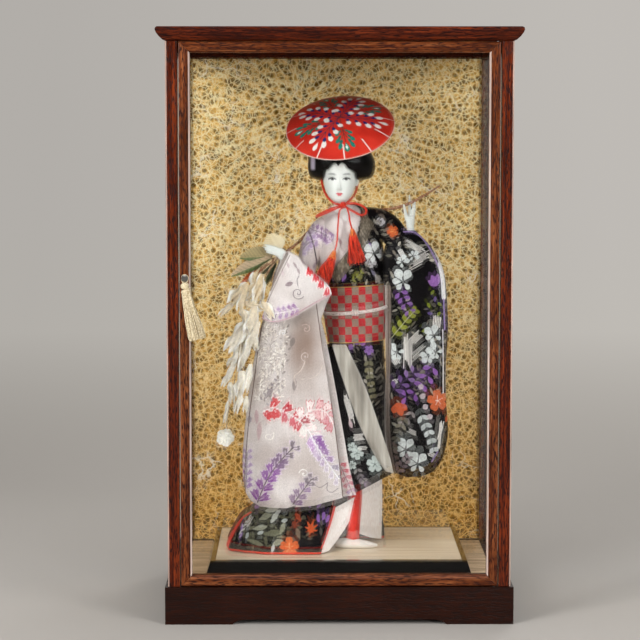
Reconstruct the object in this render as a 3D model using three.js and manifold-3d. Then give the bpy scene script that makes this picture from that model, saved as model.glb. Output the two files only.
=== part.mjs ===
// A dressed Japanese dance doll on a lacquered stand, in a glazed wooden display case with a
// hinged door. Millimetres, +Z up, the door faces -Y. The origin is under the middle of the case.
import * as THREE from "three";
import { mergeVertices } from "three/addons/utils/BufferGeometryUtils.js";
import Module from "manifold-3d";

const wasm = await Module();
wasm.setup();

// Driving sizes of the case
const case_width = 346;
const case_depth = 270;
const case_height = 600;
const post = 12;
const base_height = 38;
const base_overhang = 3;
const base_board = 15;
const arch_height = 5;
const arch_inset = 68;
const arch_ramp = 14;
const floor_thickness = 6;
const floor_drop = 0.8;
const cornice_height = 14;
const cornice_overhang = 9.5;
const top_board = 5;
const rail_height = 12;
const glass = 2;
const glass_bite = 4;
const back_panel_thickness = 3;
const back_panel_setback = 4.4;
const seat_gap = 0.3;

// Driving sizes of the door
const door_gap = 1.2;
const door_frame = 11;
const door_thickness = 12;
const bevel = 3.4;
const edge_round = 1.2;
const glass_groove = 3;
const glass_setback = 5.7;
const pivot_inset = 3.2;
const pivot_radius = 1.2;
const pivot_clearance = 0.3;
const pivot_length = 16;
const knob_height = 351;
const knob_radius = 3.6;
const knob_reach = 8.6;
const knob_stem = 1.6;
const catch_height = 330;
const catch_size = [8, 8, 30];
const strike_thickness = 0.8;
const strike_width = 6;

// Driving sizes of the door pull's tassel
const tassel_depth = 4.7;
const tassel_loop_radius = 5.2;
const tassel_cord = 1;
const tassel_length = 50;
const tassel_top = 5;
const tassel_bottom = 9.3;
const tassel_thickness = 3.6;
const tassel_lean = 12.5;

// Driving sizes of the doll's stand
const stand_width = 275;
const stand_depth = 203;
const stand_height = 20.8;
const stand_slope = 6;
const stand_rim = 5;
const stand_top_thickness = 3;
const stand_setback = 29;

const door_bottom = base_height + door_gap / 2;
const cornice_bottom = case_height - cornice_height;
const door_height = cornice_bottom - door_gap / 2 - door_bottom;
const door_width = case_width - 2 * post - 2 * door_gap;
const floor_top = base_height - floor_drop;
const stand_top = floor_top + stand_height;

// The finishes
const finish = (color, roughness, metalness = 0) =>
  new THREE.MeshStandardMaterial({ color, roughness, metalness });
const stained_wood = finish(0x4a1c10, 0.35);
const floor_print = finish(0x8a7358, 0.6);
const backing = finish(0xb08a45, 0.7);
const pane = new THREE.MeshStandardMaterial({
  color: 0xdfe8e6,
  roughness: 0.05,
  transparent: true,
  opacity: 0.3,
});
const pewter = finish(0x8d8a84, 0.3, 0.9);
const steel = finish(0x9a9a9a, 0.4, 0.9);
const magnet = finish(0x2a2522, 0.6);
const cream_thread = finish(0xcdb8a0, 0.8);
const black_lacquer = finish(0x15130f, 0.15);
const pale_wood = finish(0xcdb591, 0.5);
const shell_paint = finish(0xe6ece6, 0.35);
const black_hair = finish(0x0c0a0c, 0.25);
const red_lacquer = finish(0xc8352a, 0.25);
const white_silk = finish(0xcfc6c6, 0.45);
const black_silk = finish(0x1a1718, 0.5);
const lining_silk = finish(0xb9b7b0, 0.4);
const white_lining = finish(0xe8dcd4, 0.6);
const red_silk = finish(0xd22f26, 0.5);
const checked_brocade = finish(0xb04a3c, 0.5);
const twig = finish(0x7a4a32, 0.7);
const petals = finish(0xd9cca6, 0.8);
const leaf_green = finish(0x5a6b45, 0.7);
const straw = finish(0xb79b63, 0.9);

// A geometry's places alone, as one closed net
function bare_of(geometry) {
  const bare = geometry.index ? geometry.toNonIndexed() : geometry.clone();
  bare.deleteAttribute("normal");
  bare.deleteAttribute("uv");
  return mergeVertices(bare, 1e-4);
}

// A geometry as a solid, and a solid as a geometry
function solid_of(geometry) {
  const merged = bare_of(geometry);
  return new wasm.Manifold(
    new wasm.Mesh({
      numProp: 3,
      vertProperties: merged.attributes.position.array,
      triVerts: new Uint32Array(merged.index.array),
    }),
  );
}

function geometry_of(solid) {
  const mesh = solid.getMesh();
  const geometry = new THREE.BufferGeometry();
  geometry.setAttribute("position", new THREE.BufferAttribute(mesh.vertProperties, 3));
  geometry.setIndex(new THREE.BufferAttribute(mesh.triVerts, 1));
  return geometry;
}

// The biggest of the bodies that a cut leaves
function biggest(solid) {
  const bodies = solid.decompose();
  bodies.sort((a, b) => b.volume() - a.volume());
  return bodies[0];
}

// The same closed surface, a little larger all over
function grown(geometry, gap) {
  const merged = bare_of(geometry);
  merged.computeVertexNormals();
  const { position, normal } = merged.attributes;
  for (let i = 0; i < position.count; i++)
    position.setXYZ(
      i,
      position.getX(i) + normal.getX(i) * gap,
      position.getY(i) + normal.getY(i) * gap,
      position.getZ(i) + normal.getZ(i) * gap,
    );
  merged.deleteAttribute("normal");
  return merged;
}

// A piece with its neighbours, and the clearance round them, taken out of it
function carve(geometry, neighbours, gap = seat_gap) {
  let solid = solid_of(geometry);
  for (const neighbour of neighbours)
    solid = solid.subtract(solid_of(grown(neighbour, gap)));
  return geometry_of(biggest(solid));
}

function joined(...geometries) {
  return geometry_of(biggest(wasm.Manifold.union(geometries.map(solid_of))));
}

function common(a, b) {
  return geometry_of(biggest(solid_of(a).intersect(solid_of(b))));
}

// Turns a closed surface's faces outwards
function facing_out(geometry) {
  const p = geometry.attributes.position;
  const index = geometry.index.array;
  const a = new THREE.Vector3();
  const b = new THREE.Vector3();
  const c = new THREE.Vector3();
  let volume = 0;
  for (let i = 0; i < index.length; i += 3) {
    a.fromBufferAttribute(p, index[i]);
    b.fromBufferAttribute(p, index[i + 1]);
    c.fromBufferAttribute(p, index[i + 2]);
    volume += a.dot(b.cross(c));
  }
  if (volume < 0)
    for (let i = 0; i < index.length; i += 3) {
      const kept = index[i];
      index[i] = index[i + 1];
      index[i + 1] = kept;
    }
  return geometry;
}

function surface(points, index) {
  const geometry = new THREE.BufferGeometry();
  geometry.setAttribute("position", new THREE.Float32BufferAttribute(points.flat(), 3));
  geometry.setIndex(index);
  return facing_out(geometry);
}

// A closed body through rings of points, with a fan at each end or joined end to end
function skin(rings, closed = false) {
  const count = rings[0].length;
  const points = rings.flat();
  const index = [];
  const bands = closed ? rings.length : rings.length - 1;
  for (let r = 0; r < bands; r++)
    for (let i = 0; i < count; i++) {
      const next = (i + 1) % count;
      const a = r * count + i;
      const b = r * count + next;
      const above = ((r + 1) % rings.length) * count;
      index.push(a, b, above + next, a, above + next, above + i);
    }
  if (!closed)
    for (const [r, turned] of [[0, true], [rings.length - 1, false]]) {
      const middle = [0, 1, 2].map((k) => rings[r].reduce((sum, p) => sum + p[k], 0) / count);
      points.push(middle);
      for (let i = 0; i < count; i++) {
        const pair = [r * count + i, r * count + ((i + 1) % count)];
        if (turned) pair.reverse();
        index.push(points.length - 1, ...pair);
      }
    }
  return surface(points, index);
}

// The values between rows of numbers, on a smooth curve through them
function between(rows, t) {
  const place = Math.min(Math.max(t, 0), 1) * (rows.length - 1);
  const i = Math.min(Math.floor(place), rows.length - 2);
  const f = place - i;
  const [p, q, r, s] = [i - 1, i, i + 1, i + 2].map(
    (k) => rows[Math.min(Math.max(k, 0), rows.length - 1)],
  );
  return q.map((value, k) => {
    const m = (r[k] - p[k]) / 2;
    const n = (s[k] - q[k]) / 2;
    const d = r[k] - value;
    return value + f * (m + f * (3 * d - 2 * m - n + f * (m + n - 2 * d)));
  });
}

// A body that swells and tapers: each station is x, y, z, half width and half depth
function loft(stations, sides, steps, { round = 1, tilt = 0, ripple } = {}) {
  const power = (value) => Math.sign(value) * Math.abs(value) ** round;
  const rings = [];
  for (let j = 0; j <= steps; j++) {
    const t = j / steps;
    const [x, y, z, wide, deep] = between(stations, t);
    rings.push(
      Array.from({ length: sides }, (_, i) => {
        const angle = (2 * Math.PI * i) / sides;
        const fold = ripple ? ripple(angle, t) : 0;
        const across = (wide + fold) * power(Math.cos(angle));
        const back = (deep + fold) * power(Math.sin(angle));
        return [x + across, y + back, z + tilt * across];
      }),
    );
  }
  return skin(rings);
}

// A body swept along a curve: each station is x, y, z, its half width and its half thickness.
// The thickness lies as near to the hint's direction as it can.
function limb(stations, sides, steps, { hint = [0, 1, 0], ripple } = {}) {
  const lie = new THREE.Vector3(...hint);
  const place = (t) => new THREE.Vector3(...between(stations, t).slice(0, 3));
  const rings = [];
  for (let j = 0; j <= steps; j++) {
    const t = j / steps;
    const [x, y, z, wide, deep] = between(stations, t);
    const along = place(t + 0.01).sub(place(t - 0.01)).normalize();
    const across = along.clone().cross(lie).normalize();
    const through = across.clone().cross(along);
    rings.push(
      Array.from({ length: sides }, (_, i) => {
        const angle = (2 * Math.PI * i) / sides;
        const fold = ripple ? ripple(angle, t) : 0;
        return new THREE.Vector3(x, y, z)
          .addScaledVector(across, (wide + fold) * Math.cos(angle))
          .addScaledVector(through, (deep + fold) * Math.sin(angle))
          .toArray();
      }),
    );
  }
  return skin(rings);
}

// A flat bag of cloth: each row is its left point, its right point, its half thickness and the
// sag between them. Pleats push the whole bag forwards and back.
function bag(rows, sides, steps, { pleats = 0, depth = 0, slant = 0 } = {}) {
  const rings = [];
  for (let j = 0; j <= steps; j++) {
    const t = j / steps;
    const [xl, yl, zl, xr, yr, zr, half, sag] = between(rows, t);
    rings.push(
      Array.from({ length: sides }, (_, i) => {
        const angle = (2 * Math.PI * (i + 0.5)) / sides;
        const u = (1 - Math.cos(angle)) / 2;
        const turn = 2 * Math.PI * (pleats * u + slant * t);
        const wave = depth * t * Math.sin(Math.PI * u) * Math.sin(turn);
        const side = half * Math.sign(Math.sin(angle)) * Math.abs(Math.sin(angle)) ** 0.8;
        const drop = sag * Math.sin(Math.PI * u);
        return [xl + (xr - xl) * u, yl + (yr - yl) * u + wave + side, zl + (zr - zl) * u - drop];
      }),
    );
  }
  return skin(rings);
}

// A sheet of cloth with a thickness, on a net of points by rows and columns
function sheet(net, across, down, thickness, ripple) {
  const flat = net.map((row) => row.flat());
  const width = net[0].length;
  const point = (u, v) => {
    const row = between(flat, v);
    const columns = Array.from({ length: width }, (_, k) => row.slice(3 * k, 3 * k + 3));
    const at = between(columns, u);
    if (ripple) at[1] += ripple(u, v);
    return new THREE.Vector3(...at);
  };
  const step = 1e-3;
  const faces = [];
  for (const side of [0.5, -0.5]) {
    const face = [];
    for (let j = 0; j <= down; j++)
      for (let i = 0; i <= across; i++) {
        const u = Math.min(Math.max(i / across, step), 1 - step);
        const v = Math.min(Math.max(j / down, step), 1 - step);
        const along = point(u + step, v).sub(point(u - step, v));
        const below = point(u, v + step).sub(point(u, v - step));
        const normal = along.cross(below).normalize();
        const at = point(i / across, j / down).addScaledVector(normal, side * thickness);
        face.push(at.toArray());
      }
    faces.push(face);
  }
  const row = across + 1;
  const size = row * (down + 1);
  const index = [];
  const quad = (a, b, c, d) => index.push(a, b, c, a, c, d);
  for (let j = 0; j < down; j++)
    for (let i = 0; i < across; i++) {
      const a = j * row + i;
      quad(a, a + row, a + row + 1, a + 1);
      quad(size + a, size + a + 1, size + a + row + 1, size + a + row);
    }
  for (let i = 0; i < across; i++) {
    quad(i, i + 1, size + i + 1, size + i);
    const end = down * row + i;
    quad(end + 1, end, size + end, size + end + 1);
  }
  for (let j = 0; j < down; j++) {
    const left = j * row;
    quad(left + row, left, size + left, size + left + row);
    const right = j * row + across;
    quad(right, right + row, size + right + row, size + right);
  }
  return surface(faces.flat(), index);
}

// A round bar along a smooth curve
function tube(points, radius, sides, steps) {
  const section = new THREE.Shape();
  for (let i = 0; i < sides; i++) {
    const angle = (2 * Math.PI * i) / sides;
    const spot = [radius * Math.cos(angle), radius * Math.sin(angle)];
    if (i) section.lineTo(...spot);
    else section.moveTo(...spot);
  }
  const path = new THREE.CatmullRomCurve3(points.map((p) => new THREE.Vector3(...p)));
  return new THREE.ExtrudeGeometry(section, { steps, extrudePath: path, bevelEnabled: false });
}

// A moulding of outline [out, up], laid along x with its outer side to -y. Each end is mitred
// by its share, 1 for a full mitre and 0 for a square end.
function moulding(outline, length, left = 1, right = 1) {
  const points = [];
  for (const [end, share] of [[-1, left], [1, right]])
    for (const [out, up] of outline) points.push([end * (length / 2 + out * share), -out, up]);
  const count = outline.length;
  const index = [];
  for (let i = 0; i < count; i++) {
    const next = (i + 1) % count;
    index.push(i, next, count + next, i, count + next, count + i);
  }
  const contour = outline.map(([out, up]) => new THREE.Vector2(out, up));
  for (const [a, b, c] of THREE.ShapeUtils.triangulateShape(contour, [])) {
    index.push(c, b, a);
    index.push(count + a, count + b, count + c);
  }
  if (THREE.ShapeUtils.isClockWise(contour))
    for (let i = 6 * count; i < index.length; i += 3)
      [index[i], index[i + 1]] = [index[i + 1], index[i]];
  return surface(points, index);
}

const box = (x, y, z) => new THREE.BoxGeometry(x, y, z);
const placed = (geometry, x, y, z) => geometry.translate(x, y, z);

// A box from its lowest to its highest corner
const block = (low, high) =>
  placed(
    box(high[0] - low[0], high[1] - low[1], high[2] - low[2]),
    (low[0] + high[0]) / 2,
    (low[1] + high[1]) / 2,
    (low[2] + high[2]) / 2,
  );

const upright = (radius, low, high, x, y, sides = 16) =>
  placed(
    new THREE.CylinderGeometry(radius, radius, high - low, sides).rotateX(Math.PI / 2),
    x,
    y,
    (low + high) / 2,
  );

function add(group, name, geometry, material) {
  const mesh = new THREE.Mesh(geometry, material);
  mesh.name = name;
  group.add(mesh);
  return mesh;
}

// Inside the display case, y is measured back from the front face of the posts
const display_case = new THREE.Group();
display_case.position.y = -(case_depth - cornice_overhang) / 2;

const half_width = case_width / 2;
const pane_centre = half_width - post / 2;
const back_face = case_depth - post + back_panel_setback;

// The sheets of glass and the back board, whose edges sit in grooves
const groove_bottom = base_height - glass_bite;
const groove_top = cornice_bottom - rail_height + glass_bite;
const side_pane = (side) =>
  block(
    [side * pane_centre - glass / 2, post - glass_bite, groove_bottom],
    [side * pane_centre + glass / 2, case_depth - post + glass_bite, groove_top],
  );
const left_pane = side_pane(-1);
const right_pane = side_pane(1);
const back_board = block(
  [-half_width + post - glass_bite, back_face, groove_bottom],
  [half_width - post + glass_bite, back_face + back_panel_thickness, groove_top],
);
const grooved = [left_pane, right_pane, back_board];

// The hinge pins stand on the door's axis
const pivot_x = half_width - post - door_gap - pivot_inset;
const half_pin = pivot_length / 2;
const pin = (radius, low, high) => upright(radius, low, high, pivot_x, pivot_inset);
const lower_pin = pin(pivot_radius, base_height - half_pin, base_height + half_pin);
const upper_pin = pin(pivot_radius, cornice_bottom - half_pin, cornice_bottom + half_pin);

// A base board: a plank with a shallow arch between its two feet
function base_plank(length, thickness) {
  const half = length / 2;
  const foot = half - arch_inset * (length / (case_width + 2 * base_overhang));
  const bend = foot - arch_ramp * 0.3;
  const outline = new THREE.Shape();
  outline.moveTo(-half, 0);
  outline.lineTo(-foot, 0);
  outline.quadraticCurveTo(-bend, arch_height, arch_ramp - foot, arch_height);
  outline.lineTo(foot - arch_ramp, arch_height);
  outline.quadraticCurveTo(bend, arch_height, foot, 0);
  outline.lineTo(half, 0);
  outline.lineTo(half, base_height);
  outline.lineTo(-half, base_height);
  const plank = new THREE.ExtrudeGeometry(outline, {
    depth: thickness,
    bevelEnabled: false,
    curveSegments: 5,
  });
  return plank.rotateX(Math.PI / 2).translate(0, thickness, 0);
}

function make_base() {
  const length = case_width + 2 * base_overhang;
  const front = placed(base_plank(length, base_board), 0, -base_overhang, 0);
  add(display_case, "base_front_board", carve(front, [...grooved, lower_pin]), stained_wood);
  const rear = placed(base_plank(length, base_board), 0, case_depth - base_board, 0);
  add(display_case, "base_rear_board", carve(rear, grooved), stained_wood);
  const run = case_depth + base_overhang - 2 * base_board - 2 * seat_gap;
  const middle = (case_depth - base_overhang) / 2;
  for (const [name, side] of [["base_left_board", -1], ["base_right_board", 1]]) {
    const plank = base_plank(run, base_board).translate(0, -base_board / 2, 0).rotateZ(Math.PI / 2);
    placed(plank, side * (half_width + base_overhang - base_board / 2), middle, 0);
    add(display_case, name, carve(plank, grooved), stained_wood);
  }
  const inside = half_width + base_overhang - base_board - seat_gap;
  const floor_board = block(
    [-inside, base_board - base_overhang + seat_gap, floor_top - floor_thickness],
    [inside, case_depth - base_board - seat_gap, floor_top],
  );
  add(display_case, "floor_board", carve(floor_board, grooved), floor_print);
}

function make_posts() {
  const low = base_height + seat_gap;
  const high = cornice_bottom - seat_gap;
  for (const [side, word] of [[-1, "left"], [1, "right"]])
    for (const [y, end] of [[0, "front"], [case_depth - post, "rear"]]) {
      const x = side * (half_width - post / 2);
      const stick = block([x - post / 2, y, low], [x + post / 2, y + post, high]);
      add(display_case, `${end}_${word}_post`, carve(stick, grooved), stained_wood);
    }
}

// The cornice is a nosed moulding, mitred at the front corners and square at the back
function make_top() {
  const outline = [
    [-post, 0],
    [0, 0],
    [0.25 * cornice_overhang, 1.2],
    [0.6 * cornice_overhang, 4.4],
    [0.88 * cornice_overhang, 8],
    [cornice_overhang, 11],
    [0.94 * cornice_overhang, 13],
    [0.78 * cornice_overhang, cornice_height],
    [-post, cornice_height],
  ];
  const gap = seat_gap / 2;
  const front = moulding(outline, case_width - 2 * gap).translate(0, 0, cornice_bottom);
  add(display_case, "cornice_front", carve(front, [upper_pin]), stained_wood);
  const run = case_depth - 2 * gap;
  for (const [name, side] of [["cornice_left", -1], ["cornice_right", 1]]) {
    const bar = side < 0 ? moulding(outline, run, 0, 1) : moulding(outline, run, 1, 0);
    bar.rotateZ((side * Math.PI) / 2);
    placed(bar, side * half_width, case_depth / 2 + gap, cornice_bottom);
    const rail = block(
      [side * half_width - (side > 0 ? post : 0), post + seat_gap, cornice_bottom - rail_height],
      [side * half_width + (side > 0 ? 0 : post), case_depth - post - seat_gap, cornice_bottom + 1],
    );
    add(display_case, name, carve(joined(bar, rail), grooved), stained_wood);
  }
  const inner = half_width - post - seat_gap;
  const rear = block(
    [-inner, case_depth - post, cornice_bottom - rail_height],
    [inner, case_depth, case_height],
  );
  add(display_case, "cornice_rear", carve(rear, grooved), stained_wood);
  const board = block(
    [-inner, post + seat_gap, case_height - top_board],
    [inner, case_depth - post - seat_gap, case_height],
  );
  add(display_case, "top_board", board, stained_wood);
}

// The door turns on the two pins at its right edge
const door = new THREE.Group();
display_case.add(door);
const door_centre = door_bottom + door_height / 2;

const door_outline = [
  [0, edge_round],
  [-0.3 * edge_round, 0.3 * edge_round],
  [-edge_round, 0],
  [bevel - door_frame, 0],
  [-door_frame, bevel],
  [-door_frame, glass_setback - seat_gap],
  [glass_groove - door_frame, glass_setback - seat_gap],
  [glass_groove - door_frame, glass_setback + glass + seat_gap],
  [-door_frame, glass_setback + glass + seat_gap],
  [-door_frame, door_thickness],
  [0, door_thickness],
];

// A door member stands with its outer edge away from the door's middle
function door_member(length, turn, reach) {
  const gap = seat_gap / 2;
  const bar = moulding(door_outline, length - 2 * gap).rotateX(Math.PI / 2);
  bar.scale(1, -1, 1);
  const member = facing_out(mergeVertices(bar));
  return member.translate(0, 0, -reach).rotateY(turn).translate(0, 0, door_centre);
}

const knob = (() => {
  const outline = [
    [0, -7],
    [knob_stem, -7],
    [knob_stem, 4.2],
    [knob_radius * 0.8, 4.6],
    [knob_radius, 5.8],
    [knob_radius, knob_reach - 1.2],
    [knob_radius * 0.6, knob_reach],
    [0, knob_reach],
  ].map(([r, h]) => new THREE.Vector2(r, h));
  return new THREE.LatheGeometry(outline, 16).rotateX(Math.PI);
})();
const knob_x = -(door_width / 2 - door_frame / 2);
placed(knob, knob_x, 0, knob_height);

function make_door() {
  const bore = pivot_radius + pivot_clearance;
  const bores = [
    pin(bore, door_bottom - 1, base_height + half_pin + 1),
    pin(bore, cornice_bottom - half_pin - 1, cornice_bottom),
  ];
  const half_up = door_height / 2;
  const half_across = door_width / 2;
  add(door, "door_bottom_rail", carve(door_member(door_width, 0, half_up), bores, 0), stained_wood);
  add(door, "door_top_rail", carve(door_member(door_width, Math.PI, half_up), bores, 0), stained_wood);
  const left = door_member(door_height, Math.PI / 2, half_across);
  add(door, "door_left_stile", carve(left, [knob]), stained_wood);
  const right = door_member(door_height, -Math.PI / 2, half_across);
  add(door, "door_right_stile", carve(right, bores, 0), stained_wood);
  const edge = door_frame - glass_groove + seat_gap;
  const light = block(
    [-half_across + edge, glass_setback, door_bottom + edge],
    [half_across - edge, glass_setback + glass, door_bottom + door_height - edge],
  );
  add(door, "door_glass", light, pane);
  add(door, "door_knob", knob, pewter);
  const strike = placed(
    box(strike_width, strike_thickness, 0.8 * catch_size[2]),
    -half_across + door_frame / 2,
    door_thickness + seat_gap + strike_thickness / 2,
    catch_height,
  );
  add(door, "catch_strike", strike, steel);
}

function make_fittings() {
  add(display_case, "lower_pivot_pin", lower_pin, steel);
  add(display_case, "upper_pivot_pin", upper_pin, steel);
  const near = door_thickness + 2 * seat_gap + strike_thickness;
  const side = -half_width + post + seat_gap;
  const block_magnet = block(
    [side, near, catch_height - catch_size[2] / 2],
    [side + catch_size[0], near + catch_size[1], catch_height + catch_size[2] / 2],
  );
  add(display_case, "catch_magnet", block_magnet, magnet);
  add(display_case, "left_glass", left_pane, pane);
  add(display_case, "right_glass", right_pane, pane);
  add(display_case, "back_panel", back_board, backing);
}

// The door pull: a cord loop over the knob, knotted and bound, with a skirt of thread below
const pull = new THREE.Group();
pull.position.set(knob_x, -tassel_depth, knob_height);
door.add(pull);

function make_pull() {
  const circle = (radius, sides, turn) =>
    Array.from({ length: sides }, (_, i) => {
      const angle = turn + (2 * Math.PI * i) / sides;
      return [radius * Math.cos(angle), radius * Math.sin(angle)];
    });
  const neck = knob_stem + tassel_cord + seat_gap;
  const rings = circle(1, 16, 0).map(([c, s]) => {
    const stretch = s > 0 ? neck : tassel_loop_radius;
    return circle(tassel_cord, 6, 0).map(([out, up]) => [
      c * (neck + out),
      up + tassel_depth - 2.4,
      s * (stretch + out),
    ]);
  });
  const loop = skin(rings, true);
  const lower = -tassel_loop_radius;
  const knot = loft(
    [
      [0, 0, lower + 1.4, 1.4, 1.4],
      [0, 0, lower, 3.6, 3.4],
      [0.4, 0, lower - 3.2, 3.9, 3.4],
      [0.6, 0, lower - 6, 2.4, 2.4],
    ],
    10,
    6,
  );
  add(pull, "pull_cord", joined(loop, knot), cream_thread);
  const top = lower - 6 - seat_gap;
  const skirt = loft(
    [
      [0.6, 0, top, 2.6, 2.4],
      [0.9, 0, top - 1.2, tassel_top, tassel_thickness * 0.85],
      [1.6, 0, top - 4.5, tassel_top * 0.95, tassel_thickness * 0.8],
      [tassel_lean * 0.4, 0, top - tassel_length * 0.4, tassel_top * 1.25, tassel_thickness * 0.9],
      [tassel_lean * 0.72, 0, top - tassel_length * 0.72, tassel_bottom * 0.88, tassel_thickness],
      [tassel_lean, 0, top - tassel_length, tassel_bottom, tassel_thickness * 0.95],
    ],
    21,
    8,
    { ripple: (angle, t) => (t > 0.3 ? 0.35 * Math.cos(7 * angle) : 0) },
  );
  add(pull, "pull_tassel", skirt, cream_thread);
}

// The doll's stand: a pale board in a black lacquered frame with sloping sides
const stand = new THREE.Group();
const stand_centre = stand_setback + stand_depth / 2;
stand.position.set(0, stand_centre, floor_top);
display_case.add(stand);

function make_stand(wire) {
  const rings = [
    [0, seat_gap],
    [0, 2],
    [stand_slope, stand_height],
    [stand_slope + stand_rim, stand_height],
    [stand_slope + stand_rim, seat_gap],
  ].map(([inset, z]) => {
    const x = stand_width / 2 - inset;
    const y = stand_depth / 2 - inset;
    return [[-x, -y, z], [x, -y, z], [x, y, z], [-x, y, z]];
  });
  add(stand, "stand_frame", skin(rings, true), black_lacquer);
  const inset = 2 * (stand_slope + stand_rim + seat_gap);
  const top = box(stand_width - inset, stand_depth - inset, stand_top_thickness);
  placed(top, 0, 0, stand_height - stand_top_thickness / 2);
  const below_doll = wire.clone().translate(0, 0, stand_height);
  add(stand, "stand_top", carve(top, [below_doll]), pale_wood);
}

// The doll stands on the stand's pale board. Here the origin is on that board, at its middle.
const doll = new THREE.Group();
doll.position.set(0, stand_centre, stand_top);
display_case.add(doll);

// The trunk under the robe, from the hips to the neck
const trunk = [
  [19, -2, 212, 28.5, 22],
  [18, -1, 230, 30, 22.5],
  [16.5, 0, 252, 31.5, 23],
  [15, 0, 275, 32.5, 24],
  [13.5, 0, 296, 35.5, 24.5],
  [11.5, 1, 316, 35.5, 23.5],
  [11, 2, 333, 33.5, 21],
  [11, 3, 345, 28, 18],
  [9, 4, 354, 19, 14.5],
  [6.5, 4, 361, 13, 12.5],
];

// A point on the trunk: its bearing, 0 to the right and -90 in front, its height and how far out
function on_trunk([bearing, z, out]) {
  let low = 0;
  let high = 1;
  for (let i = 0; i < 30; i++) {
    const middle = (low + high) / 2;
    if (between(trunk, middle)[2] < z) low = middle;
    else high = middle;
  }
  const [x, y, , wide, deep] = between(trunk, low);
  const angle = THREE.MathUtils.degToRad(bearing);
  return [x + (wide + out) * Math.cos(angle), y + (deep + out) * Math.sin(angle), z];
}

const collar_thickness = 1.8;

function collar(inner, outer) {
  const net = inner.map((edge, i) => [on_trunk(edge), on_trunk(outer[i])]);
  return sheet(net, 1, 10, collar_thickness);
}

function make_head() {
  const skull = loft(
    [
      [1.8, -13, 363.6, 3, 3.5],
      [1.9, -10.5, 365.5, 7.5, 7.5],
      [2, -7.5, 369.5, 11.5, 12],
      [2.1, -4, 376, 15, 15.5],
      [2.2, -1, 384, 17.2, 18.5],
      [2.3, 1, 393, 18, 20],
      [2.4, 2, 403, 17.5, 20],
      [2.4, 3, 413, 14.5, 17],
      [2.4, 3.5, 420, 9, 11],
      [2.4, 3.5, 423, 2.5, 3],
    ],
    16,
    12,
  );
  const neck = loft([[5.5, 4, 338, 9, 9], [4.5, 3, 355, 8.5, 8.5], [3.6, 1.5, 374, 8.5, 8.5]], 10, 3);
  const nose = loft(
    [[1, -19.4, 377, 1.2, 1], [1, -19.8, 378.5, 2.2, 2.4], [1.2, -18.6, 386, 1.2, 1.6]],
    6,
    3,
  );
  return joined(skull, neck, nose);
}

// The hat is a shallow lacquered dome, worn low over the brow
const hat_radius = 57.5;
const hat_rise = 13;
const hat_thickness = 2;
const hat_pitch = 35;
const hat_roll = 6.8;

function make_hat() {
  const outline = [];
  const steps = 5;
  for (let i = 0; i <= steps; i++) {
    const r = (hat_radius * i) / steps;
    outline.push(new THREE.Vector2(r, hat_rise * (1 - (i / steps) ** 2.4)));
  }
  for (let i = steps; i >= 0; i--) {
    const r = ((hat_radius - hat_thickness * 0.7) * i) / steps;
    outline.push(new THREE.Vector2(r, (hat_rise - hat_thickness) * (1 - (i / steps) ** 2.4) - 0.9));
  }
  const dome = new THREE.LatheGeometry(outline, 28);
  dome.rotateX(Math.PI / 2);
  dome.rotateX(THREE.MathUtils.degToRad(hat_pitch));
  dome.rotateY(THREE.MathUtils.degToRad(-hat_roll));
  return facing_out(mergeVertices(bare_of(dome.translate(2.75, 6, 441.6)), 1e-4));
}

function make_hair(head, hat, cord) {
  const wig = loft(
    [
      [4, 20, 379, 10, 9],
      [4, 15, 385.5, 22, 17],
      [4, 10, 388.5, 31, 23],
      [4, 8, 394, 34.5, 26],
      [4.1, 7, 402, 35.4, 27.5],
      [4, 7, 410, 34, 27.5],
      [3.6, 8, 420, 28, 25],
      [3.2, 10, 430, 18, 19],
      [3, 11, 438, 12.5, 13.5],
      [3, 12, 462, 8, 9],
    ],
    16,
    9,
  );
  const brow = [
    [-15.5, 370],
    [-15.5, 396.5],
    [-10.5, 399],
    [-5.5, 405],
    [-0.5, 403.5],
    [4.5, 405.5],
    [9, 404.5],
    [15, 398],
    [19.8, 396.5],
    [19.8, 370],
  ].map(([x, z]) => new THREE.Vector2(x, z));
  const window = new THREE.ExtrudeGeometry(new THREE.Shape(brow), { depth: 40, bevelEnabled: false });
  window.rotateX(Math.PI / 2).translate(0, 2, 0);
  const cut = carve(carve(wig, [window], 0), [head, cord]);
  return carve(cut, [hat]);
}

// The red cord comes down inside the hair, under the chin, and is tied there in a bow
const cord_radius = 0.9;
const bow_knot = [5.3, -20.5, 361];

function make_chin_cord(head, hat) {
  const side = [
    [-15, 6, 452],
    [-17.4, 5, 428],
    [-18, 4, 410],
    [-17.6, 3, 394],
    [-15.9, 1, 380],
    [-12, -6, 370.6],
    [-5.2, -12.8, 363.6],
    [1.5, -17.5, 361.5],
  ];
  const other = side.map(([x, y, z]) => [4.6 - x, y, z]).reverse();
  const strap = tube([...side, [5, -19, 360.8], ...other.slice(1)], cord_radius, 5, 30);
  const [x, y, z] = bow_knot;
  const right_bow = [[17, y, 363], [28, y + 1, 358.5], [29, y + 1, 353], [24, y, 350.8], [15, y - 1, 355]];
  const left_bow = [[-9, y, 356.6], [-21, y + 1, 350.6], [-21.4, y, 349.4], [-10, y - 2.4, 354]];
  const bow = (points) => tube([[x, y, z], ...points, [x, y - 1, z]], cord_radius, 5, 14);
  const knot = placed(new THREE.SphereGeometry(2.6, 6, 5), x, y, z);
  return carve(joined(strap, bow(right_bow), bow(left_bow), knot), [head, hat]);
}

function make_tassel(stations) {
  return limb(stations, 12, 5, { ripple: (angle, t) => (t > 0.4 ? 0.3 * Math.cos(6 * angle) : 0) });
}

// Each free end of the cord hangs from the knot to a bound tassel
const left_end = [[4, -24, 358], [1.2, -25, 354], [0, -25.6, 341], [-1.2, -25.6, 323], [-3.4, -26, 314]];
const right_end = [[9.2, -22.6, 358.6], [11, -25, 353], [12, -26.2, 346], [14.2, -26.6, 337]];

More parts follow.
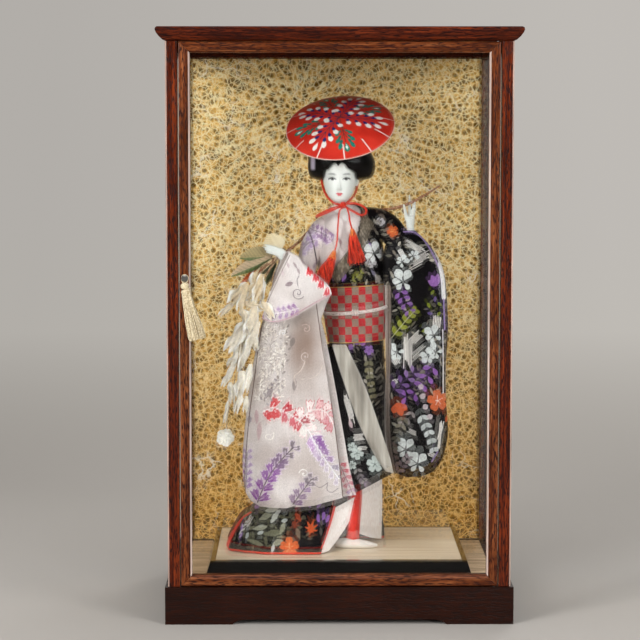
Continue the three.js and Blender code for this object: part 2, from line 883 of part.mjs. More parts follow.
// The robe's upper part. Its halves are of two cloths, and the dark one laps over the pale one.
const shade_edge = [
  [24.5, 372],
  [24.4, 362],
  [22.5, 344],
  [19.5, 329],
  [4.4, 305],
  [-8, 287],
  [-24, 262],
  [-24, 200],
];

function make_robe(core, head, branch) {
  const body = loft(trunk, 20, 8);
  const right_arm = limb(
    [
      [-4, 4, 340, 13, 12],
      [-17, 1, 334, 12, 12],
      [-27, -5, 319, 11, 11],
      [-31.5, -13, 302, 10.5, 10.5],
      [-33, -27, 288, 9, 9],
      [-30, -40, 277, 7.5, 7.5],
    ],
    9,
    6,
  );
  const left_arm = limb(
    [
      [20, 5, 342, 14, 13],
      [36, 4, 343, 13.5, 13],
      [50, 1, 338.5, 13.5, 12],
      [62, -3, 326, 12.5, 11],
      [72, -6, 311, 10, 9],
      [78, -8, 300, 7, 7],
    ],
    9,
    6,
  );
  const dark_collar = collar(
    [[90, 366, 0.6], [45, 367, 1.2], [5, 364, 3], [-40, 354, 2.5], [-66, 342, 1.2], [-76, 327, 0.8],
      [-104, 305, 0.8], [-127, 288, 0.8]],
    [[90, 353, 0.6], [45, 352, 0.6], [5, 350, 0.6], [-30, 342, 0.6], [-52, 331, 0.6], [-64, 317, 0.6],
      [-90, 296, 0.6], [-117, 279, 0.6]],
  );
  const pale_collar = collar(
    [[94, 366, 0.6], [135, 366, 0.8], [180, 363, 1.2], [212, 357, 1.2], [243, 351, 0.8], [263, 344, 0.4],
      [285, 334, -0.6]],
    [[94, 353, 0.6], [135, 352, 0.6], [175, 349, 0.6], [200, 344, 0.6], [225, 337, 0.6], [250, 328, 0.2],
      [275, 316, -0.6]],
  );
  const whole = joined(body, right_arm, left_arm, dark_collar, pale_collar);
  const robe = carve(whole, [core, head, branch]);
  const front = shade_edge.map(([x, z]) => new THREE.Vector2(x, z));
  front.push(new THREE.Vector2(150, 200), new THREE.Vector2(150, 372));
  const lap = new THREE.ExtrudeGeometry(new THREE.Shape(front), { depth: 60, bevelEnabled: false });
  lap.rotateX(Math.PI / 2).translate(0, 4, 0);
  const rear = block([6, 3, 200], [150, 60, 372]);
  const dark_side = joined(lap, rear);
  return { whole, dark: common(robe, dark_side), pale: carve(robe, [dark_side]) };
}

// The sash is wound round the waist, tied at the back, and held by a cord
const sash = [
  [19.5, -2, 217, 30, 25],
  [19, -1, 238, 32.5, 26],
  [17.4, -0.5, 258, 34, 26.5],
  [16.8, -0.5, 276.5, 34.8, 27],
];
const sash_tilt = 0.05;

function make_sash(robe) {
  const band = loft(sash, 22, 3, { tilt: sash_tilt });
  return carve(band, [robe]);
}

function make_sash_knot(sash_band) {
  const knot = loft(
    [
      [17, 34, 214, 19, 6],
      [17, 36, 220, 22, 10.5],
      [17, 37, 245, 23, 11.5],
      [17, 36, 268, 23, 11],
      [17, 34, 279, 22, 8],
    ],
    12,
    6,
    { round: 0.5 },
  );
  return carve(knot, [sash_band]);
}

function make_sash_cord(sash_knot, sash_band) {
  const radius = 1.9;
  const turn = (bearing, out) => {
    const [x, y, , wide, deep] = between(sash, 0.58);
    return [x + (wide + out) * Math.cos(bearing), y + (deep + out) * Math.sin(bearing)];
  };
  const steps = 28;
  const rings = Array.from({ length: steps }, (_, i) => {
    const bearing = (2 * Math.PI * i) / steps;
    return Array.from({ length: 6 }, (__, k) => {
      const angle = (2 * Math.PI * k) / 6;
      const [x, y] = turn(bearing, radius + 2 * seat_gap + radius * Math.cos(angle));
      const rise = 3.6 * Math.cos(bearing) - 2.5 * Math.abs(Math.sin(bearing));
      return [x, y, 251.5 + rise + radius * Math.sin(angle)];
    });
  });
  const front = turn(-Math.PI / 2, radius);
  const knot = placed(new THREE.SphereGeometry(1, 8, 6).scale(4.4, 2.6, 3), ...front, 249);
  return carve(carve(joined(skin(rings, true), knot), [sash_band]), [sash_knot]);
}

// The pale sleeve hangs from the raised forearm
function make_pale_sleeve() {
  const front = bag(
    [
      [-60, -46, 310, -50, -46, 314.5, 5, -1],
      [-66, -46, 291, -31, -46, 298, 7.5, 0],
      [-71, -46, 270, -8.5, -46, 276, 8.5, 0],
      [-76, -46, 250, -13, -46, 258, 7.5, 0],
      [-80.5, -46, 235, -18, -46, 240, 6.5, 0],
      [-86, -46, 210, -15.5, -46, 215, 6, 0],
      [-91.5, -46, 178, -11, -46, 182, 6, 0],
      [-96.5, -46, 138, -4.5, -46, 142, 6, 0],
      [-99.5, -46, 102, 0.5, -46, 106, 6, 0],
      [-98.5, -46, 72, 3.5, -46, 78, 6, 0],
      [-93, -46, 56, 5, -46, 64, 5.5, 0.5],
      [-82, -46, 47.5, 5, -46, 57, 3.5, 5],
    ],
    20,
    16,
    { pleats: 2.5, depth: 2.6, slant: 0.15 },
  );
  const back = sheet(
    [
      [[-50, -39.6, 262], [-21, -39.6, 256]],
      [[-50, -39.6, 221], [-12.6, -39.6, 221]],
      [[-55, -39.6, 178], [-4.2, -39.6, 179]],
      [[-60, -39.6, 126], [5.2, -39.6, 126.3]],
      [[-60, -39.6, 82], [12.6, -39.6, 84]],
      [[-60, -39.6, 50], [18.9, -39.6, 58.5]],
    ],
    2,
    5,
    2.6,
  );
  return joined(front, back);
}

function make_dark_sleeve() {
  return bag(
    [
      [69, -8, 334, 81, -8, 334, 5.5, 0],
      [62, -9, 322, 92, -9, 322.5, 8.5, 0],
      [57, -10, 308, 102, -10, 308, 10, 0],
      [54, -10, 288, 110, -10, 288, 9.5, 0],
      [53, -10, 261, 113, -10, 261, 8, 0],
      [52, -10, 229, 115, -10, 229, 7, 0],
      [50.5, -10, 187, 114, -10, 187, 6.5, 0],
      [49.5, -10, 155, 114.5, -10, 155, 6.5, 0],
      [49, -10, 123, 116.5, -10, 121, 6.5, 0],
      [50.5, -10, 95, 111.5, -10, 94, 6, 0],
      [57, -10, 79, 102, -10, 79, 4, 6],
    ],
    20,
    15,
    { pleats: 2, depth: 2.6, slant: 0.12 },
  );
}

// The hands hold the wisteria branch across the back
function make_right_hand() {
  return limb(
    [
      [-33, -45, 287, 4.6, 4.6],
      [-45, -46, 300, 4.2, 4.2],
      [-54, -47, 309, 4.2, 3.6],
      [-61, -48, 313.2, 5.6, 3.2],
      [-69, -49, 316.6, 5, 2.5],
      [-76, -49.6, 319, 2.6, 1.5],
    ],
    10,
    10,
  );
}

function make_left_hand() {
  const palm = limb(
    [
      [82, -8, 306, 4.6, 4],
      [78, -8, 322, 4.4, 3.8],
      [76.4, -8, 335, 4.2, 3.2],
      [76, -8, 344, 5, 3],
      [75.6, -8, 350, 5.4, 2.8],
    ],
    8,
    6,
  );
  const thumb = [[72.5, -8, 346, 2.2, 2.2], [70.4, -8.5, 354, 1.8, 1.8], [69, -9, 361.5, 1, 1]];
  const fingers = [[78, -8, 346, 3, 2.4], [80, -8.5, 357, 2.4, 2.1], [80.6, -9, 365.5, 1.2, 1.2]];
  const behind = [[75.6, -6.6, 346, 2.6, 1.8], [75.4, -3.4, 358, 2.2, 1.7], [75.3, -4, 371, 1, 1]];
  return joined(palm, ...[thumb, fingers, behind].map((stations) => limb(stations, 6, 4)));
}

const branch_radius = 1.5;
const branch_route = [
  [107, -9, 381],
  [91.8, -8.5, 371.4],
  [75.6, -7.8, 362.5],
  [61.4, 0, 357.5],
  [48, 12, 354.8],
  [36, 20, 355],
  [20, 24, 354],
  [0, 23, 349],
  [-16, 19, 342],
  [-31, 12.5, 331],
  [-42, 0, 320.5],
  [-50, -20, 315.5],
  [-58, -37, 310.5],
  [-68, -43, 304],
  [-80, -45, 293],
  [-92, -46, 281],
];

// Silk leaves fan out from the hand
function make_leaves() {
  const leaf = (base, tip, half) => {
    const at = (t) => base.map((value, k) => value + (tip[k] - value) * t);
    const widths = [[0, 1], [0.35, half * 0.85], [0.65, half], [1, 0.8]];
    return limb(widths.map(([t, across]) => [...at(t), across, 0.9]), 5, 4);
  };
  const hub = [-67.5, -43, 308.2];
  return joined(
    placed(new THREE.SphereGeometry(3, 6, 5), ...hub),
    leaf(hub, [-64, -40.5, 331], 11),
    leaf(hub, [-98, -42, 316], 7.5),
    leaf(hub, [-102, -41, 307], 5.5),
    leaf(hub, [-113, -43, 296.5], 7),
    leaf(hub, [-108, -41, 289.5], 5),
    leaf(hub, [-95, -40, 281], 5),
  );
}

// A long cluster of cream silk petals hangs from the hand, with one blossom at its foot
const cluster_petals = 18;
const cluster_stem = [
  [-62, -50.6, 311],
  [-67, -53.5, 306],
  [-80, -57, 290],
  [-93, -58, 268],
  [-99, -58, 245],
  [-101, -58, 215],
  [-104, -58, 185],
  [-105, -58, 160],
  [-114, -58, 138],
  [-117.3, -58, 121],
];

function make_wisteria() {
  const stem = limb(cluster_stem.map((p) => [...p, 1.1, 1.1]), 4, 12);
  const petal = (i) => {
    const t = 0.14 + (0.65 * i) / cluster_petals;
    const [x, y, z] = between(cluster_stem, t);
    const side = i % 2 ? 1 : -1;
    const lean = 0.35 + 0.5 * Math.abs(Math.sin(2.4 * i));
    const reach = (21 - 8 * t) * (0.85 + 0.15 * Math.sin(5 * i));
    const out = side * reach * Math.cos(lean);
    const down = reach * Math.sin(lean) + 3;
    const half = 6.4 + Math.sin(3 * i);
    const dip = 1.6 * Math.sin(7 * i);
    return limb(
      [
        [x, y, z, 0.9, 0.9],
        [x + out * 0.4, y + dip, z - down * 0.3, half * 0.8, 1.5],
        [x + out * 0.8, y + dip, z - down * 0.75, half, 1.4],
        [x + out, y, z - down * 1.1, 1, 0.8],
      ],
      4,
      3,
    );
  };
  const petals_made = Array.from({ length: cluster_petals }, (_, i) => petal(i));
  const blossom = new THREE.SphereGeometry(1, 10, 6).scale(9.4, 4, 9.4).translate(-117.3, -58, 120);
  return joined(stem, blossom, ...petals_made);
}

// The robe below the sash: a narrow skirt, a front panel over it, and a train to the left
function make_skirt(core, wire, sash_band) {
  const folds = (angle, t) => t * 1.1 * Math.cos(7 * angle);
  const tube_of_cloth = loft(
    [
      [19.5, -2, 211.7, 28.5, 22.5],
      [19.5, -2.5, 190, 30, 23],
      [19.5, -3, 160, 31, 24],
      [19, -3.5, 130, 32, 25],
      [18, -4, 105, 33, 26],
      [17, -4, 80, 35.5, 26],
    ],
    22,
    7,
    { ripple: folds },
  );
  return carve(tube_of_cloth, [core, wire, sash_band]);
}

const panel_thickness = 2;

function make_front_panel(skirt, sash_band) {
  const edge = [[7.5, -31, 216], [27, -34, 174], [42.5, -34.5, 131], [53, -33.5, 100], [57.6, -33, 80.5]];
  const net = [
    [[-14, -28, 216], [-4, -30.5, 216], edge[0]],
    [[-17, -31, 170], [3, -34, 172], edge[1]],
    [[-22, -32, 125], [8, -35, 128], edge[2]],
    [[-27, -32, 80], [12, -35.4, 92], edge[3]],
    [[-29.4, -31, 41], [14, -35, 58], edge[4]],
  ];
  const panel = sheet(net, 8, 9, panel_thickness, (u, v) => 0.7 * v * Math.sin(9 * u));
  const inner = [[-6.3, 216], [7.3, 173], [23, 131], [38.5, 100], [50.5, 83]];
  const turned = edge.map(([x, y, z], i) => [[inner[i][0], y - 1.4, inner[i][1]], [x + 0.5, y - 1.5, z]]);
  const facing = sheet(turned, 2, 9, 1.6);
  return carve(joined(panel, facing), [skirt, sash_band]);
}

function make_train(skirt, others) {
  const rings = [
    [0.4, -118, -67, 53, 60],
    [8, -117, -62, 53, 58],
    [20, -111, -54, 52, 52],
    [32, -103, -45, 50, 46],
    [42, -87, -37, 48, 40],
    [54, -60, -31, 46, 34],
    [84, -28, -24, 38, 26],
  ].map(([z, left, front, right, back]) => {
    const x = (left + right) / 2;
    const y = (front + back) / 2;
    const count = 20;
    return Array.from({ length: count }, (_, i) => {
      const angle = (2 * Math.PI * i) / count;
      const square = (value) => Math.sign(value) * Math.abs(value) ** 0.62;
      const ripple = 1 + 0.018 * Math.cos(7 * angle) * Math.max(0, 1 - z / 80);
      const across = ((right - left) / 2) * square(Math.cos(angle)) * ripple;
      return [x + across, y + ((back - front) / 2) * square(Math.sin(angle)) * ripple, z];
    });
  });
  const legs = skin(
    [
      [-2, [[-23, -90], [-17, -40], [-10, -6], [8, 18], [30, 24], [90, 27], [90, -90]]],
      [44, [[-7, -90], [-5, -36], [-2, -6], [8, 15], [30, 20], [90, 23], [90, -90]]],
      [82, [[1, -90], [0, -36], [2, -6], [8, 12], [30, 16], [90, 18], [90, -90]]],
    ].map(([z, corners]) => corners.map(([x, y]) => [x, y, z])),
  );
  const cloth = carve(carve(skin(rings), [legs], 0), [skirt]);
  return carve(cloth, others);
}

function make_left_lining(neighbours) {
  const flap = sheet(
    [
      [[-4.2, -37.5, 44], [8, -30, 49], [19.5, -25, 55]],
      [[-9.6, -46, 28], [2, -36, 29], [12.7, -29, 31]],
      [[-15.4, -57, 11], [-6, -48, 11.5], [1, -41, 14]],
      [[-20, -65.5, 1.6], [-14.5, -60.5, 1.6], [-9.5, -55, 2.6]],
    ],
    4,
    6,
    1.6,
  );
  return carve(flap, neighbours);
}

function make_right_lining(neighbours) {
  const flap = sheet(
    [
      [[22, -13, 84], [33, -4, 84], [47, 7, 84]],
      [[22.4, -13, 40], [34, -2, 40], [47.6, 10, 42]],
      [[22.8, -12, 12], [34, 1, 6], [46.8, 15, 1.6]],
    ],
    6,
    5,
    1.6,
    (u, v) => 1.4 * v * Math.sin(7 * u),
  );
  return carve(flap, neighbours);
}

function make_doll() {
  const wire = tube([[13.5, -30, -3], [19, -4, 215]], 1.2, 8, 2);
  const core = carve(
    loft(
      [[18, -4, 150, 12, 11], [17.5, -3, 160, 20, 15], [17.5, -3, 200, 22, 17], [16, -1, 250, 24, 17],
        [14, 0, 300, 26, 17], [12, 2, 330, 20, 13], [11, 3, 337, 8, 6]],
      10,
      6,
    ),
    [wire],
  );
  const head = make_head();
  const seated_core = carve(core, [head]);
  const hat = make_hat();
  const branch = tube(branch_route, branch_radius, 6, 30);
  const chin_cord = make_chin_cord(head, hat);
  const robe = make_robe(seated_core, head, branch);
  const sash_band = make_sash(robe.whole);
  const sash_knot = make_sash_knot(sash_band);
  const sash_cord = make_sash_cord(sash_knot, sash_band);
  const right_hand = carve(make_right_hand(), [robe.whole, branch]);
  const left_hand = carve(make_left_hand(), [robe.whole, branch]);
  const skirt = make_skirt(seated_core, wire, sash_band);
  const front_panel = make_front_panel(skirt, sash_band);
  const pale_sleeve = carve(make_pale_sleeve(), [robe.whole, right_hand, branch, front_panel]);
  const dark_sleeve = carve(make_dark_sleeve(), [robe.whole, left_hand, branch, sash_band, sash_cord, skirt]);
  const board = block([-80, -80, -9], [80, 80, seat_gap]);
  const foot = carve(
    limb(
      [[-4, -27, 4.6, 2, 3.4], [2, -29, 5.4, 6, 5], [13, -30.5, 6, 7.4, 5.8], [25, -31.5, 5, 7, 4.7],
        [34, -30.5, 3.7, 5.2, 3.3], [41, -28, 2.6, 1.6, 1.8]],
      10,
      8,
      { hint: [0, 0, 1] },
    ),
    [wire],
  );
  const sole = carve(foot, [board], 0);
  const red_tube = loft(
    [[18, -10, 84, 9, 12], [17.5, -17, 45, 7.5, 11], [16, -23.5, 25, 7, 9.5], [15, -27, 6, 7, 8]],
    12,
    4,
  );
  const underskirt = carve(red_tube, [wire, sole, skirt]);
  const left_lining = make_left_lining([skirt, front_panel, underskirt, sole]);
  const right_lining = make_right_lining([skirt, front_panel, underskirt]);
  const linings = [left_lining, right_lining, front_panel];
  const train = make_train(skirt, [...linings, pale_sleeve, underskirt, sole, wire]);
  const leaves = carve(make_leaves(), [right_hand, branch, pale_sleeve]);
  const wisteria = carve(make_wisteria(), [right_hand, pale_sleeve, leaves]);
  const left_tassel = carve(
    make_tassel([[-3.6, -26.4, 313.4, 1.4, 1.4], [-5, -26.8, 310, 2.2, 2.2], [-7.5, -28, 303, 4.6, 2.6],
      [-13, -30, 292, 7, 3], [-18, -31.5, 280.5, 7.8, 3]]),
    [robe.whole, pale_sleeve],
  );
  const right_tassel = carve(
    make_tassel([[14.3, -27, 336.2, 1.4, 1.4], [15.2, -27.4, 333, 2.2, 2.2], [16, -27.8, 326, 4.8, 2.6],
      [18, -28.6, 313, 8, 3], [19.6, -29, 301, 10, 3]]),
    [robe.whole],
  );
  const clear = [robe.whole, chin_cord];
  const left_cord = carve(tube(left_end, cord_radius, 8, 10), [...clear, left_tassel]);
  const right_cord = carve(tube(right_end, cord_radius, 8, 6), [...clear, right_tassel]);

  add(doll, "leg_wire", wire, steel);
  add(doll, "straw_body", seated_core, straw);
  add(doll, "head", head, shell_paint);
  add(doll, "hair", make_hair(head, hat, chin_cord), black_hair);
  add(doll, "hat", hat, red_lacquer);
  add(doll, "chin_cord", chin_cord, red_silk);
  add(doll, "left_cord_end", left_cord, red_silk);
  add(doll, "right_cord_end", right_cord, red_silk);
  add(doll, "left_chin_tassel", left_tassel, red_silk);
  add(doll, "right_chin_tassel", right_tassel, red_silk);
  add(doll, "pale_bodice", carve(robe.pale, [chin_cord]), white_silk);
  add(doll, "dark_bodice", carve(robe.dark, [chin_cord]), black_silk);
  add(doll, "sash", sash_band, checked_brocade);
  add(doll, "sash_knot", sash_knot, checked_brocade);
  add(doll, "sash_cord", sash_cord, white_lining);
  add(doll, "pale_sleeve", pale_sleeve, white_silk);
  add(doll, "dark_sleeve", dark_sleeve, black_silk);
  add(doll, "right_hand", right_hand, shell_paint);
  add(doll, "left_hand", left_hand, shell_paint);
  add(doll, "branch", branch, twig);
  add(doll, "leaves", leaves, leaf_green);
  add(doll, "wisteria", wisteria, petals);
  add(doll, "skirt", skirt, black_silk);
  add(doll, "front_panel", front_panel, lining_silk);
  add(doll, "train", train, black_silk);
  add(doll, "left_lining", left_lining, white_lining);
  add(doll, "right_lining", right_lining, white_lining);
  add(doll, "underskirt", underskirt, red_silk);
  add(doll, "foot", sole, shell_paint);
  return wire;
}

make_base();
make_posts();
make_top();
make_door();
make_fittings();
make_pull();
make_stand(make_doll());

const part = new THREE.Group();
part.add(display_case);
export default part;
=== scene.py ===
# %% [markdown]
# A dressed dance doll in a glazed display case. The wooden case, its glass and its fittings are
# rigid and come straight from the CAD frame. The doll's silk clothes, cords, hair and flowers are
# modelled here in finer detail than CAD holds, in the same places.

# %% The frame
import math

import bpy
import numpy as np
from mathutils import Matrix, Vector


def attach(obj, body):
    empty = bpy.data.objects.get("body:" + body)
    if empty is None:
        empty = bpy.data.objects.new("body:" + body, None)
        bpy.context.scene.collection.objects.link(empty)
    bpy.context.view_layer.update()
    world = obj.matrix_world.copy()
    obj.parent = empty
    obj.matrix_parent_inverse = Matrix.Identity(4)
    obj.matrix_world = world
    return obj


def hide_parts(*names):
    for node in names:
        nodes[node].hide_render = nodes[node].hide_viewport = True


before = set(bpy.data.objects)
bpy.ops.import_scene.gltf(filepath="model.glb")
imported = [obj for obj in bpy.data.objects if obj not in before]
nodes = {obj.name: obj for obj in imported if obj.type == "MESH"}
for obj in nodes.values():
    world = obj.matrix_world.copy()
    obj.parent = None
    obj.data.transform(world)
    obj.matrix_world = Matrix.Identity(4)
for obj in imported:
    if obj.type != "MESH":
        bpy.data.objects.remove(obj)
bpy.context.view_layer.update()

# %% [markdown]
# The photograph looks slightly down on the case from straight ahead, through a long lens. The
# camera stands where the lines of the case, the stand and the floor meet the picture.

# %% Camera
camera = bpy.data.objects.new("camera", bpy.data.cameras.new("camera"))
camera.location = (-0.0352, -2.39911, 0.5167)
camera.rotation_euler = (math.pi / 2 - 0.0914, 0, -0.0069)
camera.data.lens = 128.2
camera.data.sensor_width = 36
bpy.context.scene.collection.objects.link(camera)
bpy.context.scene.camera = camera
print("camera", tuple(round(v, 3) for v in camera.location))

# %% [markdown]
# A shader works in linear light, while colours are picked as sRGB hex values. One function turns
# one into the other, and one small function adds a node with its settings and links.

# %% Colours and nodes
def linear(code):
    parts = [int(code[i : i + 2], 16) / 255 for i in (0, 2, 4)]
    return [p / 12.92 if p <= 0.04045 else ((p + 0.055) / 1.055) ** 2.4 for p in parts] + [1.0]


def add(tree, kind, inputs=(), stops=(), **settings):
    node = tree.nodes.new(kind if "Node" in kind else "ShaderNode" + kind)
    for key, value in settings.items():
        setattr(node, key, value)
    for key, value in dict(inputs).items():
        socket = node.inputs[key]
        if isinstance(value, bpy.types.NodeSocket):
            tree.links.new(value, socket)
        else:
            socket.default_value = value
    for i, (place, color) in enumerate(stops):
        ramp = node.color_ramp.elements
        stop = ramp[i] if i < 2 else ramp.new(place)
        stop.position = place
        stop.color = linear(color)
    return node


def start(name, color, rough, **more):
    """A material, its node tree and its Principled shader. More sockets: Coat_Weight=0.5."""
    material = bpy.data.materials.new(name)
    material.use_nodes = True
    tree = material.node_tree
    shader = tree.nodes["Principled BSDF"]
    shader.inputs["Base Color"].default_value = linear(color)
    shader.inputs["Roughness"].default_value = rough
    for key, value in more.items():
        shader.inputs[key.replace("_", " ")].default_value = value
    return material, tree, shader


def bump(tree, shader, height, distance, strength=1.0):
    node = add(tree, "Bump", {"Height": height, "Distance": distance, "Strength": strength})
    tree.links.new(node.outputs[0], shader.inputs["Normal"])


print("linear mid grey:", [round(v, 3) for v in linear("808080")])

# %% [markdown]
# The picture has a seamless grey sweep: a floor that curves up into a wall far behind. The floor
# takes the case's soft shadow. The wall is as bright as in the picture whatever the lamps do, and
# from behind the camera looks through it into a room of the same grey. The room that glass mirrors
# is pale behind the case and dark behind the camera, so the panes hardly veil the doll.

# %% Stage and lights
def sweep(name, half, front, bend, radius, height):
    """A floor from y = front to bend, an arc, and a wall."""
    turns = np.linspace(0, math.pi / 2, 25)
    arc = [(bend + radius * math.sin(a), radius - radius * math.cos(a)) for a in turns]
    profile = [(front, 0.0), *arc, (bend + radius, height)]
    points = [(x, y, z) for y, z in profile for x in (-half, half)]
    faces = [(2 * i, 2 * i + 1, 2 * i + 3, 2 * i + 2) for i in range(len(profile) - 1)]
    mesh = bpy.data.meshes.new(name)
    mesh.from_pydata(points, [], faces)
    mesh.shade_smooth()
    made = bpy.data.objects.new(name, mesh)
    bpy.context.scene.collection.objects.link(made)
    return made


def shown_rays(tree):
    """Masks of the camera's own rays, and of these with the ones through glass or off a mirror."""
    path = add(tree, "LightPath")
    own, through, mirrored = (path.outputs[f"Is {k} Ray"] for k in ("Camera", "Transmission", "Glossy"))
    direct = add(tree, "Math", {0: own, 1: through}, operation="MAXIMUM")
    shown = add(tree, "Math", {0: direct.outputs[0], 1: mirrored}, operation="MAXIMUM")
    return own, shown.outputs[0]


WALL_GREY = "b5b1ac"
floor = sweep("floor", 7, -5, 0.7, 1.5, 5)
floor_paper, tree, shader = start("matt_grey_paper", "aaa59f", 0.95)
place = add(tree, "TexCoord")
parts = add(tree, "SeparateXYZ", {"Vector": place.outputs["Object"]})
upward = add(tree, "MapRange", {"Value": parts.outputs["Z"], "From Max": 0.34})
wall = add(tree, "ValToRGB", {"Fac": upward.outputs[0]},
           stops=[(0.0, "9b9690"), (1.0, WALL_GREY), (0.45, "b5b1ab")])
aside = add(tree, "MapRange", {"Value": parts.outputs["X"], "From Min": -0.5, "From Max": 0.5,
                               "To Min": 0.96, "To Max": 1.12})
glow_color = add(tree, "VectorMath", {0: wall.outputs[0], "Scale": aside.outputs[0]}, operation="SCALE")
glow = add(tree, "Emission", {"Color": glow_color.outputs[0]})
own, shown = shown_rays(tree)
far = add(tree, "MapRange", {"Value": parts.outputs["Y"], "From Min": 0.35, "From Max": 1.3},
          interpolation_type="SMOOTHSTEP")
share = add(tree, "Math", {0: shown, 1: far.outputs[0]}, operation="MULTIPLY")
mixed = add(tree, "MixShader", {0: share.outputs[0], 1: shader.outputs[0], 2: glow.outputs[0]})
side = add(tree, "NewGeometry")
behind = add(tree, "Math", {0: side.outputs["Backfacing"], 1: own}, operation="MULTIPLY")
clear = add(tree, "BsdfTransparent")
one_sided = add(tree, "MixShader", {0: behind.outputs[0], 1: mixed.outputs[0], 2: clear.outputs[0]})
tree.links.new(one_sided.outputs[0], tree.nodes["Material Output"].inputs["Surface"])
floor.data.materials.append(floor_paper)

world = bpy.data.worlds.new("studio")
bpy.context.scene.world = world
world.use_nodes = True
tree = world.node_tree
tree.nodes.clear()
own, shown = shown_rays(tree)
way = add(tree, "TexCoord")
parts = add(tree, "SeparateXYZ", {"Vector": way.outputs["Generated"]})
room = add(tree, "ValToRGB", {"Fac": parts.outputs["Y"]}, stops=[(0.0, "1d1c1b"), (0.35, WALL_GREY)])
even_room = add(tree, "Mix", {0: own, 6: room.outputs[0], 7: linear(WALL_GREY)}, data_type="RGBA")
pale = add(tree, "Background", {"Color": even_room.outputs[2], "Strength": 1.0})
soft = add(tree, "Background", {"Color": linear("ffffff"), "Strength": 0.27})
mixed = add(tree, "MixShader", {0: shown, 1: soft.outputs[0], 2: pale.outputs[0]})
add(tree, "OutputWorld", {"Surface": mixed.outputs[0]})


def softbox(name, place, aim, size, power):
    lamp = bpy.data.lights.new(name, "AREA")
    lamp.shape = "RECTANGLE"
    lamp.size, lamp.size_y = size
    lamp.energy = power
    made = bpy.data.objects.new(name, lamp)
    made.location = place
    made.rotation_euler = (Vector(aim) - Vector(place)).to_track_quat("-Z", "Y").to_euler()
    bpy.context.scene.collection.objects.link(made)


CASE_MIDDLE = (0, 0, 0.3)
softbox("key_light", (-1.7, -1.9, 1.15), CASE_MIDDLE, (0.9, 1.3), 58)
softbox("fill_light", (1.7, -2.1, 0.95), CASE_MIDDLE, (1.0, 1.3), 44)
softbox("top_light", (0, -0.4, 2.4), CASE_MIDDLE, (1.8, 1.2), 18)
softbox("back_light", (0.6, 2.2, 1.6), CASE_MIDDLE, (1.6, 1.2), 42)
bpy.context.scene.view_settings.view_transform = "Standard"

# %% [markdown]
# The case is stained hardwood under a satin lacquer. What the eye reads is the grain: long dark
# pores and lighter red-brown streaks that run along each member. Stretched noise along the
# member's own direction gives that, and three directions serve all the members. Where a rounded
# or bevelled arris on the front would catch the light, a narrow band along it is painted a light
# tone as a highlight.

# %% Stained wood
def stained_wood(name, along, deep, middle, light, arris_highlight=None):
    """Grain runs along 0, 1 or 2 for x, y or z. The last argument says between which |x|, in mm,
    faces that look forwards take a pale painted highlight along the arris, and in what colour."""
    material, tree, shader = start(name, middle, 0.4, Coat_Weight=0.04, Coat_Roughness=0.15,
                                   Specular_IOR_Level=0.13)
    place = add(tree, "TexCoord")
    squeeze, short = [1.0, 1.0, 1.0], [1.0, 1.0, 1.0]
    squeeze[along], short[along] = 0.035, 0.16
    grain = add(tree, "Mapping", {"Vector": place.outputs["Object"], "Scale": squeeze})
    dashes = add(tree, "Mapping", {"Vector": place.outputs["Object"], "Scale": short})
    streak = add(tree, "TexNoise", {"Vector": grain.outputs[0], "Scale": 420.0, "Detail": 4.0,
                                    "Roughness": 0.6, "Distortion": 0.3})
    tint = add(tree, "ValToRGB", {"Fac": streak.outputs["Fac"]},
               stops=[(0.3, deep), (0.7, light), (0.5, middle)])
    pores = add(tree, "TexNoise", {"Vector": dashes.outputs[0], "Scale": 820.0, "Detail": 2.0})
    pit = add(tree, "ValToRGB", {"Fac": pores.outputs["Fac"]}, stops=[(0.4, "000000"), (0.48, "ffffff")])
    fleck = add(tree, "MapRange", {"Value": pores.outputs["Fac"], "From Min": 0.58, "From Max": 0.7,
                                   "To Max": 0.4})
    cloud = add(tree, "TexNoise", {"Vector": place.outputs["Object"], "Scale": 22.0, "Detail": 2.0})
    shade = add(tree, "MapRange", {"Value": cloud.outputs["Fac"], "From Min": 0.3, "From Max": 0.7,
                                   "To Min": 0.75, "To Max": 1.15})
    dark = add(tree, "Mix", {0: pit.outputs[0], 6: linear(deep), 7: tint.outputs[0]}, data_type="RGBA")
    lit = add(tree, "Mix", {0: fleck.outputs[0], 6: dark.outputs[2], 7: linear(light)}, data_type="RGBA")
    final = add(tree, "VectorMath", {0: lit.outputs[2], "Scale": shade.outputs[0]},
                operation="SCALE").outputs[0]
    # Painted highlight: forward faces in a narrow band of |x| along an arris are mixed towards a pale colour.
    if arris_highlight:
        parts = add(tree, "SeparateXYZ", {"Vector": place.outputs["Object"]})
        side = add(tree, "Math", {0: parts.outputs["X"]}, operation="ABSOLUTE")
        low = add(tree, "Math", {0: side.outputs[0], 1: arris_highlight[0] / 1000}, operation="GREATER_THAN")
        high = add(tree, "Math", {0: side.outputs[0], 1: arris_highlight[1] / 1000}, operation="LESS_THAN")
        both = add(tree, "Math", {0: low.outputs[0], 1: high.outputs[0]}, operation="MULTIPLY")
        facing = add(tree, "SeparateXYZ", {"Vector": add(tree, "NewGeometry").outputs["Normal"]})
        front = add(tree, "Math", {0: facing.outputs["Y"], 1: -0.5}, operation="LESS_THAN")
        shown = add(tree, "Math", {0: both.outputs[0], 1: front.outputs[0]}, operation="MULTIPLY")
        arris_highlight_share = add(tree, "Math", {0: shown.outputs[0], 1: streak.outputs["Fac"]}, operation="MULTIPLY")
        final = add(tree, "Mix", {0: arris_highlight_share.outputs[0], 6: final, 7: linear(arris_highlight[2])},
                    data_type="RGBA").outputs[2]
    tree.links.new(final, shader.inputs["Base Color"])
    gloss = add(tree, "MapRange", {"Value": pit.outputs[0], "To Min": 0.55, "To Max": 0.3})
    tree.links.new(gloss.outputs[0], shader.inputs["Roughness"])
    bump(tree, shader, pit.outputs[0], 0.0002, 0.5)
    return material


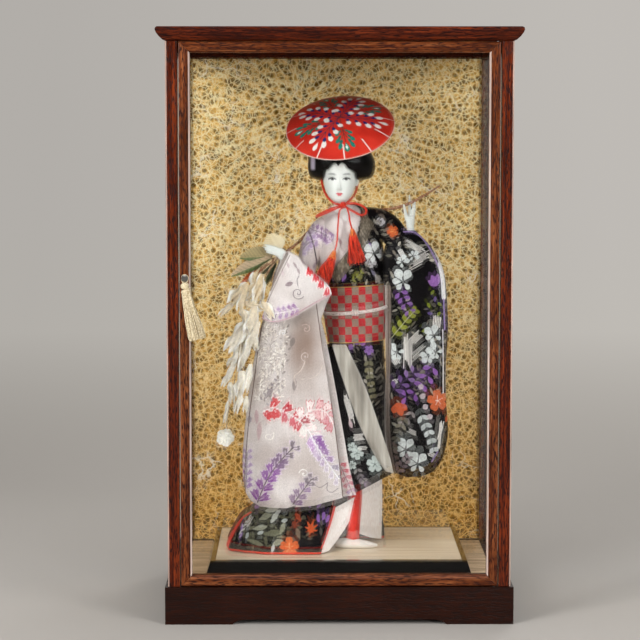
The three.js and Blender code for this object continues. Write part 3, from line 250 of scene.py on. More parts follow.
case_tones = ("240602", "4a1706", "783012")
door_tones = ("2c0d05", "5f2c12", "8e5430")
base_tones = ("1a0703", "220b04", "2c1007")
# The pale bands on the posts' outer corners and on the stiles' inner edges are painted highlights.
post_wood = stained_wood("stained_oak_upright", 2, *case_tones, arris_highlight=(171.6, 173.5, "e2c4b4"))
cornice_wood = stained_wood("stained_oak_across", 0, *case_tones)
side_wood = stained_wood("stained_oak_deep", 1, *case_tones)
stile_wood = stained_wood("door_oak_upright", 2, *door_tones, arris_highlight=(148.0, 150.4, "ffeadc"))
rail_wood = stained_wood("door_oak_across", 0, *door_tones)
plinth_wood = stained_wood("lacquered_oak_across", 0, *base_tones)
plinth_side_wood = stained_wood("lacquered_oak_deep", 1, *base_tones)
print("woods:", len([m for m in bpy.data.materials if "oak" in m.name]))

# %% [markdown]
# The wall behind the doll is a board covered with fibrous gold paper. Cream fibres form a net of
# cells about 6 mm across, and most cells have a darker brown hollow. Voronoi cells make the net,
# bent noise breaks it up, and two wider nets of thin lines give the loose and the long pale fibres
# that lie over it. The board's rear is left bare.

# %% Fibrous gold paper
def bent_by(tree, vector, scale, amount, detail=3.0):
    """The same place, pushed about by noise. The scale is in waves per metre."""
    drift = add(tree, "TexNoise", {"Vector": vector, "Scale": scale, "Detail": detail})
    return add(tree, "Mix", {0: amount, 4: vector, 5: drift.outputs["Color"]}, data_type="VECTOR").outputs[1]


def fibres(tree, vector, scale, width):
    """Lines between the cells of a net, as a mask. The width is in mm."""
    net = add(tree, "TexVoronoi", {"Vector": vector, "Scale": scale}, feature="DISTANCE_TO_EDGE")
    half = width / 2000 * scale
    return add(tree, "MapRange", {"Value": net.outputs["Distance"], "From Min": half * 1.3,
                                  "From Max": half * 0.4}).outputs[0]


BACK_FACE_Y = 0.1345
gold_paper, tree, shader = start("fibrous_gold_paper", "b8965a", 0.7, Specular_IOR_Level=0.12)
where = add(tree, "TexCoord").outputs["Object"]
level = add(tree, "SeparateXYZ", {0: where})
# The paper and its cream fibres are painted darker towards the bottom and paler towards the top.
upward_share = add(tree, "MapRange", {"Value": level.outputs[2], "From Min": 0.05, "From Max": 0.36})
bent = bent_by(tree, where, 110.0, 0.0045)
felt = add(tree, "TexNoise", {"Vector": bent, "Scale": 210.0, "Detail": 4.0, "Roughness": 0.7})
low = add(tree, "ValToRGB", {"Fac": felt.outputs["Fac"]},
          stops=[(0.34, "74480a"), (0.66, "e0a644"), (0.5, "ae7520")])
high = add(tree, "ValToRGB", {"Fac": felt.outputs["Fac"]},
           stops=[(0.34, "aa782a"), (0.66, "ffe092"), (0.5, "e2b058")])
cells = add(tree, "TexVoronoi", {"Vector": bent, "Scale": 165.0})
luck = add(tree, "SeparateXYZ", {"Vector": cells.outputs["Color"]})
patch = add(tree, "TexNoise", {"Vector": where, "Scale": 28.0, "Detail": 2.0})
gape = add(tree, "MapRange", {"Value": patch.outputs["Fac"], "From Min": 0.35, "From Max": 0.65,
                              "To Min": 0.37, "To Max": 0.27})
radius = add(tree, "Math", {0: luck.outputs[0], 1: 0.12, 2: gape.outputs[0]}, operation="MULTIPLY_ADD")
depth = add(tree, "Math", {0: radius.outputs[0], 1: cells.outputs["Distance"]}, operation="SUBTRACT")
hole = add(tree, "MapRange", {"Value": depth.outputs[0], "From Min": -0.16, "From Max": 0.14})
cream = add(tree, "Mix", {0: upward_share.outputs[0], 6: linear("ffcf78"), 7: linear("fff2c0")}, data_type="RGBA")
rims = add(tree, "Math", {0: fibres(tree, bent, 165.0, 0.8), 1: 0.7}, operation="MULTIPLY")
loose = fibres(tree, bent_by(tree, where, 90.0, 0.008), 118.0, 0.8)
faint = add(tree, "Math", {0: loose, 1: 0.9}, operation="MULTIPLY")
net = add(tree, "Math", {0: rims.outputs[0], 1: faint.outputs[0]}, operation="MAXIMUM")
swerve = add(tree, "TexNoise", {"Vector": where, "Scale": 22.0, "Detail": 3.0})
sparse = add(tree, "MapRange", {"Value": swerve.outputs["Fac"], "From Min": 0.52, "From Max": 0.62,
                                "To Max": 0.85})
long = fibres(tree, bent_by(tree, where, 75.0, 0.014, 2.0), 30.0, 1.2)
laid = add(tree, "Math", {0: long, 1: sparse.outputs[0]}, operation="MULTIPLY")
rear = add(tree, "Math", {0: level.outputs[1], 1: BACK_FACE_Y}, operation="GREATER_THAN")
paper = add(tree, "Mix", {0: upward_share.outputs[0], 6: low.outputs[0], 7: high.outputs[0]}, data_type="RGBA")
for mask, color in ((hole, linear("684a10")), (net, cream.outputs[2]), (laid, linear("fff6de")),
                    (rear, linear("94765a"))):
    paper = add(tree, "Mix", {0: mask.outputs[0], 6: paper.outputs[2], 7: color}, data_type="RGBA")
tree.links.new(paper.outputs[2], shader.inputs["Base Color"])
relief = add(tree, "Math", {0: net.outputs[0], 1: hole.outputs[0]}, operation="SUBTRACT")
bump(tree, shader, relief.outputs[0], 0.0008, 0.6)
print("gold paper nodes:", len(tree.nodes))

# %% [markdown]
# The case floor is card printed with wavy wood grain. The doll's stand is a board of fine pale
# wood in a frame under black gloss lacquer. Like many of the doll's own finishes they are one
# colour that wanders along the piece, so one function makes such a finish from drawn-out noise.

# %% Floor print, pale board and black lacquer
def mottled(name, color, rough, scale, stops=(), stretch=None, turn=(0, 0, 0), detail=2.0, warp=0.0,
            relief=None, **more):
    """A finish whose colour and relief follow noise of so many waves per metre. relief: depth, strength."""
    material, tree, shader = start(name, color, rough, **more)
    place = add(tree, "TexCoord").outputs["Object"]
    if stretch:
        place = add(tree, "Mapping", {"Vector": place, "Rotation": turn, "Scale": stretch}).outputs[0]
    noise = add(tree, "TexNoise", {"Vector": place, "Scale": scale, "Detail": detail, "Distortion": warp})
    if stops:
        tone = add(tree, "ValToRGB", {"Fac": noise.outputs["Fac"]}, stops=stops)
        tree.links.new(tone.outputs[0], shader.inputs["Base Color"])
    if relief:
        bump(tree, shader, noise.outputs["Fac"], *relief)
    return material


floor_print = mottled("printed_grain_card", "bfa17c", 0.55, 130.0,
                      [(0.3, "957655"), (0.7, "e6cba4"), (0.5, "bfa17c")], stretch=(0.12, 1.0, 1.0),
                      detail=5.0, warp=1.2)
pale_board = mottled("planed_pale_spruce", "dfccae", 0.45, 420.0, [(0.3, "d3bb97"), (0.7, "f7ead2")],
                     stretch=(0.02, 1.0, 1.0), detail=3.0, Specular_IOR_Level=0.3)
black_lacquer = mottled("black_gloss_lacquer", "0b0a09", 0.12, 14.0, relief=(0.0003, 0.3), Coat_Weight=0.6,
                        Coat_Roughness=0.05)
print("stand finishes made")

# %% [markdown]
# Window glass 2 mm thick hardly shows, apart from a weak reflection and a green-grey edge. Most
# of each pane is left clear with a low alpha, so that light reaches the doll through it.

# %% Glass and metal
pane_glass = mottled("float_glass", "f2f6f4", 0.02, 3.0, relief=(0.0006, 0.2), IOR=1.5, Alpha=0.14,
                     Transmission_Weight=1.0)


def worn_metal(name, color, rough, grit):
    """A metal whose gloss changes from spot to spot, so many spots to the metre."""
    material, tree, shader = start(name, color, rough, Metallic=1.0)
    place = add(tree, "TexCoord")
    spots = add(tree, "TexNoise", {"Vector": place.outputs["Object"], "Scale": grit, "Detail": 4.0})
    gloss = add(tree, "MapRange", {"Value": spots.outputs["Fac"], "To Min": rough - 0.12,
                                   "To Max": rough + 0.2})
    tree.links.new(gloss.outputs[0], shader.inputs["Roughness"])
    return material


pewter = worn_metal("polished_pewter", "8f8c88", 0.28, 900.0)
steel = worn_metal("drawn_steel", "9c9c9c", 0.38, 1500.0)
magnet = mottled("moulded_dark_plastic", "26211f", 0.55, 2500.0, relief=(0.0001, 0.4))
print("glass and metals made")

# %% [markdown]
# The case's boards, posts and panes are right as the CAD frame has them, so they keep their meshes
# and only get their finishes. The grain of each board has to run along it, which picks its wood.

# %% Finishes on the case's own nodes
def finish(material, names):
    for name in names.split():
        slots = nodes[name].data.materials
        slots.clear()
        slots.append(material)


finish(post_wood, "front_left_post rear_left_post front_right_post rear_right_post")
finish(cornice_wood, "cornice_front cornice_rear top_board")
finish(side_wood, "cornice_left cornice_right")
finish(stile_wood, "door_left_stile door_right_stile")
finish(rail_wood, "door_bottom_rail door_top_rail")
finish(plinth_wood, "base_front_board base_rear_board")
finish(plinth_side_wood, "base_left_board base_right_board")
finish(gold_paper, "back_panel")
finish(floor_print, "floor_board")
finish(pale_board, "stand_top")
finish(black_lacquer, "stand_frame")
finish(pane_glass, "door_glass left_glass right_glass")
finish(pewter, "door_knob")
finish(steel, "catch_strike lower_pivot_pin upper_pivot_pin leg_wire")
finish(magnet, "catch_magnet")
print("case nodes finished")

# %% [markdown]
# The doll's sizes are in millimetres from the middle of her stand's board: x to the right, y back
# and z up. Her clothes are smooth skins through a few measured stations, made far finer than the
# CAD solids, so that folds and woven patterns have room.

# %% Smooth skins
DOLL_PLACE = np.array((0.0, 0.25, 58.0))
TAU = 2 * math.pi


def between(rows, t):
    """The numbers at t, from 0 to 1, on a smooth curve through the rows."""
    rows = np.asarray(rows, float)
    place = np.clip(np.atleast_1d(t), 0, 1) * (len(rows) - 1)
    i = np.minimum(place.astype(int), len(rows) - 2)
    f = (place - i)[:, None]
    p, q, r, s = (rows[np.clip(i + k, 0, len(rows) - 1)] for k in (-1, 0, 1, 2))
    m, n, d = (r - p) / 2, (s - q) / 2, r - q
    return q + f * (m + f * (3 * d - 2 * m - n + f * (m + n - 2 * d)))


def grid(steps, sides):
    """t down the rows and the angle round them, as two arrays."""
    return np.meshgrid(np.linspace(0, 1, steps + 1), TAU * np.arange(sides) / sides, indexing="ij")


def loft(stations, sides, steps, boxy=1.0, tilt=0.0, fold=None):
    """Rings across z: each station is x, y, z, half width, half depth."""
    t, angle = grid(steps, sides)
    x, y, z, wide, deep = (between(stations, t[:, 0])[:, k, None] for k in range(5))
    extra = fold(angle, t) if fold else 0
    c, s = np.cos(angle), np.sin(angle)
    across = (wide + extra) * np.sign(c) * abs(c) ** boxy
    return np.stack([x + across, y + (deep + extra) * np.sign(s) * abs(s) ** boxy, z + tilt * across], 2)


def limb(stations, sides, steps, hint=(0, 1, 0), fold=None):
    """Rings across a path: each station is x, y, z, half width, half thickness."""
    t, angle = grid(steps, sides)
    row = between(stations, t[:, 0])
    along = between(stations, t[:, 0] + 0.01)[:, :3] - between(stations, t[:, 0] - 0.01)[:, :3]
    along /= np.linalg.norm(along, axis=1)[:, None]
    side = np.cross(along, hint)
    side /= np.linalg.norm(side, axis=1)[:, None]
    through = np.cross(side, along)
    extra = fold(angle, t) if fold else 0
    wide = (row[:, 3, None] + extra) * np.cos(angle)
    deep = (row[:, 4, None] + extra) * np.sin(angle)
    return row[:, None, :3] + side[:, None] * wide[..., None] + through[:, None] * deep[..., None]


def smooth(rows, count):
    """A smooth curve of so many points through the rows."""
    return between(rows, np.linspace(0, 1, count))


def put_mesh(name, points, faces, material):
    """Points in doll millimetres become a smooth, closed mesh object in metres, faces outward."""
    mesh = bpy.data.meshes.new(name)
    mesh.from_pydata(((np.asarray(points) + DOLL_PLACE) / 1000).tolist(), [], faces)
    made = bpy.data.objects.new(name, mesh)
    bpy.context.scene.collection.objects.link(made)
    outward(mesh)
    mesh.shade_smooth()
    mesh.materials.append(material)
    return made


def outward(mesh):
    """A closed mesh whose volume counts as negative is turned the right way out."""
    mesh.calc_loop_triangles()
    place = np.zeros(3 * len(mesh.vertices))
    mesh.vertices.foreach_get("co", place)
    corner = np.zeros(3 * len(mesh.loop_triangles), int)
    mesh.loop_triangles.foreach_get("vertices", corner)
    a, b, c = np.moveaxis(place.reshape(-1, 3)[corner.reshape(-1, 3)], 1, 0)
    if (a * np.cross(b, c)).sum() < 0:
        mesh.flip_normals()


def points_of(piece):
    """The piece's points in doll millimetres."""
    place = np.zeros(3 * len(piece.data.vertices))
    piece.data.vertices.foreach_get("co", place)
    return place.reshape(-1, 3) * 1000 - DOLL_PLACE


def keep(piece, name, values, kind="FLOAT"):
    """Numbers, vectors or colours of the piece's points, kept on its mesh for a material or a tree."""
    key = {"FLOAT": "value", "FLOAT_VECTOR": "vector", "FLOAT_COLOR": "color"}[kind]
    attribute = piece.data.attributes.new(name, kind, "POINT")
    attribute.data.foreach_set(key, np.asarray(values, np.float32).ravel())


def skin(name, rings, material):
    """A closed skin through rings, capped at both ends."""
    count, sides = rings.shape[:2]
    r, c = (k.ravel() for k in np.meshgrid(np.arange(count - 1), np.arange(sides), indexing="ij"))
    d = (c + 1) % sides
    faces = np.stack([r * sides + c, r * sides + d, (r + 1) * sides + d, (r + 1) * sides + c], 1).tolist()
    points = [rings.reshape(-1, 3), rings[:1].mean(1), rings[-1:].mean(1)]
    for row, middle, turned in ((0, count * sides, 1), (count - 1, count * sides + 1, 0)):
        for i in range(sides):
            pair = [row * sides + i, row * sides + (i + 1) % sides]
            faces.append([middle] + (pair[::-1] if turned else pair))
    return put_mesh(name, np.concatenate(points), faces, material)


def cloth(name, net, across, down, thickness, material, fold=None):
    """A sheet of cloth with a thickness, on a net of points by rows and columns."""
    net = np.asarray(net, float)
    u, v = np.linspace(0, 1, across + 1), np.linspace(0, 1, down + 1)
    rows = between(net.reshape(len(net), -1), v).reshape(down + 1, -1, 3)
    place = np.stack([between(row, u) for row in rows])
    if fold:
        uu, vv = np.meshgrid(u, v)
        place[..., 1] += fold(uu, vv)
    normal = np.cross(np.gradient(place, axis=1), np.gradient(place, axis=0))
    normal /= np.linalg.norm(normal, axis=2)[..., None] + 1e-9
    front, back = place + normal * thickness / 2, place - normal * thickness / 2
    rings = np.concatenate([front, back[:, ::-1]], 1)
    sides = rings.shape[1]
    faces = []
    for r in range(down):
        for c in range(sides):
            d = (c + 1) % sides
            faces.append([r * sides + c, r * sides + d, (r + 1) * sides + d, (r + 1) * sides + c])
    for row in (0, down * sides):
        for c in range(across):
            ends = [row + c, row + c + 1, row + sides - 2 - c, row + sides - 1 - c]
            faces.append(ends[::-1] if row == 0 else ends)
    return put_mesh(name, rings.reshape(-1, 3), faces, material)


print("a smooth row:", between([[0], [1], [4]], [0.25, 0.75]).ravel().round(2))

# %% [markdown]
# The robe's two brocades are satin with flowers woven in coloured, silver and gold threads. Each
# motif is drawn on the cloth as a distance from its outline, kept as a mesh attribute with the
# thread's colour. The shader turns distance nought into a crisp edge, however near the view.

# %% A loom for woven motifs
PICTURE = 640


def seen(px, py, y):
    """Where a point of the 640 by 640 picture falls on cloth at depth y, as x and z of the doll."""
    turn = camera.rotation_euler.to_matrix()
    lens = camera.data.lens / camera.data.sensor_width
    ray = turn @ Vector(((px - PICTURE / 2) / PICTURE, (PICTURE / 2 - py) / PICTURE, -lens))
    reach = ((y + DOLL_PLACE[1]) / 1000 - camera.location.y) / ray.y
    hit = (camera.location + ray * reach) * 1000
    return hit.x - DOLL_PLACE[0], hit.z - DOLL_PLACE[2]


def in_space(px, py, y):
    """The same as a point with its depth."""
    x, z = seen(px, py, y)
    return x, y, z


def trace(y, *points):
    """Where the points of a line in the picture fall on cloth at depth y."""
    return [seen(px, py, y) for px, py in points]


def loom(piece, turn_over=0.0):
    """The piece's points as a flat pattern: x and z in front, mirrored and moved over behind."""
    place = points_of(piece)
    count = len(place)
    normal = np.zeros(3 * count)
    piece.data.vertices.foreach_get("normal", normal)
    behind = normal.reshape(-1, 3)[:, 1] > 0.15
    flat = place[:, [0, 2]].copy()
    flat[behind, 0] = turn_over - flat[behind, 0]
    return {"at": flat, "behind": behind, "edge": np.full(count, 9.0), "color": np.ones((count, 4)),
            "metal": np.zeros(count), "place": place}


def close_to(work, x, y, reach):
    near = np.flatnonzero((abs(work["at"] - (x, y)) < reach).all(1))
    return near, work["at"][near] - (x, y)


def inlay(work, near, distance, color, metal=0.0):
    """A motif's thread shows inside its outline, and is kept outside it where it is nearest."""
    old = work["edge"][near]
    take = (distance < 0) | ((old > 0) & (distance < old))
    rows = near[take]
    work["edge"][rows] = distance[take]
    work["color"][rows] = linear(color)
    work["metal"][rows] = metal


def petal(work, x, y, angle, length, width, color, metal=0.0, heavy=1.0):
    """A petal or leaf from its base at x, y; heavy above 1 puts its widest part nearer the tip."""
    near, off = close_to(work, x, y, length + width + 2)
    c, s = math.cos(angle), math.sin(angle)
    along, across = off @ (c, s), off @ (-s, c)
    t = np.clip(along / length, 0.001, 0.999)
    half = width / 2 * np.sin(math.pi * t**heavy) ** 0.75
    inlay(work, near, np.hypot(across, along - t * length) - half, color, metal)


def stroke(work, points, width, color, metal=0.0):
    """A line of thread through the points."""
    points = np.asarray(points, float)
    middle, reach = points.mean(0), np.ptp(points, 0).max() / 2 + abs(points - points.mean(0)).max() + width
    near, off = close_to(work, *middle, reach)
    best = np.full(len(near), 99.0)
    for a, b in zip(points[:-1] - middle, points[1:] - middle):
        run = b - a
        t = np.clip(((off - a) @ run) / max(run @ run, 1e-6), 0, 1)
        best = np.minimum(best, np.linalg.norm(off - a - t[:, None] * run, axis=1))
    inlay(work, near, best - width / 2, color, metal)


def blossom(work, x, y, radius, color, heart="8b8f8c", metal=0.0, turn=0.3, petals=5):
    """A flower of notched petals round a small centre."""
    near, off = close_to(work, x, y, radius * 1.2)
    angle = np.arctan2(off[:, 1], off[:, 0]) + turn
    lobe = abs(np.cos(petals * angle / 2))
    notch = 0.12 * np.exp(-((np.mod(petals * angle / TAU + 0.5, 1) - 0.5) ** 2) * 60)
    rim = radius * (0.35 + 0.68 * lobe**0.5 - notch)
    inlay(work, near, np.hypot(*off.T) - rim, color, metal)
    for k in range(petals):
        a = TAU * k / petals - turn
        end = (x + 0.42 * radius * math.cos(a), y + 0.42 * radius * math.sin(a))
        stroke(work, [(x, y), end], 0.5, heart)


def maple(work, x, y, radius, color, turn=0.0, metal=0.0):
    """A leaf of seven pointed fingers on a stalk."""
    near, off = close_to(work, x, y, radius * 1.25)
    angle = np.arctan2(off[:, 1], off[:, 0]) - turn
    rim = np.full(len(near), 0.2)
    for k, reach in zip(range(-3, 4), (0.55, 0.8, 0.95, 1.0, 0.95, 0.8, 0.55)):
        gap = abs((angle - k * 0.74 + math.pi) % TAU - math.pi)
        rim = np.maximum(rim, reach * (1 - np.clip(gap / 0.36, 0, 1) ** 0.75 * 0.72))
    inlay(work, near, (np.hypot(*off.T) - radius * rim) * 0.8, color, metal)
    stroke(work, [(x, y), (x - radius * 0.7 * math.cos(turn), y - radius * 0.7 * math.sin(turn))], 0.9, color)


def scroll(work, x, y, radius, turns, color, turn=0.0, width=0.8, metal=0.6):
    a = np.linspace(0.5, TAU * turns, 26)
    r = radius * a / a[-1]
    stroke(work, np.stack([x + r * np.cos(a + turn), y + r * np.sin(a + turn)], 1), width, color, metal)


def spray(work, path, count, big, small, colors, rim=None, stem="f1ecea"):
    """Wisteria: petals in pairs along a curved stem, from big at its start to small at its tip."""
    heavy = 1.35
    for i in range(count):
        t = (i + 0.5) / count
        at, ahead = between(path, [t, min(t + 0.03, 1)])
        if t > 0.97:
            ahead = 2 * at - between(path, [t - 0.03])[0]
        lean = math.atan2(ahead[1] - at[1], ahead[0] - at[0])
        size = big + (small - big) * t
        tint = colors[min(int(t * len(colors)), len(colors) - 1)]
        for hand in (1, -1):
            angle = lean + hand * 1.0
            root = at + 0.8 * np.array((math.cos(angle), math.sin(angle)))
            if rim:
                petal(work, *(root - 0.4), angle, size + 0.9, size * 0.55 + 1.3, rim, 0.3, heavy)
            petal(work, *root, angle, size, size * 0.55, tint, 0.0, heavy)
    stroke(work, smooth(path, 24), 0.7, stem, 0.5)


def fern(work, path, count, length, colors, stem="4a4a40", width=0.42):
    """Plain leaves in pairs along a stem."""
    metal = 0.3
    for i in range(count):
        t = (i + 0.7) / count
        at, back = between(path, [t, t - 0.04])
        lean = math.atan2(at[1] - back[1], at[0] - back[0])
        for hand in (1, -1):
            petal(work, *at, lean + hand * 0.8, length * (1 - 0.35 * t), length * width,
                  colors[i % len(colors)], metal)
    stroke(work, smooth(path, 16), 0.7, stem, metal)


def weave_in(work, piece):
    """Keeps the motifs on the mesh for its material."""
    keep(piece, "thread", work["color"], "FLOAT_COLOR")
    keep(piece, "outline", work["edge"])
    keep(piece, "gilt", work["metal"])


print("the chin falls at", tuple(round(k, 1) for k in seen(341, 203, -17)))

# %% [markdown]
# Silk satin shines along its threads and darkens where it turns away. The ground colour comes from
# the cloth, and the motif's thread lies a little above it, duller or like fine metal foil. Where
# a mesh attribute asks for it, the ground also takes a painted shade of the fold colour.

# %% Brocade
THREADS_PER_METRE = 1100.0


def brocade(name, ground, shade, fold, rough, sheen, glint=0.0, shine=0.5):
    """Satin with woven motifs. Threads are drawn about 0.9 mm apart, or they wouldn't show.
    fold is the colour of the shade painted into the cloth's hollows.
    """
    material, tree, shader = start(name, ground, rough, Sheen_Weight=sheen, Sheen_Roughness=0.4,
                                   Specular_IOR_Level=shine)
    place = add(tree, "TexCoord")
    edge = add(tree, "Attribute", attribute_name="outline")
    thread = add(tree, "Attribute", attribute_name="thread")
    gilt = add(tree, "Attribute", attribute_name="gilt")
    inside = add(tree, "MapRange", {"Value": edge.outputs["Fac"], "From Min": 0.18, "From Max": -0.18})
    fine = add(tree, "TexNoise", {"Vector": place.outputs["Object"], "Scale": THREADS_PER_METRE,
                                  "Detail": 2.0})
    wide = add(tree, "TexNoise", {"Vector": place.outputs["Object"], "Scale": 30.0, "Detail": 2.0})
    tone = add(tree, "MapRange", {"Value": wide.outputs["Fac"], "From Min": 0.35, "From Max": 0.65})
    ground_tone = add(tree, "Mix", {0: tone.outputs[0], 6: linear(shade), 7: linear(ground)},
                      data_type="RGBA")
    # Painted shade: by the share that the mesh attribute gives, the ground colour turns to the fold colour.
    hollow_and_painted_shade = add(tree, "Attribute", attribute_name="hollow_and_painted_shade")
    base = add(tree, "Mix", {0: hollow_and_painted_shade.outputs["Fac"], 6: ground_tone.outputs[2], 7: linear(fold)},
               data_type="RGBA")
    nap = add(tree, "MapRange", {"Value": fine.outputs["Fac"], "From Min": 0.3, "From Max": 0.7,
                                 "To Min": 0.8, "To Max": 1.15})
    dyed = add(tree, "Mix", {0: inside.outputs[0], 6: base.outputs[2], 7: thread.outputs["Color"]},
               data_type="RGBA")
    final = add(tree, "VectorMath", {0: dyed.outputs[2], "Scale": nap.outputs[0]}, operation="SCALE")
    tree.links.new(final.outputs[0], shader.inputs["Base Color"])
    foil = add(tree, "Math", {0: inside.outputs[0], 1: gilt.outputs["Fac"]}, operation="MULTIPLY")
    speck = add(tree, "MapRange", {"Value": fine.outputs["Fac"], "From Min": 0.58, "From Max": 0.66,
                                   "To Max": glint})
    metal = add(tree, "Math", {0: foil.outputs[0], 1: speck.outputs[0]}, operation="MAXIMUM")
    tree.links.new(metal.outputs[0], shader.inputs["Metallic"])
    gloss = add(tree, "MapRange", {"Value": foil.outputs[0], "To Min": rough, "To Max": 0.3})
    tree.links.new(gloss.outputs[0], shader.inputs["Roughness"])
    raised = add(tree, "Math", {0: inside.outputs[0], 1: 0.6, 2: fine.outputs["Fac"]},
                 operation="MULTIPLY_ADD")
    bump(tree, shader, raised.outputs[0], 0.00025, 0.6)
    return material


# Each brocade's third colour is the brown shade painted into a hollow where a piece asks for it.
pale_silk = brocade("pale_satin_brocade", "e3dcd9", "c6bab5", "8a6f5e", 0.36, 0.15, shine=0.3)
dark_silk = brocade("black_satin_brocade", "110e10", "070607", "84786f", 0.4, 0.02, glint=0.25, shine=0.08)
print("brocades made")

# %% [markdown]
# The pale sleeve hangs from her raised right forearm as a flat bag, its front face curved by slow
# folds, and a second layer shows behind its right edge. The dark sleeve hangs the same way. Their
# outlines follow the CAD solids, and long folds are added along the fall of the cloth.

# %% The two hanging sleeves
def bag(rows, sides, steps, pleats, depth, slant):
    """Each row is a left point, a right point, half the thickness, and the sag between them."""
    t, angle = grid(steps, sides)
    xl, yl, zl, xr, yr, zr, half, sag = (between(rows, t[:, 0])[:, k, None] for k in range(8))
    u = (1 - np.cos(angle + TAU / 2 / sides)) / 2
    s = np.sin(angle + TAU / 2 / sides)
    swell = np.sin(math.pi * u)
    wave = depth * t * swell * np.sin(TAU * (pleats * u + slant * t))
    wave += 0.5 * swell * np.sin(TAU * (pleats * 2.3 * u - 2.1 * slant * t) + 1.3) * (0.3 + 0.7 * t)
    body = half * np.sign(s) * abs(s) ** 0.8
    return np.stack([xl + (xr - xl) * u, yl + (yr - yl) * u + wave + body,
                     zl + (zr - zl) * u - sag * swell], 2)


hollow_x, hollow_z = seen(306, 352, -52)
pale_rows = [
    (-60, -46, 310, -50, -46, 314.5, 5, -1), (-66, -46, 291, -31, -46, 298, 7.5, 0),
    (-71, -46, 270, -8.5, -46, 276, 8.5, 0), (-76, -46, 250, -13, -46, 258, 7.5, 0),
    (-80.5, -46, 235, -18, -46, 240, 6.5, 0), (-86, -46, 210, -15.5, -46, 215, 6, 0),
    (-91.5, -46, 178, -11, -46, 182, 6, 0), (-96.5, -46, 138, -4.5, -46, 142, 6, 0),
    (-99.5, -46, 102, 0.5, -46, 106, 6, 0), (-98.5, -46, 72, 3.5, -46, 78, 6, 0),
    (-93, -46, 56, 5, -46, 64, 5.5, 0.5), (-82, -46, 47.5, 5, -46, 57, 3.5, 5)]
dark_rows = [
    (66, -8, 334, 81, -8, 334, 5.5, 0), (52, -9, 322, 93, -9, 322.5, 8.5, 0),
    (47.5, -10, 308, 104, -10, 308, 10, 0), (47.5, -10, 288, 112, -10, 288, 9.5, 0),
    (49.5, -10, 261, 115, -10, 261, 8, 0), (50, -10, 229, 116, -10, 229, 7, 0),
    (50.5, -10, 187, 114, -10, 187, 6.5, 0), (49.5, -10, 155, 114.5, -10, 155, 6.5, 0),
    (49, -10, 123, 116.5, -10, 121, 6.5, 0), (50.5, -10, 95, 111.5, -10, 94, 6, 0),
    (57, -10, 79, 102, -10, 79, 4, 6)]
pale_sleeve = skin("pale_sleeve_silk", bag(pale_rows, 300, 300, 2.5, 2.6, 0.15), pale_silk)
dark_sleeve = skin("dark_sleeve_silk", bag(dark_rows, 260, 320, 2.0, 2.6, 0.12), dark_silk)
for vertex in pale_sleeve.data.vertices:
    x, y, z = np.array(vertex.co) * 1000 - DOLL_PLACE
    if y < -46:
        hollow_and_painted_shade = math.exp(-(((x - hollow_x) / 21) ** 2) - ((z - hollow_z) / 46) ** 2)
        ridge = math.exp(-(((x - hollow_x + 40) / 12) ** 2) - ((z - hollow_z + 10) / 60) ** 2)
        vertex.co.y += (6.5 * hollow_and_painted_shade - 2.0 * ridge) / 1000
ELBOW = [[(285, 253, -54), (289, 253, -56), (293, 254, -57), (297, 256, -56), (300, 259, -54)],
         [(277.5, 272, -55), (286, 270, -58), (296, 269, -59.5), (306, 270, -58), (314, 273, -54)],
         [(270.5, 290, -55), (282, 289, -58.5), (299, 286, -60.5), (317, 283, -58), (327, 285, -54)],
         [(265.5, 306, -55), (280, 307, -59.5), (299, 303, -61), (317, 297, -58.5), (331, 291.5, -53.5)],
         [(262, 319, -55.5), (276, 322.5, -60.5), (292, 318, -61.5), (311, 307, -59.5),
          (331.5, 294.5, -53.5)]]
net = [[in_space(px, py, y) for px, py, y in row] for row in ELBOW]
elbow_fold = cloth("pale_sleeve_fold", net, 150, 150, 1.4, pale_silk,
                   fold=lambda u, v: 0.7 * v * np.sin(7 * u + 3 * v) + 0.3 * np.sin(15 * u - 4 * v))
Y_LAP = -39.6
lap_rows = [(-50, 262, -21, 256), (-50, 221, -12.6, 221), (-55, 178, -4.2, 179), (-60, 126, 5.2, 126.3),
            (-60, 82, 12.6, 84), (-60, 50, 18.9, 58.5)]
lap_net = [[(x0, Y_LAP, z0), (x1, Y_LAP, z1)] for x0, z0, x1, z1 in lap_rows]
sleeve_lap = cloth("pale_sleeve_lap", lap_net, 100, 240, 2.0, pale_silk)
print("sleeve points:", len(pale_sleeve.data.vertices), len(dark_sleeve.data.vertices))

# %% [markdown]
# The pale brocade shows one great spray of wisteria from red to purple, three smaller sprays that
# rise from the hem, and silver scrolls and leaves. Places are read off the picture and laid on
# the cloth at its own depth. The unseen back gets sprays of the same kinds.

# %% Motifs of the pale sleeve
Y_PALE, Y_ELBOW, Y_BACK_LAYER = -53, -60, -41


def bloom(work, x, y, angle, length, width, color, metal=0.0):
    """One wisteria flower: narrow at the stem, wide and three-pointed at its end."""
    near, off = close_to(work, x, y, length * 1.3)
    along = off @ (math.cos(angle), math.sin(angle))
    across = off @ (-math.sin(angle), math.cos(angle))
    half = width * (0.24 + 0.3 * np.clip(along / (0.65 * length), 0, 1))
    tip = length * (0.91 + 0.09 * np.cos(TAU * across / (0.55 * width)))
    inlay(work, near, np.maximum(np.maximum(abs(across) - half, along - tip), -along), color, metal)


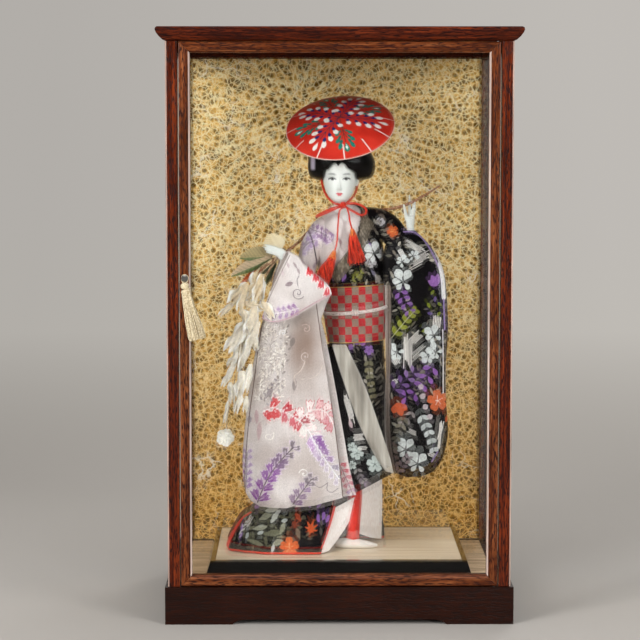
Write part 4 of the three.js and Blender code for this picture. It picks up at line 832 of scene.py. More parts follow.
def hanging(work, path, uppers, lowers, big, small, colors, rim, stem, lean=0.95, wide=0.6):
    """Wisteria flowers along a stem. uppers and lowers say where along it each side's flowers sit."""
    flowers = []
    for hand, places in ((1, uppers), (-1, lowers)):
        for t in places:
            at, ahead = between(path, [max(t - 0.02, 0), min(t + 0.02, 1)])
            way = math.atan2(*(ahead - at)[::-1]) + hand * lean
            size = big + (small - big) * t
            root = at + 0.9 * np.array((math.cos(way), math.sin(way)))
            flowers.append((*root, way, size, colors[min(int(t * len(colors)), len(colors) - 1)]))
    for x, y, way, size, tint in flowers:
        bloom(work, x, y, way, size + 1.1, size * wide + 1.5, rim, 0.35)
    for x, y, way, size, tint in flowers:
        bloom(work, x, y, way, size, size * wide, tint)
        end = (x + 0.5 * size * math.cos(way), y + 0.5 * size * math.sin(way))
        stroke(work, [(x, y), end], 0.5, rim, 0.3)
    stroke(work, smooth(path, 24), 1.2, stem, 0.5)


def even(count, start_at=0.06):
    """Even places along a stem, up to just before its tip."""
    return np.linspace(start_at, 0.97, count)


def pale_pattern(work):
    """The lace of fine leaves first, then the sprays over it, and single leaves and scrolls last."""
    lace = np.random.default_rng(5)
    for k in range(1150):
        px = lace.uniform(250, 289)
        py = lace.uniform(322, 402)
        if px < 261 - (py - 322) * 0.1 or px > 288 - abs(py - 352) * 0.16:
            continue
        swirl = 1.4 + 2.0 * math.sin(0.23 * px + 0.12 * py) + 1.2 * math.cos(0.2 * py - 0.1 * px)
        petal(work, *seen(px, py, Y_PALE), swirl + lace.uniform(-0.3, 0.3), lace.uniform(3, 6.5),
              lace.uniform(0.7, 1.15), ["fbf5ec", "f1e9df", "e6dbd0", "9c8f88", "fdf9f2", "b9aca4"][k % 6],
              0.1)
    for k in range(14):
        t = k / 13
        px, py = 287 - 22 * t + 9 * math.sin(math.pi * t), 328 + 74 * t
        petal(work, *seen(px, py, Y_PALE), (1.0, 2.6)[k % 2] - 0.9 * t, 4.6, 2.3,
              ["8f8581", "7c716d"][k % 2], 0.3)
    main = trace(Y_PALE, (262, 412), (273, 408), (283, 411.5), (293, 416.5), (300, 421.5), (306, 428),
                 (312, 436))
    hanging(work, main, (0.16, 0.34, 0.52, 0.68), (0.04, 0.2, 0.66), 11.5, 10.5,
            ["d32a33", "c42436", "aa2034"], "fbeeec", "ffffff", wide=0.8)
    hanging(work, main, (0.86, 0.98), (0.36, 0.5, 0.84), 12.0, 9.5, ["9f8287", "cf5a66", "f4eeea"],
            "f0cfd0", "ffffff")
    hanging(work, trace(Y_PALE, (300, 420), (310.5, 411), (319, 410), (327, 414), (333, 424)), even(6),
            even(6, 0.15), 11.0, 9.5, ["f3e7e4", "e8b9bb", "f0dbd9", "d99aa0"], "bd3c4a", "f8eeec",
            wide=0.66)
    hanging(work, trace(Y_PALE, (311, 436), (315.5, 444), (319.6, 451.3), (328, 464), (338.7, 479)),
            even(7), (), 11.5, 8.5, ["8d57a0", "9464a6", "9a74a6", "968a9e"], "f3e9f3", "ffffff", 0.8, 0.56)
    hanging(work, trace(Y_PALE, (311, 436), (315.5, 444), (319.6, 451.3), (328, 464), (338.7, 479)), (),
            even(10, 0.03), 9.5, 8.5, ["c39bcb", "cdb9d2", "b59cbd", "c9bccb"], "fbf5fb", "ffffff", 0.8,
            0.42)
    hanging(work, trace(Y_PALE, (257.4, 503), (264.9, 484), (273.2, 470), (281.5, 460), (294, 447)),
            even(8), even(8), 12.5, 7.5, ["8a4f95", "9058a0", "7f6484", "746870"], "ddcddd", "6a5d63", 0.75,
            0.62)
    hanging(work, trace(Y_PALE, (293, 505), (303, 490.5), (311.5, 479)), even(5), even(5), 9.5, 6.5,
            ["8a6f8e", "9678a0", "7c7078"], "d9cdd4", "6a5f63", 0.8, 0.62)
    hanging(work, trace(Y_PALE, (245.5, 490), (246.5, 472), (247, 453)), even(6), even(6), 7.5, 5.5,
            ["9a72ae", "a88fb4"], "d5c4d4", "a093a0", 0.8, 0.5)
    leaves_seen = [(257, 425, 16, 4.6, 1.62, "c2a6a7"), (258.5, 441, 20, 5.4, 1.5, "c7adad"),
                   (254.5, 423, 9, 4, 2.3, "cdb9b8"), (266.5, 397, 11, 5.2, 1.0, "a4989a"),
                   (249.5, 424, 8, 5, 1.6, "9c929a"), (291, 348, 11, 5.4, 1.3, "8e837e"),
                   (294, 392, 14, 5, 1.5, "9a8f8c"), (346, 458, 9, 5, 0.5, "8f8781"),
                   (346, 462, 9, 4, 0.2, "a09893"), (286, 285.5, 8, 4.4, 0.35, "8d7b80"),
                   (300, 434, 9, 5.5, 1.1, "f6f1ec")]
    for px, py, length, width, turn, tint in leaves_seen:
        petal(work, *seen(px, py, Y_PALE), turn, length, width, tint, 0.3, 1.2)
    curls = [(268.2, 435.6, 6.4, 1.0, 0.6, 1.2, "fbf6ee"), (304, 473.5, 5.2, 1.3, 1.2, 1.3, "fbf8f4"),
             (298, 293, 6.8, 1.5, 2.6, 0.9, "837579"), (306, 329.5, 5.4, 1.3, 0.5, 1.1, "d9c3ba"),
             (305.5, 357, 5.2, 1.4, 2.0, 1.0, "d3c3ba"), (276, 325, 4.5, 1.4, 0.4, 1.1, "f7f0f0"),
             (283, 333, 3.6, 1.3, 1.7, 1.2, "fdfafa"), (341, 444, 5.4, 1.2, 0.4, 1.2, "f7f2ea"),
             (302, 262, 4.6, 1.3, 2.4, 0.9, "948488"), (264, 424, 4.6, 1.3, 2.0, 0.8, "bba8a8")]
    for px, py, r, turns, turn, width, tint in curls:
        scroll(work, *seen(px, py, Y_PALE), r, turns, tint, turn=turn, width=width)
    stem_lines = [(((305, 362), (301, 371), (294, 377), (296, 385)), 1.0, "d9c9be"),
                  (((323, 366), (318, 375), (308, 380), (300, 379)), 0.9, "dccfc4"),
                  (((314, 484), (320, 488), (328, 483)), 0.9, "8b8083"),
                  (((328, 483), (327, 490), (332, 493), (338, 489)), 0.9, "8b8083"),
                  (((264, 400), (272, 392), (279, 383)), 0.8, "8d8287"),
                  (((298, 285), (297, 279), (300, 275)), 0.8, "837579")]
    for route, width, tint in stem_lines:
        stroke(work, smooth(trace(Y_PALE, *route), 14), width, tint, 0.3)
    for k in range(5):
        petal(work, *seen(263 + 3.6 * k, 400 - 4.6 * k, Y_PALE), 2.4, 5.0, 2.4, "8f858b", 0.3)
        petal(work, *seen(266 + 3.6 * k, 403 - 4.6 * k, Y_PALE), -0.7, 4.6, 2.2, "a0969a", 0.3)


def elbow_pattern(work):
    """The motifs of the fold at the elbow, which go on from the ones below it."""
    edge = trace(Y_ELBOW, (303, 258), (313, 267), (321, 276), (330, 289))
    hanging(work, edge, even(7), (), 9.0, 8.0, ["f6ebe8", "f3e3e0"], "d8404a", "ffffff", 0.9, 0.5)
    hanging(work, edge, (), (0.25, 0.5, 0.74, 0.94), 12.5, 10.0, ["da3038", "d23340"], "fbf1ef", "ffffff",
            0.8, 0.58)
    stem_lines = [(((287, 254), (279, 270), (270, 290)), 3.2, "85786f"),
                  (((284, 254), (277, 268), (269, 286)), 0.9, "efe6e0"),
                  (((290, 255), (282, 271), (272, 292), (265, 308)), 0.9, "8d7f78")]
    for route, wide, tint in stem_lines:
        stroke(work, smooth(trace(Y_ELBOW, *route), 12), wide, tint)
    for k in range(11):
        tint = ["9a74a0", "b9a2b8", "8a7a6c"][k % 3]
        petal(work, *seen(264 + 3.0 * k, 318 - 0.0055 * (k * 3.0) ** 2, Y_ELBOW),
              (2.3, 0.9)[k % 2] - 0.03 * k, 6.5 - 0.2 * k, 2.7, tint, 0.15)
    hanging(work, trace(Y_ELBOW, (299, 308), (285, 312), (270, 314)), even(6), even(6, 0.1), 6.5, 6.0,
            ["9a6aa0", "a98ab0", "8d7f86"], "dccbd8", "efe6ea", wide=0.5)
    stroke(work, smooth(trace(Y_ELBOW, (262, 319), (275, 321.5), (290, 317), (308, 306.5), (330, 295)), 20),
           1.6, "c9a7ae", 0.2)
    scroll(work, *seen(298, 293, Y_ELBOW), 6.8, 1.5, "837579", turn=2.6, width=0.9)
    stroke(work, smooth(trace(Y_ELBOW, (298, 286), (297, 280), (299, 276)), 8), 0.8, "837579")
    petal(work, *seen(285, 285.5, Y_ELBOW), 0.35, 9, 4.6, "8d7b80", 0.3)
    small_leaves = [(293, 262, -1.0, 8), (297, 268, -1.1, 7), (301, 260, -0.8, 8), (289, 268, 1.9, 6),
                    (283, 276, 1.7, 5)]
    for px, py, turn, size in small_leaves:
        petal(work, *seen(px, py, Y_ELBOW), turn, size, 2.6, "b3a1a3", 0.25)


def back_pattern(work, left, right, low, high, seed):
    """Sprays and scrolls in rows, for the cloth that the picture doesn't show."""
    dice = np.random.default_rng(seed)
    row_step, spray_step = 46, 42
    for z in np.arange(low + 20, high, row_step):
        for x in np.arange(left + 14, right, spray_step):
            x0, z0 = x + dice.uniform(-6, 6), z + dice.uniform(-8, 8)
            lean = dice.uniform(0.7, 2.4)
            path = [(x0, z0), (x0 + 13 * math.cos(lean), z0 + 13 * math.sin(lean)),
                    (x0 + 26 * math.cos(lean + 0.3), z0 + 26 * math.sin(lean + 0.3))]
            tints = [["cf2f3c", "a9757f"], ["9261b4", "a58bb0"], ["dcc6ca", "f4ecec"]][dice.integers(3)]
            spray(work, path, 7, 6.5, 3.2, tints, rim="d5c3cb")
            scroll(work, x0 + 16, z0 - 6, 4.5, 1.2, "efe6e2", turn=lean * 3)


work = loom(pale_sleeve, turn_over=-260)
pale_pattern(work)
back_pattern(work, -270, -150, 40, 310, 11)
# Painted shade: dark lines along the sleeve's creases and along its edges stand in for the shadow in them.
crease_shadow_lines = [((287, 253), (282, 266), (277, 276), (272.5, 284)),
                ((316, 302), (322, 345), (328, 380), (334, 420), (339, 460), (343, 498)),
                ((262.5, 322), (258, 350), (253.5, 385), (250, 410), (247, 440), (244.5, 480), (246, 500))]
for route in crease_shadow_lines:
    stroke(work, smooth(trace(Y_PALE, *route), 24), 1.0, "77645e", 0.0)
weave_in(work, pale_sleeve)
# Painted shade: in a soft patch below the elbow the pale sleeve's ground darkens towards brown.
flat = work["at"]
(x0, z0), (x1, z1) = trace(Y_PALE, (304, 346), (304, 398))
shade_falloff = ((flat[:, 0] - x0) / 19) ** 2 + ((flat[:, 1] - z0) / abs(z1 - z0) / 0.95) ** 2
keep(pale_sleeve, "hollow_and_painted_shade", np.where(work["behind"], 0, 0.8 * np.exp(-shade_falloff**1.2)))
work = loom(elbow_fold)
elbow_pattern(work)
weave_in(work, elbow_fold)
work = loom(sleeve_lap, turn_over=-160)
hanging(work, trace(Y_BACK_LAYER, (339, 463), (344, 474), (349, 485), (354, 497)), even(6), even(6), 7.0, 5.5,
        ["c4505e", "c0707a", "a98fb4"], "e6c8cc", "a08088")
for px, py in ((334, 395), (337, 420), (326, 345), (343, 440), (331, 372)):
    scroll(work, *seen(px, py, Y_BACK_LAYER), 4.2, 1.2, "efe6e4", turn=px)
back_pattern(work, -190, -90, 50, 250, 12)
weave_in(work, sleeve_lap)
print("pale sleeve woven")

# %% [markdown]
# The black brocade is crowded: silver-white blossoms and leaves, purple wisteria, orange maple
# leaves and flowers, olive sprays, and bands of brushed silver foil.

# %% Motifs of the black brocade
def foil(work, x, z, turn, length, width, count=7):
    """A patch of brushed silver: close parallel strokes of uneven length."""
    dice = np.random.default_rng(int(abs(x * 7 + z)))
    c, s = math.cos(turn), math.sin(turn)
    for k in range(count):
        side = (k / (count - 1) - 0.5) * width
        a, b = -length / 2 + dice.uniform(0, length * 0.25), length / 2 - dice.uniform(0, length * 0.25)
        start_at = (x + a * c - side * s, z + a * s + side * c)
        stroke(work, [start_at, (x + b * c - side * s, z + b * s + side * c)], width / count * 0.75,
               "f2eee8", 0.55)


def lily(work, x, y, radius, color, heart="2b2a2b", turn=0.0, metal=0.35):
    """A silver flower of two large petals over three small ones, with dark cloth between them."""
    flower_petals = [(1.95, 1.15, 0.78), (0.95, 1.1, 0.74), (2.95, 0.85, 0.55), (3.95, 0.75, 0.46),
                     (5.35, 0.75, 0.46)]
    for angle, long, wide in flower_petals:
        way = angle + turn
        petal(work, x + 0.1 * radius * math.cos(way), y + 0.1 * radius * math.sin(way), way, radius * long,
              radius * wide, color, metal, 1.7)
    for angle in (1.6, 2.5):
        way = angle + turn
        end = (x + 0.42 * radius * math.cos(way), y + 0.42 * radius * math.sin(way))
        stroke(work, [(x, y), end], 0.7, heart)


def thicket(work, left, right, low, high, seed, colors=("6a665b", "8a8578", "57534a", "a09b8e", "756c63")):
    """Dull silver leaves in every direction, under the brighter motifs."""
    dice = np.random.default_rng(seed)
    step = 6.5
    for z in np.arange(low, high, step):
        for x in np.arange(left, right, step):
            x0, z0 = x + dice.uniform(-3, 3), z + dice.uniform(-3, 3)
            if dice.uniform() < 0.25:
                continue
            petal(work, x0, z0, dice.uniform(0, TAU), dice.uniform(5, 9), dice.uniform(1.6, 3.2),
                  colors[dice.integers(len(colors))], 0.6)


Y_DARK = -19


def dark_sleeve_pattern(work):
    """Leaves under everything, then foil, stems, petals, sprays, silver flowers and orange ones."""
    thickets = [((386, 402, 400, 476), 31), ((386, 398, 238, 300), 32), ((398, 446, 236, 262), 33),
                ((430, 450, 296, 345), 34), ((386, 412, 300, 345), 35), ((415, 450, 345, 400), 36)]
    for box, seed in thickets:
        left, right, top, bottom = box
        (x0, z0), (x1, z1) = seen(left, bottom, Y_DARK), seen(right, top, Y_DARK)
        thicket(work, x0, x1, z0, z1, seed)
    foil_patches = [(415, 247, -0.5, 24, 5, 5), (421, 256, 0.5, 22, 2.4, 3), (419, 261, 0.5, 26, 2.4, 3),
                    (416, 266, 0.5, 18, 2.0, 2), (402, 254, -1.1, 12, 4, 4), (408, 351, 1.55, 38, 8, 6),
                    (416, 338, 0.75, 15, 7, 5), (419, 350, 0.7, 17, 3.2, 3), (416, 357, 0.7, 14, 3.2, 3),
                    (437, 322, 1.5, 14, 7, 5), (396, 362, -0.8, 9, 6, 5), (441, 430, 1.35, 24, 2.6, 2),
                    (412, 432, -0.5, 12, 4, 4), (432, 455, -0.4, 10, 4, 4), (395, 382, 0.5, 9, 4, 4)]
    for px, py, turn, length, width, count in foil_patches:
        foil(work, *seen(px, py, Y_DARK), turn, length, width, count)
    stem_lines = [(((404, 232), (414, 232.5), (424, 240), (433, 254), (439, 268)), 1.6, "a58cc2"),
                  (((406, 230), (417, 231), (427, 240), (436, 254), (442, 270)), 1.2, "f6f4f6"),
                  (((440, 264), (443, 280), (444, 298)), 4.4, "f6f5f6"),
                  (((444, 300), (445, 330)), 1.8, "9b86b8"),
                  (((443, 330), (443.5, 360), (443.5, 394)), 1.1, "f2eef2"),
                  (((441, 424), (440, 436), (439, 448)), 3.0, "efebe2"),
                  (((438, 452), (432, 462)), 1.6, "8e74ac")]
    for route, wide, tint in stem_lines:
        stroke(work, smooth(trace(Y_DARK, *route), 16), wide, tint, 0.2)
    for turn, length, width in ((2.6, 11, 6), (1.5, 13, 6), (2.05, 13, 6.5)):
        petal(work, *seen(437, 286, Y_DARK), turn, length, width, "9a6bb2")
    round_petals = [(431, 295), (435, 302), (430, 308), (442, 306), (433, 314), (427, 330), (441, 312)]
    for k, (px, py) in enumerate(round_petals):
        petal(work, *seen(px, py, Y_DARK), 1.0 + 0.5 * k, 6, 3.4, ["7c8a2c", "6d5796", "8f9a34"][k % 3])
    fern(work, trace(Y_DARK, (392, 338), (400, 328), (408, 318), (415, 311)), 5, 9.5, ["8a9130", "99a03c"],
         "d3d2a8", width=0.5)
    spray(work, trace(Y_DARK, (434, 364), (429, 374), (423, 384), (413, 395), (403, 397)), 5, 9.5, 8.0,
          ["9a68ba", "8a5aa8"], stem="3a3238")
    spray(work, trace(Y_DARK, (392, 392), (400, 385), (408, 378), (415, 372)), 4, 9.0, 8.0,
          ["6d4f86", "9272ac"], stem="3a3238")
    spray(work, trace(Y_DARK, (399, 290), (404, 300), (410, 312)), 4, 8.0, 6.5, ["8f63ad"], stem="2c262b")
    silver_flowers = [(403, 282, 12, 0.1), (434, 336, 10, 0.5), (436, 352, 9, 1.0), (429, 356, 8, 2.0),
                      (397, 353, 9.5, 1.2), (406, 450, 11, 0.1), (418, 465, 11.5, 0.0), (402, 262, 7, -0.7),
                      (413, 256, 6, -1.2)]
    for px, py, r, turn in silver_flowers:
        lily(work, *seen(px, py, Y_DARK), r, "dde3e1", turn=turn, metal=0.15)
    fern(work, trace(Y_DARK, (420, 412), (425, 424), (430, 436), (434, 450)), 5, 9.5, ["d5dbda", "bcc3c2"],
         "8c9290", width=0.5)
    fern(work, trace(Y_DARK, (414, 408), (409, 418), (402, 424)), 3, 8, ["a39a98", "8d8486"], "55504e")
    for k, (px, py) in enumerate(((420, 390), (421, 399), (423, 409), (427, 418))):
        petal(work, *seen(px, py, Y_DARK), 1.2 - 0.3 * k, 6.5, 6.0, "cdbfc4")
    blossom(work, *seen(438, 401, Y_DARK), 12, "d0693f", heart="f6ece0", turn=0.8)
    for turn, length in ((-1.2, 15), (-0.6, 13), (-1.9, 12)):
        petal(work, *seen(397, 403, Y_DARK), turn, length, 7, "c65a34", heavy=1.6)
    petal(work, *seen(446, 423, Y_DARK), 1.2, 11, 4, "c4562e")
    fern(work, trace(Y_DARK, (404, 414), (402, 424), (398, 434), (394, 448)), 5, 9,
         ["6e6a5c", "8a8474", "5b564c"], "4b473e")
    fern(work, trace(Y_DARK, (396, 474), (402, 466), (408, 458)), 4, 9, ["8b7a80", "7d6f75", "9a8c8c"],
         "4b4446")
    fern(work, trace(Y_DARK, (392, 440), (393, 452), (396, 464)), 4, 8, ["7a6660", "8f7c74"], "4b4446")


def crowd(work, left, right, low, high, seed):
    """The same kinds of motif all over, on a jittered grid, for the cloth that the picture hides."""
    dice = np.random.default_rng(seed)
    step = 15.0
    for row, z in enumerate(np.arange(low, high, step)):
        for x in np.arange(left + (row % 2) * step / 2, right, step):
            x0, z0, turn = x + dice.uniform(-2, 2), z + dice.uniform(-2, 2), dice.uniform(0, TAU)
            kind = dice.integers(7)
            path = [(x0 + k * math.cos(turn + 0.06 * k), z0 + k * math.sin(turn + 0.06 * k))
                    for k in (-7, 0, 7)]
            if kind == 0:
                lily(work, x0, z0, 7.0, "bfc4c2", turn=turn)
            elif kind == 1:
                maple(work, x0, z0, 8, "c4562e", turn=turn)
            elif kind == 2:
                spray(work, path, 4, 5.5, 3.5, ["9a68ba", "8a5aa8"], stem="3a3238")
            elif kind == 3:
                fern(work, path, 4, 6.5, ["7f8230", "6f7038"], "8d8c66")
            elif kind == 4:
                foil(work, x0, z0, turn, 13, 5, 5)
            elif kind == 5:
                fern(work, path, 4, 6.5, ["b9c0bf", "8f9694"], "6c716f")
            else:
                blossom(work, x0, z0, 6.0, "cf6335", heart="f0d8b8", turn=turn)


work = loom(dark_sleeve, turn_over=330)
thicket(work, 205, 290, 80, 335, 51)
dark_sleeve_pattern(work)
crowd(work, 205, 290, 80, 335, 21)
turned = trace(Y_DARK, (391, 286), (391, 340), (390, 400), (391, 440), (396, 472))
limit = np.interp(work["at"][:, 1], [z for _, z in turned[::-1]], [x for x, _ in turned[::-1]])
inset = work["at"][:, 0] - limit
strip = np.flatnonzero(~work["behind"] & (inset < 1) & (work["at"][:, 1] < turned[0][1]))
inlay(work, strip, inset[strip], "83766d")
for aside, tint in ((-5.2, "d9d2cc"), (-2.4, "5f544d"), (0.2, "2b2523")):
    stroke(work, [(x + aside, z) for x, z in smooth(turned, 24)], 0.9, tint)
weave_in(work, dark_sleeve)
print("dark sleeve woven")

# %% [markdown]
# The robe's upper part wraps a straw body: a trunk and two arms in one skin, pale on her right and
# black on her left, with the black lapped over the pale. Separate skins for trunk and arms are
# fused by a voxel remesh and eased, which leaves the soft creases where an arm meets the trunk.

# %% The bodice
trunk = [(18.5, -1, 222, 29, 22), (16.5, 0, 252, 31.5, 23), (15, 0, 275, 32.5, 24),
         (13.5, 0, 296, 35.5, 24.5), (11.5, 1, 316, 35.5, 23.5), (11, 2, 333, 33.5, 21),
         (11, 3, 345, 28, 18), (9, 4, 354, 19, 14.5), (6.5, 4, 360, 12, 11.5)]
right_arm = [(-4, 4, 340, 13, 12), (-17, 1, 334, 12, 12), (-27, -5, 319, 11, 11),
             (-31.5, -13, 302, 10.5, 10.5), (-33, -27, 288, 9, 9), (-30, -40, 277, 7.5, 7.5)]
left_arm = [(20, 5, 342, 14, 13), (36, 4, 343, 13.5, 13), (50, 1, 338.5, 13.5, 12), (62, -3, 326, 12.5, 11),
            (72, -6, 311, 10, 9), (78, -8, 300, 7, 7)]


def creases(angle, t):
    return 0.5 * np.sin(3 * angle + 9 * t) * np.sin(5 * t + 1) + 0.35 * np.sin(7 * angle - 14 * t)


def fuse(name, skins, voxel, rounds, material):
    """Overlapping skins become one closed skin with eased joins."""
    first = skins[0]
    put_join(skins)
    remesh = first.modifiers.new("fuse", "REMESH")
    remesh.mode, remesh.voxel_size = "VOXEL", voxel / 1000
    ease = first.modifiers.new("ease", "SMOOTH")
    ease.factor, ease.iterations = 0.5, rounds
    mesh = bpy.data.meshes.new_from_object(first.evaluated_get(bpy.context.evaluated_depsgraph_get()))
    first.modifiers.clear()
    first.data = mesh
    first.name = name
    mesh.materials.clear()
    mesh.materials.append(material)
    mesh.shade_smooth()
    return first


def put_join(skins):
    """Several mesh objects become the first one."""
    points, faces = [], []
    for made in skins:
        start_at = len(points)
        points += [v.co[:] for v in made.data.vertices]
        faces += [[start_at + k for k in face.vertices] for face in made.data.polygons]
    mesh = bpy.data.meshes.new(skins[0].name)
    mesh.from_pydata(points, [], faces)
    mesh.materials.append(skins[0].data.materials[0])
    mesh.shade_smooth()
    skins[0].data = mesh
    for made in skins[1:]:
        bpy.data.objects.remove(made)


bodice = fuse("bodice", [
    skin("trunk", loft(trunk, 96, 90, fold=creases), pale_silk),
    skin("right_arm", limb(right_arm, 60, 60, fold=creases), pale_silk),
    skin("left_arm", limb(left_arm, 60, 60, fold=creases), pale_silk)], 1.1, 8, pale_silk)
print("bodice faces:", len(bodice.data.polygons))

# %% [markdown]
# The robe's two halves are different cloths, so the fused skin is parted along the line where the
# black lapel laps over the pale one. Each half is a shell of its own, 1.2 mm thick, and the black
# one lies 0.9 mm higher. Its motifs are woven after that, each on its own side of the line.

# %% Splitting it into two cloths
lap_line = np.array([(24.5, 372), (24.4, 362), (22.5, 344), (19.5, 329), (4.4, 305), (-8, 287), (-24, 262),
                     (-24, 200)])


def dark_side(place):
    """How far a point is on the dark side of the lap, in millimetres; the back is split at x 6."""
    edge = np.interp(place[:, 2], lap_line[::-1, 1], lap_line[::-1, 0])
    return np.where(place[:, 1] < 4, place[:, 0] - edge, place[:, 0] - 6)


def keep_side(source, name, material, wanted):
    """A shell of the faces whose points are all wanted. The dark cloth lies over the pale one."""
    thickness, above = 1.2, 0.9
    mesh = source.data
    place = points_of(source)
    count = len(place)
    normal = np.zeros(3 * count)
    mesh.vertices.foreach_get("normal", normal)
    normal = normal.reshape(-1, 3)
    inside = wanted(place)
    faces = [list(f.vertices) for f in mesh.polygons if inside[list(f.vertices)].all()]
    used = np.unique([k for face in faces for k in face])
    index = np.full(count, -1)
    index[used] = np.arange(len(used))
    lift = above if name.startswith("dark") else 0.0
    outer = place[used] + normal[used] * lift
    inner = place[used] + normal[used] * (lift - thickness)
    faces = [[int(index[k]) for k in face] for face in faces]
    edges = {(a, b): None for face in faces for a, b in zip(face, face[1:] + face[:1])}
    rims = [(a, b) for a, b in edges if (b, a) not in edges]
    shift = len(used)
    closed = faces + [[k + shift for k in reversed(face)] for face in faces]
    closed += [[b, a, a + shift, b + shift] for a, b in rims]
    return put_mesh(name, np.concatenate([outer, inner]), closed, material)


pale_bodice = keep_side(bodice, "pale_bodice_silk", pale_silk, lambda p: (dark_side(p) < 3) & (p[:, 2] > 226))
dark_bodice = keep_side(bodice, "dark_bodice_silk", dark_silk, lambda p: (dark_side(p) > 0) & (p[:, 2] > 226))
bpy.data.objects.remove(bodice)

work = loom(pale_bodice, turn_over=-120)
hanging(work, trace(-20, (333, 241), (323, 234), (310, 229)), even(7), even(7), 8.0, 6.5,
        ["8e6c95", "8a688f", "9a8698"], "dccfd9", "7d6f78", 0.9, 0.5)
hanging(work, trace(-20, (318, 240), (309, 243), (303, 249)), even(4), even(4), 7.0, 6.0,
        ["a58cb2", "b09dba"], "dccfda", "8d7f88")
stem_lines = [(((332, 207), (325, 212), (333, 221), (341, 232), (346, 243)), 0.8, "8d7077"),
              (((326, 211), (320, 216), (330, 226), (338, 238), (342, 250)), 0.9, "a98f90"),
              (((320, 216), (315, 220), (327, 232), (334, 246), (337, 258)), 0.8, "b7a29f"),
              (((308, 231), (312, 240), (315, 252), (317, 264)), 1.4, "54474b"),
              (((349, 222), (353, 234), (352, 250)), 0.8, "9b8588")]
for route, wide, tint in stem_lines:
    stroke(work, smooth(trace(-20, *route), 18), wide, tint)
small_leaves = [(330, 222, 0.4), (338, 228, 0.9), (345, 232, 1.4), (327, 232, 0.2), (341, 245, 1.8),
                (350, 240, 1.2), (336, 217, 0.6)]
for px, py, turn in small_leaves:
    petal(work, *seen(px, py, -20), turn, 8, 3.2, "a88f92")
curls = [(319, 246, 4.2), (311, 252, 4.4), (318, 262, 3.6), (341, 222, 4.6), (331, 226, 4.0)]
for px, py, r in curls:
    scroll(work, *seen(px, py, -20), r, 1.3, "a594a0", turn=px, width=0.7)
for px, py in ((305, 246), (326, 222), (313, 268), (341, 235), (333, 258)):
    petal(work, *seen(px, py, -20), 1.2, 6, 2.6, "a99aa4", 0.3)
near = np.flatnonzero(~work["behind"])
flat = work["at"][near]
bottom = np.interp(flat[:, 0], (-7, 7.7, 17), (359, 342, 361))
inlay(work, near, (bottom - flat[:, 1]) * 0.7, "e9ece8")
back_pattern(work, -190, -110, 262, 350, 13)
weave_in(work, pale_bodice)

work = loom(dark_bodice, turn_over=170)
thicket(work, 0, 170, 262, 372, 52)
blossom(work, *seen(392.5, 231, -10), 6.5, "cf6335", heart="e8a060", turn=0.5)
for px, py, r in ((381, 222, 5), (371, 262, 6.5), (399, 248, 6), (384, 252, 5)):
    blossom(work, *seen(px, py, -20), r, "b5b2b4", heart="2b2a2b", turn=px)
leaf_lines = [((360, 275), (366, 268), (370, 258)), ((376, 236), (372, 246), (368, 256)),
              ((386, 212), (380, 220), (374, 230))]
for path in leaf_lines:
    fern(work, trace(-22, *path), 3, 6.0, ["6d6258", "8b857c"], "4c463f")
petals_seen = [(338, 266, 2.4, 9, 4.6, "9a86a6"), (344, 268, 1.0, 8, 5, "d0663a"),
               (348, 265, 2.0, 7, 4.6, "cf6e42"), (337, 276, 1.9, 10, 5, "8f63ad"),
               (342, 282, 1.2, 10, 4.6, "7d5a9c"), (350, 262, 0.7, 10, 5, "8a6aa8"),
               (352, 276, 0.5, 9, 5, "62602e"), (358, 281, 1.0, 8, 4, "6f6d3c"),
               (333, 282, 1.4, 7, 4, "8b7aa0"), (366, 252, 1.1, 10, 6, "9067b0"),
               (362, 262, 2.0, 8, 4, "8a7f78"), (371, 270, -0.9, 9, 3.4, "7a7486")]
for px, py, turn, length, width, tint in petals_seen:
    petal(work, *seen(px, py, -24), turn, length, width, tint, 0.0, 1.3)
lily(work, *seen(374.5, 254, -24), 11, "e2e6e4", turn=0.5, metal=0.1)
maple(work, *seen(345, 262, -24), 5.0, "cf7040", turn=1.1)
fern(work, trace(-24, (350, 281), (356, 278), (362, 272)), 3, 5, ["7f8230"], "8d8c66")
foil(work, *seen(392, 255, -18), 1.2, 16, 5, 5)
foil(work, *seen(378, 280, -22), 1.6, 10, 4, 4)
crowd(work, 105, 170, 262, 350, 22)
weave_in(work, dark_bodice)
print("bodice halves:", len(pale_bodice.data.vertices), len(dark_bodice.data.vertices))

# %% [markdown]
# Every piece says which CAD nodes it stands for and which body it moves with. The doll and the
# case are one body, so one short helper serves them all.

# %% Dressing the frame
def dress(piece, slot, *stands_for, body="case"):
    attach(piece, body)
    if stands_for:
        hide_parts(*stands_for)
    return piece


dress(pale_sleeve, "pale_brocade", "pale_sleeve")
dress(sleeve_lap, "pale_brocade")
dress(elbow_fold, "pale_brocade")
dress(dark_sleeve, "dark_brocade", "dark_sleeve")
dress(pale_bodice, "pale_brocade", "pale_bodice")
dress(dark_bodice, "dark_brocade", "dark_bodice")
print("dressed: the two sleeves, the lap, the fold at the elbow and the two bodice halves")

# %% [markdown]
# The collars are stitched bands: a pale one on her right, and a broad band of dull gold brocade on
# the left that crosses it. Each is a sheet whose edges keep a small distance from the trunk.

# %% Collars
def on_trunk(bearing, z, out):
    """A point at this bearing in degrees and this height, so far out from the trunk's skin."""
    rows = np.asarray(trunk, float)
    x, y, _, wide, deep = between(rows, np.interp(z, rows[:, 2], np.linspace(0, 1, len(rows))))[0]
    angle = math.radians(bearing)
    return x + (wide + out) * math.cos(angle), y + (deep + out) * math.sin(angle), z


def collar(name, inner, outer, thickness, material):
    """A band between two lines of bearing, height and distance from the trunk."""
    net = [(on_trunk(*a), on_trunk(*b)) for a, b in zip(inner, outer)]
    return cloth(name, net, 12, 90, thickness, material)


